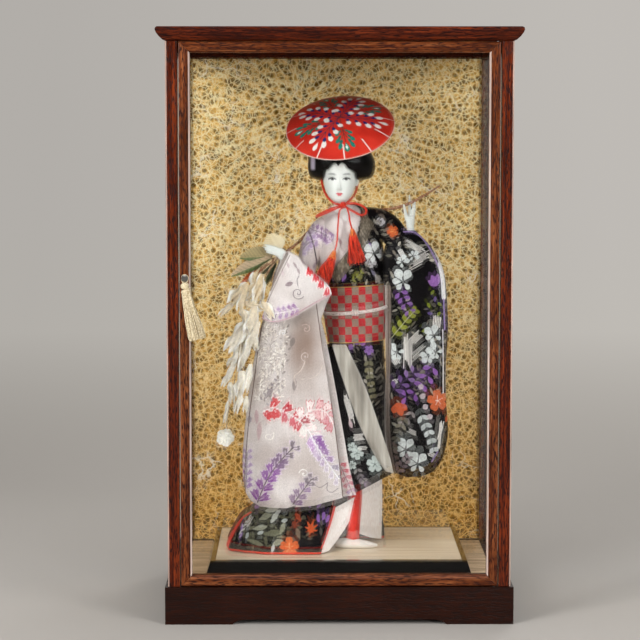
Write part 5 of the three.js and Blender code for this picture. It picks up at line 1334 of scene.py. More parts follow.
gold_band, tree, shader = start("dull_gold_brocade", "5d5343", 0.45, Specular_IOR_Level=0.2)
place = add(tree, "TexCoord")
lines = add(tree, "Mapping", {"Vector": place.outputs["Object"], "Rotation": (0, 0.38, 0),
                              "Scale": (1.0, 1.0, 0.5)})
spots = add(tree, "TexVoronoi", {"Vector": lines.outputs[0], "Scale": 420.0})
tone = add(tree, "ValToRGB", {"Fac": spots.outputs["Distance"]}, stops=[(0.2, "8f8473"), (0.6, "564d40")])
tree.links.new(tone.outputs[0], shader.inputs["Base Color"])
shine = add(tree, "MapRange", {"Value": spots.outputs["Distance"], "From Min": 0.25, "From Max": 0.4,
                               "To Min": 0.4, "To Max": 0.0})
tree.links.new(shine.outputs[0], shader.inputs["Metallic"])
plain_satin = mottled("plain_silver_satin", "c9c6bf", 0.33, 150.0,
                      [(0.32, "827c72"), (0.68, "c4bfb4"), (0.5, "a39d92")], stretch=(1.0, 1.0, 0.09),
                      turn=(0, -0.35, 0), detail=3.0, relief=(0.0008, 0.5), Sheen_Weight=0.3)

dark_top = [(90, 358, 1.2), (45, 360, 1.6), (5, 360, 3.2), (-40, 354, 3.4), (-66, 342, 2.4), (-76, 327, 2),
            (-104, 305, 2), (-127, 288, 2)]
dark_foot = [(90, 350, 1.6), (45, 350, 1.6), (5, 349, 1.8), (-30, 342, 1.8), (-52, 331, 1.8),
             (-64, 317, 1.8), (-90, 296, 1.8), (-117, 279, 1.8)]
dark_collar = collar("dark_collar_band", dark_top, dark_foot, 1.3, gold_band)
pale_top = [(94, 358, 0.9), (135, 359, 1.2), (180, 359, 1.6), (212, 356, 1.6), (243, 351, 1.2),
            (263, 344, 0.8), (285, 334, 0.2)]
pale_foot = [(94, 351, 0.9), (135, 351, 0.9), (175, 349, 0.9), (200, 344, 0.9), (225, 337, 0.9),
             (250, 328, 0.7), (275, 316, 0)]
pale_collar = collar("pale_collar_band", pale_top, pale_foot, 1.2, pale_silk)
weave_in(loom(pale_collar), pale_collar)
dress(dark_collar, "dark_brocade")
dress(pale_collar, "pale_brocade")
print("collar height", round(max(v.co.z for v in dark_collar.data.vertices), 3))

# %% [markdown]
# The sash is stiff brocade woven in squares of red and taupe with a fine gold line at each edge.
# The squares are about 8.3 mm wide, measured round the waist, so each point keeps its distance
# round the waist and its height as an attribute that a checker reads.

# %% Sash and its knot
def check_brocade():
    material, tree, shader = start("red_check_brocade", "b8323a", 0.42, Sheen_Weight=0.08,
                                   Specular_IOR_Level=0.15)
    lay = add(tree, "Attribute", attribute_name="lay")
    squares = add(tree, "TexChecker", {"Vector": lay.outputs["Vector"], "Scale": 1 / 8.3,
                                       "Color1": linear("b9202b"), "Color2": linear("8d7d6e")})
    fine = add(tree, "TexNoise", {"Vector": lay.outputs["Vector"], "Scale": 1.1, "Detail": 2.0})
    wide = add(tree, "TexNoise", {"Vector": lay.outputs["Vector"], "Scale": 0.09})
    nap = add(tree, "MapRange", {"Value": fine.outputs["Fac"], "From Min": 0.3, "From Max": 0.7,
                                 "To Min": 0.72, "To Max": 1.22})
    glow = add(tree, "MapRange", {"Value": wide.outputs["Fac"], "From Min": 0.35, "From Max": 0.65,
                                  "To Min": 0.85, "To Max": 1.12})
    both = add(tree, "Math", {0: nap.outputs[0], 1: glow.outputs[0]}, operation="MULTIPLY")
    tint = add(tree, "VectorMath", {0: squares.outputs["Color"], "Scale": both.outputs[0]}, operation="SCALE")
    edge = add(tree, "Attribute", attribute_name="edge")
    line = add(tree, "MapRange", {"Value": edge.outputs["Fac"], "From Min": 1.1, "From Max": 0.8})
    final = add(tree, "Mix", {0: line.outputs[0], 6: tint.outputs[0], 7: linear("c9a25a")}, data_type="RGBA")
    tree.links.new(final.outputs[2], shader.inputs["Base Color"])
    tree.links.new(line.outputs[0], shader.inputs["Metallic"])
    bump(tree, shader, fine.outputs["Fac"], 0.00015, 0.5)
    return material


def keep_lay(piece, lay, edge):
    """Where each point lies on the woven squares, and how far it is from the cloth's edge, in mm."""
    keep(piece, "lay", np.column_stack([lay, np.zeros(len(lay))]), "FLOAT_VECTOR")
    keep(piece, "edge", edge)


check = check_brocade()
sash_rows = [(19.5, -2, 217, 30, 25), (19, -1, 238, 32.5, 26), (17.4, -0.5, 258, 34, 26.5),
             (16.8, -0.5, 276.5, 34.8, 27)]
SASH_TILT = 0.05
sash = skin("sash_band", loft(sash_rows, 160, 90, tilt=SASH_TILT,
                              fold=lambda a, t: 0.25 * np.sin(11 * t + 2 * a) * np.sin(3.1 * a)), check)
place = points_of(sash)
bearing = (np.arctan2(place[:, 1] + 1, place[:, 0] - 18) + 1.5 * math.pi) % TAU - math.pi
rise = place[:, 2] - SASH_TILT * (place[:, 0] - 18)
keep_lay(sash, np.column_stack([bearing * 30.5 + 4.2, rise - 217.6]), np.minimum(rise - 217, 276.5 - rise))
dress(sash, "checked_brocade", "sash")

knot_rows = [(17, 34, 214, 17, 4), (17, 35.5, 219, 21, 9.5), (17, 37, 232, 22.4, 11),
             (17, 37.2, 245, 22.6, 11.2), (17, 36.5, 260, 22.6, 11), (17, 35.5, 271, 22.2, 10),
             (17, 34, 278.6, 20, 6)]
sash_knot = skin("sash_knot_drum", loft(knot_rows, 140, 100, boxy=0.5,
                                       fold=lambda a, t: 0.35 * np.sin(17 * t + 3 * np.cos(a))), check)
place = points_of(sash_knot)
keep_lay(sash_knot, place[:, [0, 2]] - (17, 217.6), np.minimum(place[:, 2] - 214.4, 278 - place[:, 2]))
dress(sash_knot, "checked_brocade", "sash_knot")
print("sash woven,", len(sash.data.vertices), "points")

# %% [markdown]
# Cords, braids, tassel threads and stems all have the same build: a round thread along a path. One
# Geometry Nodes tree turns paths into threads, with the radius, the number of sides and the
# finish as inputs.

# %% The thread tree
def geometry_tree(name, inputs):
    tree = bpy.data.node_groups.new(name, "GeometryNodeTree")
    tree.interface.new_socket("Geometry", in_out="OUTPUT", socket_type="NodeSocketGeometry")
    for label, kind in (("Geometry", "Geometry"), *inputs):
        tree.interface.new_socket(label, in_out="INPUT", socket_type="NodeSocket" + kind)
    return tree, add(tree, "NodeGroupInput"), add(tree, "NodeGroupOutput")


def thread_tree():
    sockets = [("Radius", "Float"), ("Sides", "Int"), ("Finish", "Material")]
    tree, given, result = geometry_tree("threads", sockets)
    path = add(tree, "GeometryNodeMeshToCurve", {"Mesh": given.outputs["Geometry"]})
    ring = add(tree, "GeometryNodeCurvePrimitiveCircle",
               {"Resolution": given.outputs["Sides"], "Radius": 1.0})
    sized = add(tree, "GeometryNodeSetCurveRadius",
                {"Curve": path.outputs[0], "Radius": given.outputs["Radius"]})
    solid = {"Curve": sized.outputs[0], "Profile Curve": ring.outputs["Curve"], "Fill Caps": True}
    threads = add(tree, "GeometryNodeCurveToMesh", solid)
    if "Scale" in threads.inputs:
        tree.links.new(given.outputs["Radius"], threads.inputs["Scale"])
    real = add(tree, "GeometryNodeRealizeInstances", {"Geometry": threads.outputs[0]})
    done = add(tree, "GeometryNodeSetMaterial",
               {"Geometry": real.outputs[0], "Material": given.outputs["Finish"]})
    tree.links.new(done.outputs[0], result.inputs[0])
    return tree


def bake(piece, tree, **values):
    """Runs a tree on a piece with these inputs, and keeps the result as its plain mesh."""
    modifier = piece.modifiers.new(tree.name, "NODES")
    modifier.node_group = tree
    for item in tree.interface.items_tree:
        if item.in_out == "INPUT" and item.name in values:
            modifier[item.identifier] = values[item.name]
    mesh = bpy.data.meshes.new_from_object(piece.evaluated_get(bpy.context.evaluated_depsgraph_get()))
    piece.modifiers.clear()
    piece.data = mesh
    mesh.shade_smooth()
    return piece


threads = thread_tree()


def strands(name, paths, radius, material, sides=6):
    """Threads along paths of points in doll millimetres."""
    points, edges = [], []
    for path in paths:
        first = len(points)
        points += [tuple((np.asarray(p) + DOLL_PLACE) / 1000) for p in path]
        edges += [(k, k + 1) for k in range(first, len(points) - 1)]
    mesh = bpy.data.meshes.new(name)
    mesh.from_pydata(points, edges, [])
    made = bpy.data.objects.new(name, mesh)
    bpy.context.scene.collection.objects.link(made)
    return bake(made, threads, Radius=radius / 1000, Sides=sides, Finish=material)


def braid(path, strands_count, lay_radius, pitch):
    """Paths of strands that twist round a path."""
    path = np.asarray(path, float)
    along = np.gradient(path, axis=0)
    run = np.concatenate([[0], np.cumsum(np.linalg.norm(np.diff(path, axis=0), axis=1))])
    along /= np.linalg.norm(along, axis=1)[:, None]
    side = np.cross(along, (0.1, 0.2, 1.0))
    side /= np.linalg.norm(side, axis=1)[:, None]
    up = np.cross(side, along)
    made = []
    for k in range(strands_count):
        a = (TAU * run / pitch + TAU * k / strands_count)[:, None]
        made.append(path + lay_radius * (side * np.cos(a) + up * np.sin(a)))
    return made


def silk_cord(name, color, dark, rough=0.5, scale=900.0, squeeze=1.0):
    """Twisted silk: each thread catches the light along its top and is darker between threads."""
    return mottled(name, color, rough, scale, [(0.32, dark), (0.6, color)], stretch=(1.0, 1.0, squeeze),
                   relief=(0.00012, 0.5), Sheen_Weight=0.12, Sheen_Roughness=0.5, Specular_IOR_Level=0.2)


white_braid = silk_cord("white_silk_braid", "fbf4ee", "b5a8a0")
red_silk_cord = silk_cord("red_silk_cord", "e8412a", "a8200f")
print("thread tree nodes:", len(threads.nodes))

# %% [markdown]
# A white braid goes once round the sash and is tied in front, with its knot as three turns of one
# strand. Behind it bows out over the drum of the sash's knot. Four strands twist round a path.

# %% Sash cord
def sash_turn(bearing, out):
    x, y, _, wide, deep = between(sash_rows, 0.58)[0]
    return x + (wide + out) * np.cos(bearing), y + (deep + out) * np.sin(bearing)


bearing = np.linspace(0, TAU, 240) - math.pi / 2
lift = 251.5 + 3.6 * np.cos(bearing) - 2.5 * abs(np.sin(bearing))
x, y = sash_turn(bearing, 2.3 + 10.5 * np.clip(np.sin(bearing), 0, 1) ** 6)
loop = np.column_stack([x, y, lift])
knot_x, knot_y = sash_turn(-math.pi / 2, 3.4)
wrap = [[(knot_x + 4.2 * s, knot_y - 0.4 + 2.2 * math.cos(a), 249 + 2.6 * math.sin(a))
         for a in np.linspace(0, TAU, 14)] for s in (-0.6, 0, 0.6)]
sash_cord = strands("sash_cord_braid", [*braid(loop, 4, 1.15, 7.0), *wrap], 0.95, white_braid)
dress(sash_cord, "white_lining", "sash_cord")
print("sash cord faces:", len(sash_cord.data.polygons))

# %% [markdown]
# Below the sash the black robe is a narrow skirt, which shows beside the panel that hangs over it.
# It is a lofted skin whose folds grow deeper towards the hem.

# %% Skirt
skirt_rows = [(19.5, -2, 222, 28.5, 22.5), (19.5, -2.5, 190, 30, 23), (19.5, -3, 160, 31, 24),
              (19, -3.5, 130, 32, 25), (18, -4, 105, 33, 26), (17, -4, 80, 35.5, 26)]
skirt = skin("skirt_silk", loft(skirt_rows, 260, 260, fold=lambda a, t: t * 1.1 * np.cos(7 * a)
                                + 0.4 * t * np.sin(13 * a + 5 * t)), dark_silk)
work = loom(skirt, turn_over=180)
thicket(work, -30, 210, 60, 225, 53)
for px, py in ((350, 350), (356, 345), (362, 346)):
    petal(work, *seen(px, py, -24), 1.3, 6.5, 5.5, "8a64a8")
blossom(work, *seen(369, 350, -22), 5.5, "8a64a8", heart="5a3f70")
fern(work, trace(-24, (369, 358), (369, 370), (371, 384), (373, 396)), 6, 7.0,
     ["6d6a52", "7b7458"], "3f3d30", width=0.6)
fern(work, trace(-26, (352, 362), (354, 374), (357, 386)), 4, 5.5, ["3f3d38"], "2a2926")
foil(work, *seen(347, 392, -30), 1.8, 26, 5, 5)
foil(work, *seen(352, 420, -30), 1.9, 22, 5, 5)
blossom(work, *seen(353, 408, -30), 4.5, "b89aa0", heart="3a3335", turn=0.7)
crowd(work, 120, 210, 85, 215, 23)
weave_in(work, skirt)
dress(skirt, "dark_brocade", "skirt")
print("skirt points:", len(skirt.data.vertices))

# %% [markdown]
# The robe's front panel hangs from the sash as one sheet of the black brocade, in slow vertical
# folds. A long flap of plain satin is turned back over its edge, so both share that edge's points.

# %% Front panel
edge = [(7.5, -31, 216), (27, -34, 174), (42.5, -34.5, 131), (53, -33.5, 100), (57.6, -33, 80.5)]
panel_net = [[(-14, -28, 216), (-4, -30.5, 216), edge[0]], [(-17, -31, 170), (3, -34, 172), edge[1]],
             [(-22, -32, 125), (8, -35, 128), edge[2]], [(-27, -32, 80), (12, -35.4, 92), edge[3]],
             [(-29.4, -31, 41), (14, -35, 58), edge[4]]]
front_panel = cloth("front_panel_silk", panel_net, 190, 235, 1.2, dark_silk,
                    fold=lambda u, v: 0.7 * v * np.sin(9 * u) + 0.35 * v * np.sin(17 * u + 4 * v))
work = loom(front_panel, turn_over=160)
Y_PANEL = -35
flowers_seen = [(357, 453, 7.5, 0.2), (375, 464, 9.5, 0.9), (352, 447, 5.5, 1.2), (382, 459, 5, 0.2),
                (352, 465, 5, 0.8)]
for px, py, r, turn in flowers_seen:
    blossom(work, *seen(px, py, Y_PANEL), r, "bcc6c2", heart="26302c", turn=turn)
foil(work, *seen(359, 437, Y_PANEL), 0.1, 14, 6, 6)
foil(work, *seen(362, 448, Y_PANEL), 0.1, 11, 3, 3)
foil(work, *seen(349, 408, Y_PANEL), 1.85, 34, 5, 5)
petal(work, *seen(352, 428, Y_PANEL), 1.9, 9, 4, "c8b0b4")
petal(work, *seen(378, 483, Y_PANEL), 0.3, 9, 5, "8f63ad")
for k, (px, py) in enumerate(((360, 484), (367, 488), (357, 494), (350, 497), (344, 492))):
    petal(work, *seen(px, py, Y_PANEL), 1.2 + 0.5 * k, 8, 5.5, ["80777e", "7a6a80"][k % 2])
fern(work, trace(Y_PANEL, (356, 466), (360, 476), (368, 484)), 4, 7, ["8f8a88", "6d666a"], "3d3a38")
for k, (px, py) in enumerate(((292, 505), (301, 503), (311, 504), (322, 506), (331, 509), (341, 505))):
    petal(work, *seen(px, py, Y_PANEL), 0.7 + 0.5 * k, 7.5, 5, ["8a8080", "7b6f86", "9c9692"][k % 3])
crowd(work, 100, 200, 60, 210, 24)
weave_in(work, front_panel)
dress(front_panel, "dark_brocade", "front_panel")

inner = [(-6.3, 216), (7.3, 173), (23, 131), (38.5, 100), (50.5, 83)]
flap_net = [[(a, y - 2.6, b), (0.5 * (a + x), y - 3.4, 0.5 * (b + z)), (x + 0.5, y - 2.2, z)]
            for (a, b), (x, y, z) in zip(inner, edge)]
flap = cloth("turned_satin_flap", flap_net, 40, 160, 1.2, plain_satin,
             fold=lambda u, v: 0.8 * np.sin(math.pi * u) * np.sin(5 * v + 4 * u)
             + 0.35 * np.sin(11 * u + 2 * v))
dress(flap, "lining_satin")
print("panel and flap:", len(front_panel.data.vertices), len(flap.data.vertices))

# %% [markdown]
# The train is the robe's padded hem, spread to her right on the stand. It rises in slow folds to
# the skirt, and a gap is left where the linings turn back from her feet. The gap is cut from the
# full skin with a boolean, and the cut is eased by a remesh.

# %% Train
hem_rings = [(0.4, -118, -67, 53, 60), (3, -118.5, -67.4, 53.3, 60), (8, -117, -62, 53, 58),
             (20, -111, -54, 52, 52), (32, -103, -45, 50, 46), (42, -87, -37, 48, 40),
             (54, -60, -31, 46, 34), (84, -28, -24, 38, 26)]


def train_rings(sides, steps):
    t, angle = grid(steps, sides)
    z, left, front, right, back = (between(hem_rings, t[:, 0])[:, k, None] for k in range(5))
    fall = np.clip(1 - z / 80, 0, 1)
    ripple = 1 + fall * (0.018 * np.cos(7 * angle) + 0.008 * np.cos(17 * angle + 1.1))
    c, s = np.cos(angle), np.sin(angle)
    x = (left + right) / 2 + (right - left) / 2 * np.sign(c) * abs(c) ** 0.62 * ripple
    y = (front + back) / 2 + (back - front) / 2 * np.sign(s) * abs(s) ** 0.62 * ripple
    lift = 1.2 * fall * np.sin(5 * angle + 2) * np.clip(z / 12, 0, 1)
    return np.stack([x, y, z + lift], 2)


train = skin("train_silk", train_rings(240, 90), dark_silk)
gap = [(-8, [(-23, -90), (-17, -40), (-10, -6), (8, 18), (30, 24), (90, 27), (90, -90)]),
       (44, [(-7, -90), (-5, -36), (-2, -6), (8, 15), (30, 20), (90, 23), (90, -90)]),
       (95, [(1, -90), (0, -36), (2, -6), (8, 12), (30, 16), (90, 18), (90, -90)])]
leg_room = skin("leg_room", np.array([[(x, y, z) for x, y in corners] for z, corners in gap], float),
                dark_silk)
cut = train.modifiers.new("gap", "BOOLEAN")
cut.object, cut.operation, cut.solver = leg_room, "DIFFERENCE", "EXACT"
remesh = train.modifiers.new("fuse", "REMESH")
remesh.mode, remesh.voxel_size = "VOXEL", 0.0012
ease = train.modifiers.new("ease", "SMOOTH")
ease.factor, ease.iterations = 0.5, 3
mesh = bpy.data.meshes.new_from_object(train.evaluated_get(bpy.context.evaluated_depsgraph_get()))
train.modifiers.clear()
train.data = mesh
mesh.shade_smooth()
bpy.data.objects.remove(leg_room)

work = loom(train, turn_over=240)
turned = np.clip((-95 - work["at"][:, 0]) / 22, 0, 1) * ~work["behind"]
work["at"][:, 0] -= turned * 0.8 * np.clip(work["place"][:, 1] + 60, 0, 80)
thicket(work, -175, 60, 0, 84, 54, colors=("4a4838", "5e5b47", "3b3a2e", "6d6954", "5d564f"))
Y_HEM = -60
fern_lines = [((250, 548), (258, 538), (268, 528), (280, 518)),
              ((262, 552), (272, 540), (284, 530), (292, 520)),
              ((240, 546), (246, 534), (256, 524), (266, 516)),
              ((232, 540), (240, 530), (250, 520), (258, 512))]
for path in fern_lines:
    fern(work, trace(Y_HEM, *path), 4, 11, ["605f4a", "7c7b64", "4c4b3a"], "33322a", width=0.3)
petals_seen = [(258, 524, 0.5, 17, 6, "8f8f7a"), (264, 516, 0.2, 15, 5, "b9bcae"),
               (270, 526, 0.9, 14, 5, "c9ccc2"), (252, 532, 0.2, 16, 5, "a3a48f"),
               (262, 536, 0.15, 22, 6, "6f6f59"), (245, 541, -0.25, 20, 4.5, "7f7f68"),
               (272, 545, 0.4, 12, 6, "9c9c88"), (280, 536, 1.2, 13, 5, "8a8a74"),
               (300, 540, 1.9, 12, 5, "7c6a58"), (244, 517, 0.9, 12, 6, "8a62a8"),
               (250, 511, 0.4, 10, 5, "9a70b6"), (236, 536, 1.4, 9, 5, "8f66b0"),
               (233, 541, 0.7, 8, 4, "9a70b6"), (296, 516, 1.6, 12, 4, "7c2c1c"),
               (301, 524, 2.2, 10, 5, "a2452a")]
for px, py, turn, length, width, tint in petals_seen:
    x, z = seen(px, py, Y_HEM)
    petal(work, x - math.cos(turn), z - math.sin(turn), turn, length + 2.2, width + 2.0, "0f0d0c", 0.0, 1.2)
    petal(work, x, z, turn, length, width, tint, 0.1, 1.2)
blossom(work, *seen(289.5, 547, Y_HEM), 10.5, "cf6335", heart="e0a070", turn=0.9)
maple(work, *seen(311, 531, Y_HEM), 10, "c8552a", turn=1.3)
maple(work, *seen(294, 527, Y_HEM), 7, "7e3420", turn=0.6)
silver_petals = [(267, 513, 0.8), (275, 518, 0.6), (257, 536, 0.4), (272, 551, 1.3), (245, 541, 1.1),
                 (281, 524, 0.2)]
for px, py, turn in silver_petals:
    petal(work, *seen(px, py, Y_HEM), turn, 7, 3.6, "ccd2ce", 0.5)
purple_petals = [(314, 509, 1.5), (317, 512, 0.9), (311, 512, 2.2), (323, 523, 1.4), (319, 525, 1.7),
                 (326, 525, 1.1), (333, 505, 0.4), (253, 515, 0.6), (258, 510, 0.8)]
for px, py, turn in purple_petals:
    petal(work, *seen(px, py, Y_HEM), turn, 8.5, 3.8, "8f66b0")
for px, py in ((236, 535), (242, 530), (248, 526)):
    foil(work, *seen(px, py, Y_HEM), 1.0, 16, 3, 3)
crowd(work, 115, 360, 4, 84, 25)
near = np.flatnonzero(work["place"][:, 2] < 90)
height = work["place"][:, 2]
inlay(work, near, height[near] - 3.0, "d8331f")
place = work["place"]
rim = np.interp(place[:, 2], [row[0] for row in hem_rings], [row[1] for row in hem_rings])
near = np.flatnonzero((place[:, 2] < 38) & (place[:, 1] < -22))
inlay(work, near, place[near, 0] - rim[near] - 3.5, "d8331f")
weave_in(work, train)
dress(train, "dark_brocade", "train")
print("train points:", len(train.data.vertices))

# %% [markdown]
# The robe's lining is white silk. Its left front turns back beside her foot with a vermilion
# padded edge, and its right front hangs straight. Between them shows a red underskirt, above one
# foot in a white sock with a pointed toe.

# %% Linings, underskirt and foot
white_silk = mottled("soft_white_silk", "fbf5f0", 0.5, 800.0, [(0.3, "efe5de"), (0.65, "fffaf6")],
                     stretch=(1.0, 1.0, 0.25), relief=(0.0001, 0.4), Sheen_Weight=0.2)
red_silk = silk_cord("plain_vermilion_silk", "d9301f", "b81f14", 0.45, 500.0)

left_net = [[(-4.2, -37.5, 44), (8, -30, 49), (19.5, -25, 55)],
            [(-9.6, -46, 28), (2, -36, 29), (12.7, -29, 31)],
            [(-15.4, -57, 11), (-6, -48, 11.5), (1, -41, 14)],
            [(-20, -65.5, 1.6), (-14.5, -60.5, 1.6), (-9.5, -55, 2.6)]]
left_lining = cloth("left_lining_silk", left_net, 60, 80, 1.1, white_silk,
                    fold=lambda u, v: 0.5 * np.sin(math.pi * u) * np.sin(6 * v + 2 * u))
right_net = [[(22, -13, 84), (33, -4, 84), (47, 7, 84)], [(22.4, -13, 40), (34, -2, 40), (47.6, 10, 42)],
             [(22.8, -12, 12), (34, 1, 6), (46.8, 15, 1.6)]]
right_lining = cloth("right_lining_silk", right_net, 80, 90, 1.1, white_silk,
                     fold=lambda u, v: 1.4 * v * np.sin(7 * u) + 0.3 * v * np.sin(19 * u))
dress(left_lining, "white_lining", "left_lining")
dress(right_lining, "white_lining", "right_lining")

padded_edge = smooth([(-3.4, -38.6, 46), (-8.8, -47.2, 28.4), (-15.4, -58.2, 11.6), (-20.4, -66.4, 1.7)], 40)
hem_edge = strands("vermilion_hem_edge", [padded_edge], 1.15, red_silk, 10)
dress(hem_edge, "red_silk")
underskirt_rows = [(18, -10, 84, 9, 12), (17.5, -17, 45, 7.5, 11), (16, -23.5, 25, 7, 9.5),
                   (15, -27, 6, 7, 8)]
underskirt = skin("underskirt_silk", loft(underskirt_rows, 120, 80,
                                          fold=lambda a, t: 0.35 * np.sin(5 * a + 2 * t)), red_silk)
dress(underskirt, "red_silk", "underskirt")
sock = mottled("white_cotton_sock", "e9e4dc", 0.75, 1300.0, relief=(0.0001, 0.5), Sheen_Weight=0.3)
foot_rows = [(-4, -27, 4.6, 2, 3.4), (2, -29, 5.4, 6, 4.9), (13, -30.5, 5.8, 7.4, 5.3),
             (25, -31.5, 4.9, 7, 4.4), (34, -30.5, 3.7, 5.2, 3.2), (41, -28, 2.6, 1.6, 1.8)]
foot = skin("foot_sock", limb(foot_rows, 64, 60, hint=(0, 0, 1)), sock)
for vertex in foot.data.vertices:
    vertex.co.z = max(vertex.co.z, (DOLL_PLACE[2] + 0.3) / 1000)
dress(foot, "white_shell_paint", "foot")
print("lining, underskirt and foot made")

# %% [markdown]
# Head and hands are carved wood under many coats of crushed-shell paint, rubbed to a soft satin
# with a greenish white. The painted features are kept on the mesh as the cloths' motifs are, and
# the soft grey of the painted brows and of the shade painted into the face's hollows as a share
# from 0 to 1.

# %% Shell-painted skin
shell_paint, tree, shader = start("burnished_shell_paint", "e3e8e2", 0.33, Specular_IOR_Level=0.3,
                                  Coat_Weight=0.15, Coat_Roughness=0.3)
edge = add(tree, "Attribute", attribute_name="outline")
thread = add(tree, "Attribute", attribute_name="thread")
brow_and_shade_grey = add(tree, "Attribute", attribute_name="gilt")
inside = add(tree, "MapRange", {"Value": edge.outputs["Fac"], "From Min": 0.15, "From Max": -0.15})
brows_and_painted_shade = add(tree, "Mix", {0: brow_and_shade_grey.outputs["Fac"], 6: linear("e3e8e2"), 7: linear("4d5352")},
            data_type="RGBA")
final = add(tree, "Mix", {0: inside.outputs[0], 6: brows_and_painted_shade.outputs[2], 7: thread.outputs["Color"]},
            data_type="RGBA")
tree.links.new(final.outputs[2], shader.inputs["Base Color"])
place = add(tree, "TexCoord")
grain = add(tree, "TexNoise", {"Vector": place.outputs["Object"], "Scale": 350.0, "Detail": 3.0})
bump(tree, shader, grain.outputs["Fac"], 0.00008, 0.3)
print("shell paint made")

# %% [markdown]
# The features are small and calm: a narrow nose, shallow eye hollows, painted lids and brows, and
# a small red mouth. The skull is a lofted skin, pushed in and out by soft bumps. Eyes, lids and
# lips are painted on it as outlines, which stay crisp at any distance.

# %% Head
skull_rows = [(1.8, -13, 363.6, 3, 3.5), (1.9, -10.5, 365.5, 7.5, 7.5), (2, -7.5, 369.5, 11.5, 12),
              (2.1, -4, 376, 15, 15.5), (2.2, -1, 384, 17.2, 18.5), (2.3, 1, 393, 18, 20),
              (2.4, 2, 403, 17.5, 20), (2.4, 3, 413, 14.5, 17), (2.4, 3.5, 420, 9, 11),
              (2.4, 3.5, 423, 2.5, 3)]
skull = loft(skull_rows, 300, 300)
FACE_X, EYE_Z, MOUTH_Z = 1.4, 388.3, 372.4


def swelling(x, z, at_x, at_z, wide, tall):
    return np.exp(-(((x - at_x) / wide) ** 2) - ((z - at_z) / tall) ** 2)


def features(points):
    """How far each point of the face comes forwards, in millimetres."""
    x, z = points[..., 0], points[..., 2]
    out = 2.1 * swelling(x, z, FACE_X, 378.2, 1.7, 2.0) + 1.5 * swelling(x, z, FACE_X, 382.5, 1.5, 4.5)
    out += 0.5 * swelling(x, z, FACE_X, 389, 1.6, 4.0)
    for side in (-1, 1):
        out += 0.5 * swelling(x, z, FACE_X + side * 2.0, 377.6, 1.0, 1.1)
        out -= 0.75 * swelling(x, z, FACE_X + side * 7.2, EYE_Z + 0.6, 4.2, 2.6)
        out += 0.42 * swelling(x, z, FACE_X + side * 7.2, EYE_Z - 0.1, 3.1, 1.1)
        out += 0.35 * swelling(x, z, FACE_X + side * 9.0, 380.5, 4.5, 4.5)
        out += 0.45 * swelling(x, z, FACE_X + side * 1.3, MOUTH_Z + 0.55, 1.3, 0.7)
    lower_lip = 0.55 * swelling(x, z, FACE_X, MOUTH_Z - 0.85, 1.9, 0.75)
    out += lower_lip - 0.35 * swelling(x, z, FACE_X, MOUTH_Z - 0.1, 2.4, 0.3)
    out -= 0.4 * swelling(x, z, FACE_X, 369.8, 2.6, 0.9)
    return out * (points[..., 1] < 0)


skull[..., 1] -= features(skull)
head = skin("head_carving", skull, shell_paint)
work = loom(head)
x, z = work["at"].T
front = ~work["behind"] & (work["place"][:, 1] < -4)
# Soft grey: the painted brows, and painted shade in the eye hollows, beside the nostrils, at the mouth's
# corners and under the lower lip.
grey = np.zeros(len(x))
for side in (-1, 1):
    arch = 393.4 - 0.035 * (x - (FACE_X + side * 7.6)) ** 2 + 0.05 * side * (x - FACE_X - side * 7.6)
    grey += 0.85 * np.exp(-(((x - FACE_X - side * 7.6) / 3.9) ** 4) - ((z - arch) / 0.95) ** 2)
    grey += 0.34 * swelling(x, z, FACE_X + side * 7.2, EYE_Z + 1.3, 4.2, 1.5)
    grey += 0.16 * swelling(x, z, FACE_X + side * 3.9, MOUTH_Z + 0.1, 0.8, 0.9)
    grey += 0.18 * swelling(x, z, FACE_X + side * 1.7, 376.6, 0.7, 0.5)
grey += 0.10 * swelling(x, z, FACE_X, 370.6, 2.2, 0.6)
work["metal"] = np.clip(grey, 0, 0.75) * front
near = np.flatnonzero(front)
px, pz = x[near], z[near]


def paint(distance, color):
    """A painted outline that leaves the grey of the brows and the painted shade under it as it is."""
    brows_and_shade_kept = work["metal"].copy()
    inlay(work, near, distance, color)
    work["metal"] = brows_and_shade_kept


for side in (-1, 1):
    ex = (px - FACE_X - side * 7.2) * side
    lid = EYE_Z + 0.85 - 0.075 * ex**2 + 0.05 * ex
    paint(np.maximum(abs(pz - (lid + EYE_Z - 0.7) / 2) - (lid - EYE_Z + 0.7) / 2, abs(ex) - 3.0) * 0.8,
          "c9cfca")
    paint(np.hypot(ex + 0.1, pz - EYE_Z - 0.05) - 1.75, "090706")
    paint(np.maximum(abs(pz - lid) - 0.72 - 0.03 * ex, abs(ex - 0.2) - 4.2), "0d0a09")
paint(np.minimum(np.hypot((px - FACE_X + 1.5) / 1.9, (pz - MOUTH_Z - 0.5) / 0.95),
                 np.hypot((px - FACE_X - 1.5) / 1.9, (pz - MOUTH_Z - 0.5) / 0.95)) - 1, "c81f33")
paint(np.hypot((px - FACE_X) / 2.1, (pz - MOUTH_Z + 0.8) / 0.95) - 1, "d02a3c")
weave_in(work, head)
dress(head, "white_shell_paint", "head")
neck_rows = [(5.8, 4, 336, 9, 9), (4.5, 3, 355, 8.3, 8.3), (3.6, 1.5, 376, 8.5, 8.5)]
neck = skin("neck_carving", loft(neck_rows, 80, 40), shell_paint)
weave_in(loom(neck), neck)
dress(neck, "white_shell_paint")
ear_rows = [(19.2, 0, 380.5, 1.2, 1.5), (20.6, 0.4, 383.6, 1.5, 2.4), (20.9, 1, 387, 1.4, 2.9),
            (19.6, 1.4, 390.5, 1.0, 2.2)]
ear = skin("left_ear", limb(ear_rows, 40, 30), shell_paint)
weave_in(loom(ear), ear)
dress(ear, "white_shell_paint")
print("face forward by up to", round(float(features(skull).max()), 2), "mm")

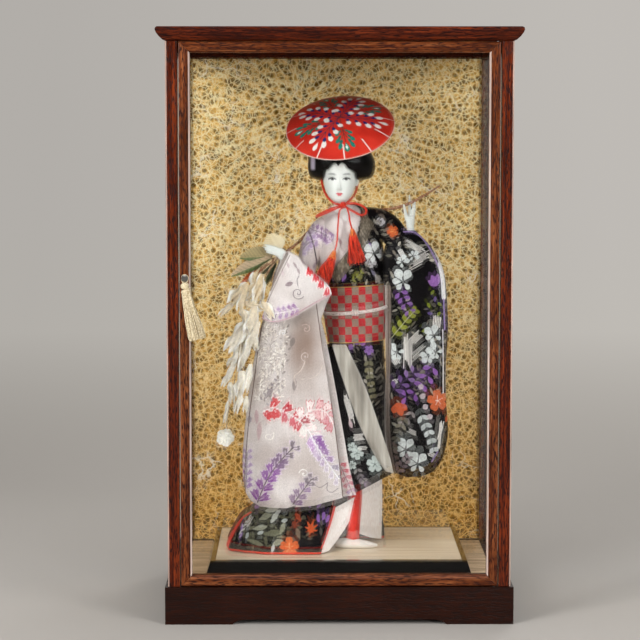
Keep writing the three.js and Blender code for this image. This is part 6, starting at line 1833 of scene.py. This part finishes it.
# %% [markdown]
# Both hands are carved in one piece, with long narrow fingers. Each finger is its own tapering
# skin, and a remesh fuses them with the palm. Her right hand lies over the branch with straight
# fingers, and her left hand holds it between finger and thumb.

# %% Hands
def hand(name, stations):
    parts = [skin(f"{name}_{k}", limb(rows, 28, 30, hint=hint), shell_paint)
             for k, (rows, hint) in enumerate(stations)]
    made = fuse(name, parts, 0.45, 4, shell_paint)
    weave_in(loom(made), made)
    return made


FRONT = (0, 1, 0)
right_hand = hand("right_hand_carving",
                  [([(-33, -45, 287, 4.6, 4.6), (-45, -46, 300, 4.2, 4.2), (-54, -47, 309, 4.2, 3.6),
                     (-60, -48, 312.4, 5.2, 3.0), (-64.5, -48.4, 314.6, 4.2, 2.0)], FRONT),
                   *[([(-58, -48.4 - 0.2 * k, 315.4 - 2.35 * k, 1.5, 1.7),
                       (-68 + 0.6 * k, -50.2, 319.4 - 2.5 * k, 1.25, 1.4),
                       (-77.4 + 1.2 * abs(k - 1), -50.8, 321.6 - 2.5 * k, 0.7, 0.8)], FRONT)
                     for k in range(4)],
                   ([(-52, -49.5, 306, 2.4, 2), (-57, -51.6, 306.8, 1.8, 1.7),
                     (-62, -52.4, 308.6, 1.0, 1.0)], FRONT)])
left_hand = hand("left_hand_carving", [
    ([(82, -8, 306, 4.6, 4), (78, -8, 322, 4.4, 3.8), (76.4, -8, 335, 4.0, 3.1), (76, -8, 344, 4.6, 2.9),
      (75.8, -8, 349, 4.4, 2.2)], FRONT),
    ([(72.6, -8, 345, 2.2, 2.1), (70.6, -8.5, 354, 1.6, 1.7), (69, -9, 361.5, 0.9, 0.9)], FRONT),
    ([(78.2, -8, 346, 2.2, 2.0), (80, -8.5, 357, 1.7, 1.6), (80.6, -9, 365.5, 0.9, 0.9)], FRONT),
    ([(77.4, -7, 347, 2.0, 1.8), (79.2, -5.4, 357, 1.5, 1.5), (79.4, -6.2, 362.5, 0.9, 0.9)], FRONT),
    ([(75.6, -6.6, 346, 2.2, 1.8), (75.4, -3.4, 358, 1.6, 1.6), (75.3, -4, 371, 0.8, 0.9)], FRONT)])
dress(right_hand, "white_shell_paint", "right_hand")
dress(left_hand, "white_shell_paint", "left_hand")
print("hands:", len(right_hand.data.polygons), len(left_hand.data.polygons))

# %% [markdown]
# The wig is real hair, oiled and combed over a form into two wide side puffs with a flat lower
# edge. Its brow line has a small heart-shaped peak. The brow is cut from a full wig with a
# boolean, and combed lines are left to the bump of its material. A pale streak painted down the
# left puff stands in for a lamp's highlight.

# %% Hair
hair_gloss, tree, shader = start("oiled_black_hair", "060404", 0.3, Coat_Weight=0.1, Coat_Roughness=0.15,
                                 Specular_IOR_Level=0.08)
place = add(tree, "TexCoord")
parts = add(tree, "SeparateXYZ", {"Vector": place.outputs["Object"]})
depth = add(tree, "Math", {0: parts.outputs["Y"], 1: -0.008}, operation="ADD")
round_head = add(tree, "Math", {0: depth.outputs[0], 1: parts.outputs["X"]}, operation="ARCTAN2")
comb_place = add(tree, "CombineXYZ", {"X": round_head.outputs[0], "Z": parts.outputs["Z"]})
comb = add(tree, "Mapping", {"Vector": comb_place.outputs[0], "Scale": (46.0, 1.0, 35.0)})
streak = add(tree, "TexNoise", {"Vector": comb.outputs[0], "Scale": 1.0, "Detail": 4.0, "Roughness": 0.7})
tone = add(tree, "ValToRGB", {"Fac": streak.outputs["Fac"]}, stops=[(0.35, "030202"), (0.7, "151110")])
# Painted highlight: a pale streak down the front of the left puff, high on the wig, mixed into its colour.
aside = add(tree, "MapRange", {"Value": parts.outputs["X"], "From Min": -0.0232, "From Max": -0.0252})
beyond = add(tree, "MapRange", {"Value": parts.outputs["X"], "From Min": -0.0292, "From Max": -0.0272})
high = add(tree, "MapRange", {"Value": parts.outputs["Z"], "From Min": 0.4545, "From Max": 0.457})
front = add(tree, "MapRange", {"Value": parts.outputs["Y"], "From Min": 0.262, "From Max": 0.255})
band = add(tree, "Math", {0: aside.outputs[0], 1: beyond.outputs[0]}, operation="MULTIPLY")
end = add(tree, "Math", {0: high.outputs[0], 1: front.outputs[0]}, operation="MULTIPLY")
painted_hair_highlight = add(tree, "Math", {0: band.outputs[0], 1: end.outputs[0]}, operation="MULTIPLY")
final = add(tree, "Mix", {0: painted_hair_highlight.outputs[0], 6: tone.outputs[0], 7: linear("b9b2c4")}, data_type="RGBA")
tree.links.new(final.outputs[2], shader.inputs["Base Color"])
bump(tree, shader, streak.outputs["Fac"], 0.0005, 0.5)

hair = skin("combed_hair", loft([
    (4, 20, 379, 10, 9), (4, 15, 385.5, 22, 17), (4, 10, 388.5, 31, 23), (4, 8, 394, 34.5, 26),
    (4.1, 7, 402, 35.4, 27.5), (4, 7, 410, 34, 27.5), (3.6, 8, 420, 28, 25), (3.2, 10, 430, 18, 19),
    (3, 11, 438, 12.5, 13.5), (3, 10, 450, 8, 8)], 200, 160), hair_gloss)
brow = [(323.4, 204), (323.1, 171), (325.5, 169.6), (328.1, 169), (330.1, 166.3), (332, 164),
        (334.3, 162.7), (336.8, 163.7), (338.2, 166.4), (340, 163.5), (342.2, 162.3), (345.5, 164.4),
        (348, 168), (352.1, 170.2), (355, 171.6), (357, 173.2), (357.2, 204)]
brow = trace(-17, *brow)
opening = skin("brow_room", np.array([[(x, y, z) for x, z in brow] for y in (-42, 2)], float), hair_gloss)
cut = hair.modifiers.new("brow", "BOOLEAN")
cut.object, cut.operation, cut.solver = opening, "DIFFERENCE", "EXACT"
fuse("combed_hair", [hair], 0.55, 3, hair_gloss)
bpy.data.objects.remove(opening)
dress(hair, "black_hair", "hair")
print("hair faces:", len(hair.data.polygons))

# %% [markdown]
# The flower hat is a shallow dome of vermilion lacquer, tipped over the brow. Fronds of white and
# blue petals take turns with green ones round its middle, and thin white ribs run out to the rim.
# They are painted with the same distance-from-outline method as the cloths.

# %% Hat
lacquer, tree, shader = start("vermilion_lacquer", "cf2f25", 0.3, Coat_Weight=0.35, Coat_Roughness=0.2)
edge = add(tree, "Attribute", attribute_name="outline")
thread = add(tree, "Attribute", attribute_name="thread")
inside = add(tree, "MapRange", {"Value": edge.outputs["Fac"], "From Min": 0.12, "From Max": -0.12})
place = add(tree, "TexCoord")
cloud = add(tree, "TexNoise", {"Vector": place.outputs["Object"], "Scale": 45.0, "Detail": 3.0})
tone = add(tree, "ValToRGB", {"Fac": cloud.outputs["Fac"]}, stops=[(0.35, "cc2c20"), (0.65, "e23c2c")])
final = add(tree, "Mix", {0: inside.outputs[0], 6: tone.outputs[0], 7: thread.outputs["Color"]},
            data_type="RGBA")
tree.links.new(final.outputs[2], shader.inputs["Base Color"])
bump(tree, shader, inside.outputs[0], 0.00015, 0.4)

HAT_RADIUS, HAT_RISE, HAT_THICKNESS = 57.5, 13.0, 2.0
hat_centre = np.array((2.75, 6, 441.6))
hat_turn = np.array(Matrix.Rotation(math.radians(-6.8), 3, "Y") @ Matrix.Rotation(math.radians(35), 3, "X"))


def dome(radius, rise, low, count, outwards):
    r = np.linspace(0.02, 1, count) if outwards else np.linspace(1, 0.02, count)
    a = TAU * np.arange(360) / 360
    z = rise * (1 - r**2.4) - low
    return np.stack([radius * r[:, None] * np.cos(a), radius * r[:, None] * np.sin(a), z[:, None] + 0 * a], 2)


shell = np.concatenate([dome(HAT_RADIUS, HAT_RISE, 0, 110, True),
                        dome(HAT_RADIUS - 1.4, HAT_RISE - HAT_THICKNESS, 0.9, 20, False)])
hat = skin("flower_hat", shell @ hat_turn.T + hat_centre, lacquer)
work = loom(hat)
local = (work["place"] - hat_centre) @ hat_turn
work["at"] = local[:, :2]


def out_from(angle, radius, aside=0.0):
    c, s = math.cos(angle), math.sin(angle)
    return np.array((radius * c - aside * s, radius * s + aside * c))


def frond(angle, rows, width, outer, inner, stem):
    """Painted petals on both sides of a line from the middle. Rows: radius, aside, lean, length."""
    stroke(work, [(0, 0), out_from(angle, rows[-1][0] + 4)], 0.7, stem)
    for radius, aside, lean, length in rows:
        for side in (-1, 1):
            root = out_from(angle, radius, side * aside)
            way = angle + side * lean
            stroke(work, [out_from(angle, radius - 8), root], 0.6, stem)
            petal(work, *root, way, length, width, outer, heavy=2.0)
            petal(work, *(root - out_from(way, 1)), way, length * 0.52, width * 0.74, inner, heavy=1.5)


for degrees in (24, 104, 192, 275):
    angle = math.radians(degrees)
    frond(angle, [(22, 2.5, 0.8, 9), (29, 3.6, 0.6, 11), (34, 3.2, 0.38, 13)], 4.2, "1c8472", "1d6f61",
          "4a3a34")
    petal(work, *out_from(angle, 38), angle, 12, 6.0, "128069", heavy=1.8)
    petal(work, *out_from(angle, 41), angle, 6.5, 1.8, "e4f3ea", heavy=1.2)
for degrees in (-12, 60, 146, 232):
    angle = math.radians(degrees)
    frond(angle, [(9, 2.4, 1.25, 9.5), (17.5, 3.4, 1.0, 11), (26, 4.2, 0.78, 12), (33, 3.4, 0.45, 13)],
          5.4, "f6efe8", "232c6e", "3b3450")
    petal(work, *out_from(angle, 40), angle, 11, 4.6, "f6efe8", heavy=1.8)
for degrees in range(0, 360, 30):
    angle = math.radians(degrees)
    bold = 1.3 if degrees in (240, 270, 300, 330) else 0.8
    stroke(work, [out_from(angle, 46 if bold < 1 else 41), out_from(angle, 57.4)], bold, "f5e3dc")
out = np.hypot(*local[:, :2].T)
inlay(work, np.arange(len(out)), HAT_RADIUS - 0.75 - out, "efc9bd")
underneath = local[:, 2] < HAT_RISE * (1 - np.clip(out / HAT_RADIUS, 0, 1) ** 2.4) - 1
work["edge"][underneath] = 9
weave_in(work, hat)
dress(hat, "red_lacquer", "hat")
print("hat points:", len(hat.data.vertices))

# %% [markdown]
# A red silk cord holds the hat. It runs down inside the hair and along the cheeks, and is tied in
# a bow under the chin. Each free end hangs to a tassel of loose threads, bound with an orange
# lattice. The bow is laid from three threads twisted together.

# %% Chin cord and bow
side = [(-15, 6, 452), (-17.4, 5, 428), (-18, 4, 410), (-17.6, 3, 394), (-15.9, 1, 380), (-12, -6, 370.6),
        (-5.2, -12.8, 363.6), (1.5, -17.5, 361.5)]
strap = smooth(side + [(5, -19, 360.8)] + [(4.6 - x, y, z) for x, y, z in side[-2::-1]], 260)
KNOT = (5.3, -20.5, 361)
right_bow = [KNOT, (17, -20.5, 363), (28, -19.5, 358.5), (29, -19.5, 353), (24, -20.5, 350.8),
             (15, -21.5, 355), (5.3, -21.5, 361)]
left_bow = [KNOT, (-9, -20.5, 356.6), (-21, -19.5, 350.6), (-21.4, -20.5, 349.4), (-10, -22.9, 354),
            (5.3, -21.5, 361)]
around = np.linspace(0, TAU, 20)
knot = [np.stack([KNOT[0] + s + 0.3 * np.cos(around), KNOT[1] - 0.6 + 2.3 * np.cos(around),
                  KNOT[2] + 2.4 * np.sin(around)], 1) for s in (-1.6, -0.2, 1.2)]
laid = [thread for path in (strap, smooth(right_bow, 110), smooth(left_bow, 110))
        for thread in braid(path, 3, 0.62, 5.0)]
chin_cord = strands("chin_cord_threads", laid, 0.68, red_silk_cord)
chin_knot = strands("chin_cord_knot", knot, 1.2, red_silk_cord, 10)
dress(chin_cord, "red_silk", "chin_cord")
dress(chin_knot, "red_silk")


def fringe(name, stations, count, radius, material, seed, wave):
    """Loose threads that fill a flattened tassel, with up to a twentieth of each one cut off."""
    ragged = 0.05
    pick = np.random.default_rng(seed)
    body = limb(stations, 360, 24)
    middle = body.mean(1, keepdims=True)
    t = np.linspace(0, 1, 18)
    paths = []
    for _ in range(count):
        column = (middle + (body - middle) * pick.uniform(0.15, 1) ** 0.5)[:, pick.integers(360)]
        path = between(column, t * (1 - ragged * pick.uniform()))
        sway, start_at = pick.normal(0, wave, 3), pick.uniform(0, TAU)
        paths.append(path + np.sin(9 * t + start_at)[:, None] * t[:, None] * sway)
    return strands(name, paths, radius, material, 5)


def lattice(name, stations, low, count, radius, material):
    """A net of thread round a tassel's head."""
    body = limb(stations, 360, 60)
    t = np.linspace(0.01, low, 24)
    paths = []
    for k in range(count):
        for way in (-1, 1):
            angle = (360 * k / count + way * 300 * (t - t[0]) / low).astype(int) % 360
            rows = (t * 60).astype(int)
            paths.append(body[rows, angle])
    return strands(name, paths, radius, material, 6)


orange_silk = silk_cord("orange_binding_silk", "f09a4c", "c8642a")
tassel_silk = silk_cord("red_tassel_silk", "f8482a", "6a0a05", 0.45, 800.0, 0.13)
left_tassel = [(-3.6, -26.4, 313.4, 1.4, 1.4), (-5, -26.8, 310, 2.4, 2.2), (-7.5, -28, 303, 4.6, 2.6),
               (-13, -30, 292, 6.6, 2.8), (-18, -31.5, 280.5, 7.4, 2.8)]
right_tassel = [(14.3, -27, 336.2, 1.4, 1.4), (15.2, -27.4, 333, 2.4, 2.2), (16, -27.8, 326, 4.8, 2.6),
                (18, -28.6, 313, 7.6, 2.8), (19.6, -29, 301, 9.6, 2.8)]
left_end = [(4, -24, 358), (1.2, -25, 354), (0, -25.6, 341), (-1.2, -25.6, 323), (-3.4, -26, 314)]
right_end = [(9.2, -22.6, 358.6), (11, -25, 353), (12, -26.2, 346), (14.2, -26.6, 337), (15.3, -27.2, 332),
             (16, -27.8, 327)]
cord_ends = [("left", left_end, left_tassel, 3), ("right", right_end, right_tassel, 8)]
for name, rows, tassel_rows, seed in cord_ends:
    path = smooth(rows, 60)
    run = float(np.linalg.norm(np.diff(path, axis=0), axis=1).sum())
    laid = limb([(*p, 0.9, 0.9) for p in path], 24, 240,
                fold=lambda a, t, run=run: 0.1 * (np.cos(3 * (a - TAU * t * run / 9)) - 1))
    cord = skin(f"{name}_cord_silk", laid, red_silk_cord)
    dress(cord, "red_silk", f"{name}_cord_end")
    threads_made = fringe(f"{name}_tassel_threads", tassel_rows, 95, 0.5, tassel_silk, seed, wave=1.1)
    net = lattice(f"{name}_tassel_binding", tassel_rows, 0.42, 5, 0.55, orange_silk)
    cap = skin(f"{name}_tassel_head", limb(tassel_rows[:3], 40, 20), tassel_silk)
    dress(threads_made, "red_silk", f"{name}_chin_tassel")
    dress(net, "red_silk")
    dress(cap, "red_silk")
    print(name, "cord end:", round(run, 1), "mm")

# %% [markdown]
# She carries a wisteria branch over her shoulders. A real twig runs behind her neck, silk leaves
# fan out from her right hand, and a long cluster of crumpled crepe petals hangs from it. The
# petals are three crumpled shapes, put along the cluster by Geometry Nodes.

# %% Branch and leaves
bark = mottled("dry_brown_twig", "83523f", 0.6, 420.0, [(0.35, "6b3d2a"), (0.55, "a4694c"), (0.75, "d3a384")],
               detail=4.0, relief=(0.0004, 0.6))
branch_route = [(107, -9, 381), (91.8, -8.5, 371.4), (75.6, -7.8, 362.5), (61.4, 0, 357.5), (48, 12, 354.8),
                (36, 20, 355), (20, 24, 354), (0, 23, 349), (-16, 19, 342), (-31, 12.5, 331),
                (-42, 0, 320.5), (-50, -20, 315.5), (-58, -37, 310.5), (-68, -43, 304), (-80, -45, 293),
                (-92, -46, 281)]
girth = [0.9, 1.3, 1.5, 1.6, *[1.5] * 9, 1.4, 1.0, 0.6]
branch = skin("twig_bark", limb([(*p, g, g) for p, g in zip(branch_route, girth)], 20, 300,
                                hint=(0.1, 0.3, 1),
                                fold=lambda a, t: 0.16 * np.sin(3 * a + 40 * t) * np.sin(90 * t)), bark)
dress(branch, "twig", "branch")

leaf_silk, tree, shader = start("dyed_silk_leaf", "6d7f4a", 0.5, Sheen_Weight=0.3)
tint = add(tree, "Attribute", attribute_name="tint")
vein = add(tree, "Attribute", attribute_name="vein")
lines = add(tree, "Math", {0: vein.outputs["Fac"], 1: 60.0}, operation="MULTIPLY")
wave = add(tree, "Math", {0: lines.outputs[0]}, operation="SINE")
shade = add(tree, "MapRange", {"Value": wave.outputs[0], "From Min": -1.0, "To Min": 0.82, "To Max": 1.12})
final = add(tree, "VectorMath", {0: tint.outputs["Color"], "Scale": shade.outputs[0]}, operation="SCALE")
tree.links.new(final.outputs[0], shader.inputs["Base Color"])
bump(tree, shader, wave.outputs[0], 0.0002, 0.5)
leaves = []
Y_LEAF = -43


def leaf(base, tip, upper, lower, colors, depth, curl):
    """A folded leaf between two points of the picture, as wide above its midrib as upper."""
    (x0, z0), (x1, z1) = seen(*base, Y_LEAF), seen(*tip, Y_LEAF)
    run = np.array((x1 - x0, z1 - z0))
    across = np.array((-run[1], run[0])) / np.hypot(*run)
    across *= math.copysign(1, across[1])
    down, wide = 50, 24
    net = []
    for t in np.linspace(0, 1, 9):
        swell = math.sin(math.pi * (0.04 + 0.92 * t) ** 0.85) ** 0.8
        row = []
        for s in (-1, -0.5, 0, 0.5, 1):
            reach = s * (upper if s > 0 else lower) * swell
            x, z = np.array((x0, z0)) + run * t + across * reach
            row.append((x, depth - curl * (1 - abs(s)) * swell + 2.5 * t * (s > 0), z))
        net.append(row)
    made = cloth(f"leaf_{len(leaves)}", net, wide, down, 0.5, leaf_silk,
                 fold=lambda u, v: 0.5 * np.sin(7 * v + 4 * u))
    place = points_of(made)
    flat = place[:, [0, 2]] - (x0, z0)
    t = np.clip(flat @ run / (run @ run), 0, 1)
    s = flat @ across
    top, low = (np.array(linear(c)) for c in colors)
    tone = np.where((s > 0)[:, None], top, low) * (0.8 + 0.35 * t)[:, None]
    tone[:, 3] = 1
    keep(made, "tint", tone, "FLOAT_COLOR")
    keep(made, "vein", t - 0.02 * abs(s))
    leaves.append(made)


leaf((277, 252), (270, 234), 12, 12, ("ecdcb4", "e6d3a6"), -40.5, 2)
leaf((272, 256), (240, 258), 10.5, 4.5, ("b9a674", "56743f"), -42, 2)
leaf((272, 258), (231, 276), 8.5, 4.5, ("cdb38f", "5b7642"), -43.5, 2)
leaf((270, 262), (241, 284), 5, 4, ("dd6a20", "c4541a"), -40, 1)
# This leaf lies in shade behind the others: its dark green is partly its own colour and partly painted shade.
leaf((276, 258), (255, 276), 4, 6, ("4a5f33", "33462a"), -39.5, 1)
leaf((275, 262), (266, 284), 4, 5, ("5b6b3c", "39482b"), -40, 1)
dress(leaves[0], "silk_leaves", "leaves")
for made in leaves[1:]:
    dress(made, "silk_leaves")
stalk = mottled("pale_paper_stalk", "cdb68b", 0.6, 260.0, [(0.4, "8a6244"), (0.6, "d9c59c")],
                relief=(0.0002, 0.5))
stalk_ends = [((276, 257), (262, 266), (247, 281)), ((277, 258), (266, 268), (257, 275)),
              ((278, 259), (271, 268), (264, 280)), ((280, 259), (275, 270), (271, 282)),
              ((276, 257), (259, 270), (246, 292))]
stalk_paths = [[(x, -50 - 0.8 * i, z) for i, (x, z) in enumerate(trace(-50, *row))] for row in stalk_ends]
stalks = strands("flower_stalks", stalk_paths, 0.6, stalk, 8)
dress(stalks, "twig")
print("leaves and stalks:", len(leaves), len(stalk_ends))

# %% [markdown]
# The cluster hangs from her hand: two dozen petals of ivory crepe, each crumpled in its own way,
# with a paler rim, and one open flower at the end. Three petals are modelled, and a tree with a
# petal and a finish as inputs puts one on every point with that point's own turn and size.

# %% Wisteria petals
crepe, tree, shader = start("crumpled_ivory_crepe", "e2d5bb", 0.6, Sheen_Weight=0.4, Subsurface_Weight=0.15)
shader.inputs["Subsurface Radius"].default_value = (0.002, 0.0018, 0.0012)
place = add(tree, "TexCoord")
rim = add(tree, "Attribute", attribute_name="rim")
height = add(tree, "SeparateXYZ", {"Vector": place.outputs["Object"]})
low = add(tree, "MapRange", {"Value": height.outputs["Z"], "From Min": 0.345, "From Max": 0.27})
pale = add(tree, "Mix", {0: low.outputs[0], 6: linear("dcc69e"), 7: linear("fbf4e4")}, data_type="RGBA")
edged = add(tree, "Mix", {0: rim.outputs["Fac"], 6: pale.outputs[2], 7: linear("fffdf4")}, data_type="RGBA")
crinkle = add(tree, "TexNoise", {"Vector": place.outputs["Object"], "Scale": 330.0, "Detail": 4.0})
shade = add(tree, "MapRange", {"Value": crinkle.outputs["Fac"], "From Min": 0.3, "From Max": 0.7,
                               "To Min": 0.78, "To Max": 1.2})
final = add(tree, "VectorMath", {0: edged.outputs[2], "Scale": shade.outputs[0]}, operation="SCALE")
tree.links.new(final.outputs[0], shader.inputs["Base Color"])
bump(tree, shader, crinkle.outputs["Fac"], 0.0006, 0.7)


def crumpled(seed):
    """One petal, 20 mm long and 10 mm wide, hanging from the origin."""
    pick = np.random.default_rng(seed)
    a, b, c = pick.uniform(0, TAU, 3)
    net = []
    for t in np.linspace(0, 1, 7):
        half = 5.4 * (0.12 + math.sin(math.pi * (0.06 + 0.72 * t)) ** 0.7)
        net.append([(half * s * (1 + 0.2 * math.sin(9 * t * s + b)) + 1.2 * math.sin(5 * t + a),
                     4.0 * (s * s - 0.4) * math.sin(math.pi * t) + math.sin(4 * t + b),
                     -20 * t + 3.4 * t * math.cos(6.5 * s + c)) for s in (-1, -0.5, 0, 0.5, 1)])

    def crinkles(u, v):
        broad = 1.5 * np.sin(11 * u + 4 * v + a) + 0.9 * np.sin(21 * u - 6 * v + b)
        return v * (broad + 0.7 * np.sin(17 * v + 7 * u + c))

    made = cloth(f"petal_{seed}", net, 20, 30, 0.35, crepe, fold=crinkles)
    local = points_of(made)
    half = 5.4 * (0.12 + np.sin(np.pi * np.clip(0.06 - 0.72 * local[:, 2] / 20, 0.02, 0.93)) ** 0.7)
    to_side, to_end = (abs(local[:, 0]) / half - 0.6) * 3, np.clip(-local[:, 2] / 20 - 0.85, 0, 1) * 6
    near_rim = np.clip(to_side + to_end, 0, 1)
    keep(made, "rim", near_rim)
    for vertex in made.data.vertices:
        vertex.co -= Vector(DOLL_PLACE / 1000)
    return made


def cluster_tree():
    tree, given, result = geometry_tree("cluster", [("Petal", "Object"), ("Finish", "Material")])
    turn = add(tree, "GeometryNodeInputNamedAttribute", {"Name": "turn"}, data_type="FLOAT_VECTOR")
    size = add(tree, "GeometryNodeInputNamedAttribute", {"Name": "size"}, data_type="FLOAT_VECTOR")
    shape = add(tree, "GeometryNodeObjectInfo", {"Object": given.outputs["Petal"]})
    points = add(tree, "GeometryNodeMeshToPoints", {"Mesh": given.outputs["Geometry"]})
    way = add(tree, "FunctionNodeEulerToRotation", {"Euler": turn.outputs["Attribute"]})
    put = add(tree, "GeometryNodeInstanceOnPoints",
              {"Points": points.outputs[0], "Instance": shape.outputs["Geometry"],
               "Rotation": way.outputs[0], "Scale": size.outputs["Attribute"]})
    real = add(tree, "GeometryNodeRealizeInstances", {"Geometry": put.outputs[0]})
    done = add(tree, "GeometryNodeSetMaterial",
               {"Geometry": real.outputs[0], "Material": given.outputs["Finish"]})
    tree.links.new(done.outputs[0], result.inputs[0])
    return tree


PETALS = [(248, 284, 232, 303, 15, 0.3), (234, 302, 220, 315, 6, 0.8), (256, 272, 258, 301, 14, -0.2),
          (262, 274, 253, 299, 9, 0.9), (243, 303, 262, 306, 9, 0.5), (262, 300, 273, 318, 9, -0.4),
          (241, 309, 251, 327, 10, 0.1), (255, 306, 249, 331, 12, 0.6), (247, 323, 227, 349, 13, 0.2),
          (250, 325, 240, 351, 11, -0.6), (258, 321, 250, 346, 10, 1.0), (241, 344, 236, 370, 11, 0.5),
          (237, 352, 228, 367, 8, -0.8), (249, 340, 243, 366, 9, 0.8), (234, 366, 223, 385, 6, 0.4),
          (243, 371, 240, 394, 12, 0.1), (250, 364, 247, 390, 8, 0.7), (231, 382, 232, 402, 7, 0.2),
          (240, 391, 237, 411, 7, -0.3), (246, 396, 246, 411, 6, 0.5), (229, 400, 224, 421, 4, 0.3),
          (255, 284, 243, 300, 10, -0.9), (244, 288, 240, 309, 10, 1.1), (252, 330, 256, 349, 7, 0.4)]
BLOSSOM = (225.4, 437.0)
shapes = [crumpled(seed) for seed in (4, 11, 23)]
cluster = cluster_tree()
for k, shape in enumerate(shapes):
    rows = PETALS[k::3]
    mesh = bpy.data.meshes.new(f"petal_points_{k}")
    roots, turns, sizes = [], [], []
    for i, (px0, py0, px1, py1, wide, spin) in enumerate(rows):
        deep = -58 - 1.2 * (i % 3) + 0.8 * k
        (x0, z0), (x1, z1) = seen(px0, py0, deep), seen(px1, py1, deep)
        length = math.hypot(x1 - x0, z1 - z0)
        roots.append(tuple((np.array((x0, deep, z0)) + DOLL_PLACE) / 1000))
        turns += [0.12 * math.sin(5 * i), math.atan2(x0 - x1, z0 - z1), spin * 0.5]
        sizes += [wide / 11, 1.0, length / 20.5]
    mesh.from_pydata(roots, [], [])
    made = bpy.data.objects.new(f"wisteria_petals_{k}", mesh)
    bpy.context.scene.collection.objects.link(made)
    keep(made, "turn", turns, "FLOAT_VECTOR")
    keep(made, "size", sizes, "FLOAT_VECTOR")
    bake(made, cluster, Petal=shape, Finish=crepe)
    dress(made, "silk_petals", *(["wisteria"] if k == 0 else []))
for shape in shapes:
    bpy.data.objects.remove(shape)
stem_points = [(276, 257), (270, 268), (258, 284), (248, 304), (242, 330), (238, 360), (233, 390),
               (228, 415), (226, 433)]
stem_path = [(x, -53 - 3 * min(i, 2), z) for i, (x, z) in enumerate(trace(-56, *stem_points))]
stem = strands("cluster_stem", [smooth(stem_path, 60)], 0.55, stalk, 8)
r = np.concatenate([np.linspace(0.03, 1, 26), np.linspace(1, 0.03, 16)])[:, None]
a = TAU * np.arange(160)[None] / 160
ruffle = 1 + 0.07 * np.cos(5 * a + 0.6) + 0.03 * np.sin(13 * a)
deep = -58.5 - 5.5 * r**2 + 0.9 * r * np.sin(9 * a + 6 * r)
deep = deep + 1.1 * np.exp(-(((r - 0.42) / 0.12) ** 2)) * np.cos(3 * a)
deep = deep + np.where(np.arange(42) < 26, 0, 0.7)[:, None]
cup_x, cup_z = seen(*BLOSSOM, -60)
cup = np.stack([cup_x + 9.0 * r * ruffle * np.cos(a), deep, cup_z + 9.0 * r * ruffle * np.sin(a)], 2)
bud = skin("blossom_cup", cup, crepe)
keep(bud, "rim", np.full(len(bud.data.vertices), 0.8))
dress(stem, "twig")
dress(bud, "silk_petals")
print("petals placed:", len(PETALS))

# %% [markdown]
# A cream cotton cord is looped behind the door's knob, with a knot and a loose tassel below. It is
# the only soft piece that moves by itself, so it rides on the tassel's body.

# %% Pull cord and tassel
cream_cotton = silk_cord("cream_cotton_thread", "e6d8b8", "b09b74", 0.8, 700.0)
PULL = np.array((-154.3, -135.2, 293.0))
LOOP_RADIUS, NECK = 5.2, 2.9
turn = np.linspace(0, TAU, 90)
reach = np.where(np.sin(turn) > 0, NECK, LOOP_RADIUS)
loop = np.stack([NECK * np.cos(turn), 2.3 + 0 * turn, reach * np.sin(turn)], 1) + PULL
pull_cord = strands("pull_cord_threads", braid(loop, 3, 0.48, 4.0), 0.5, cream_cotton)
KNOT_TOP = -LOOP_RADIUS
a = np.linspace(0, TAU, 26)
round_knot = [PULL + 0.95 * np.stack([3.3 * np.cos(a + k) * np.cos(0.3 * k), 3.0 * np.sin(a + k),
                                      KNOT_TOP - 2.6 + 1.6 * np.sin(a + 2 * k)], 1) for k in range(5)]
pull_knot = strands("pull_knot_turns", round_knot, 1.0, cream_cotton, 8)
core_rows = [(0, 0, KNOT_TOP + 1, 1.2, 1.2), (0, 0, KNOT_TOP - 0.6, 3.1, 2.9),
             (0.4, 0, KNOT_TOP - 3.4, 3.4, 3), (0.6, 0, KNOT_TOP - 6, 2.2, 2.2)]
core = skin("pull_knot_core", loft(core_rows, 32, 24) + PULL, cream_cotton)
TASSEL_TOP, TASSEL_LENGTH, TASSEL_LEAN = KNOT_TOP - 6.3, 50.0, 12.5
rows = [(0.6, 0, 0, 2.2, 2.2), (0.9, 0, -1.2, 4.6, 3.1), (1.6, 0, -4.5, 4.4, 2.9),
        (0.4 * TASSEL_LEAN, 0, -20, 6.0, 3.2), (0.72 * TASSEL_LEAN, 0, -36, 8.0, 3.4),
        (TASSEL_LEAN, 0, -TASSEL_LENGTH, 9.0, 3.3)]
rows = [(x + PULL[0], y + PULL[1], z + PULL[2] + TASSEL_TOP, wide, deep) for x, y, z, wide, deep in rows]
pull_tassel = fringe("pull_tassel_threads", rows, 170, 0.42, cream_cotton, 15, wave=0.4)
bound_x, bound_y, bound_z = rows[2][:3]
turns = [(bound_x + 4.6 * math.cos(a), bound_y + 3.1 * math.sin(a), bound_z + 0.35 * a)
         for a in np.linspace(0, TAU * 3, 40)]
binding = strands("pull_tassel_binding", [smooth(turns, 160)], 0.45, cream_cotton, 8)
dress(pull_cord, "cream_thread", "pull_cord", body="tassel")
dress(pull_tassel, "cream_thread", "pull_tassel", body="tassel")
for piece in (pull_knot, core, binding):
    dress(piece, "cream_thread", body="tassel")
print("pull tassel threads:", len(pull_tassel.data.polygons))

# %% [markdown]
# The doll's trunk is a bundle of rice straw on a steel wire, out of sight under the robe.

# %% Straw
straw = mottled("bundled_rice_straw", "bf9f62", 0.75, 600.0, [(0.35, "8c6c38"), (0.65, "d3b87c")],
                stretch=(1.0, 1.0, 0.05), relief=(0.0006, 0.7))
finish(straw, "straw_body")
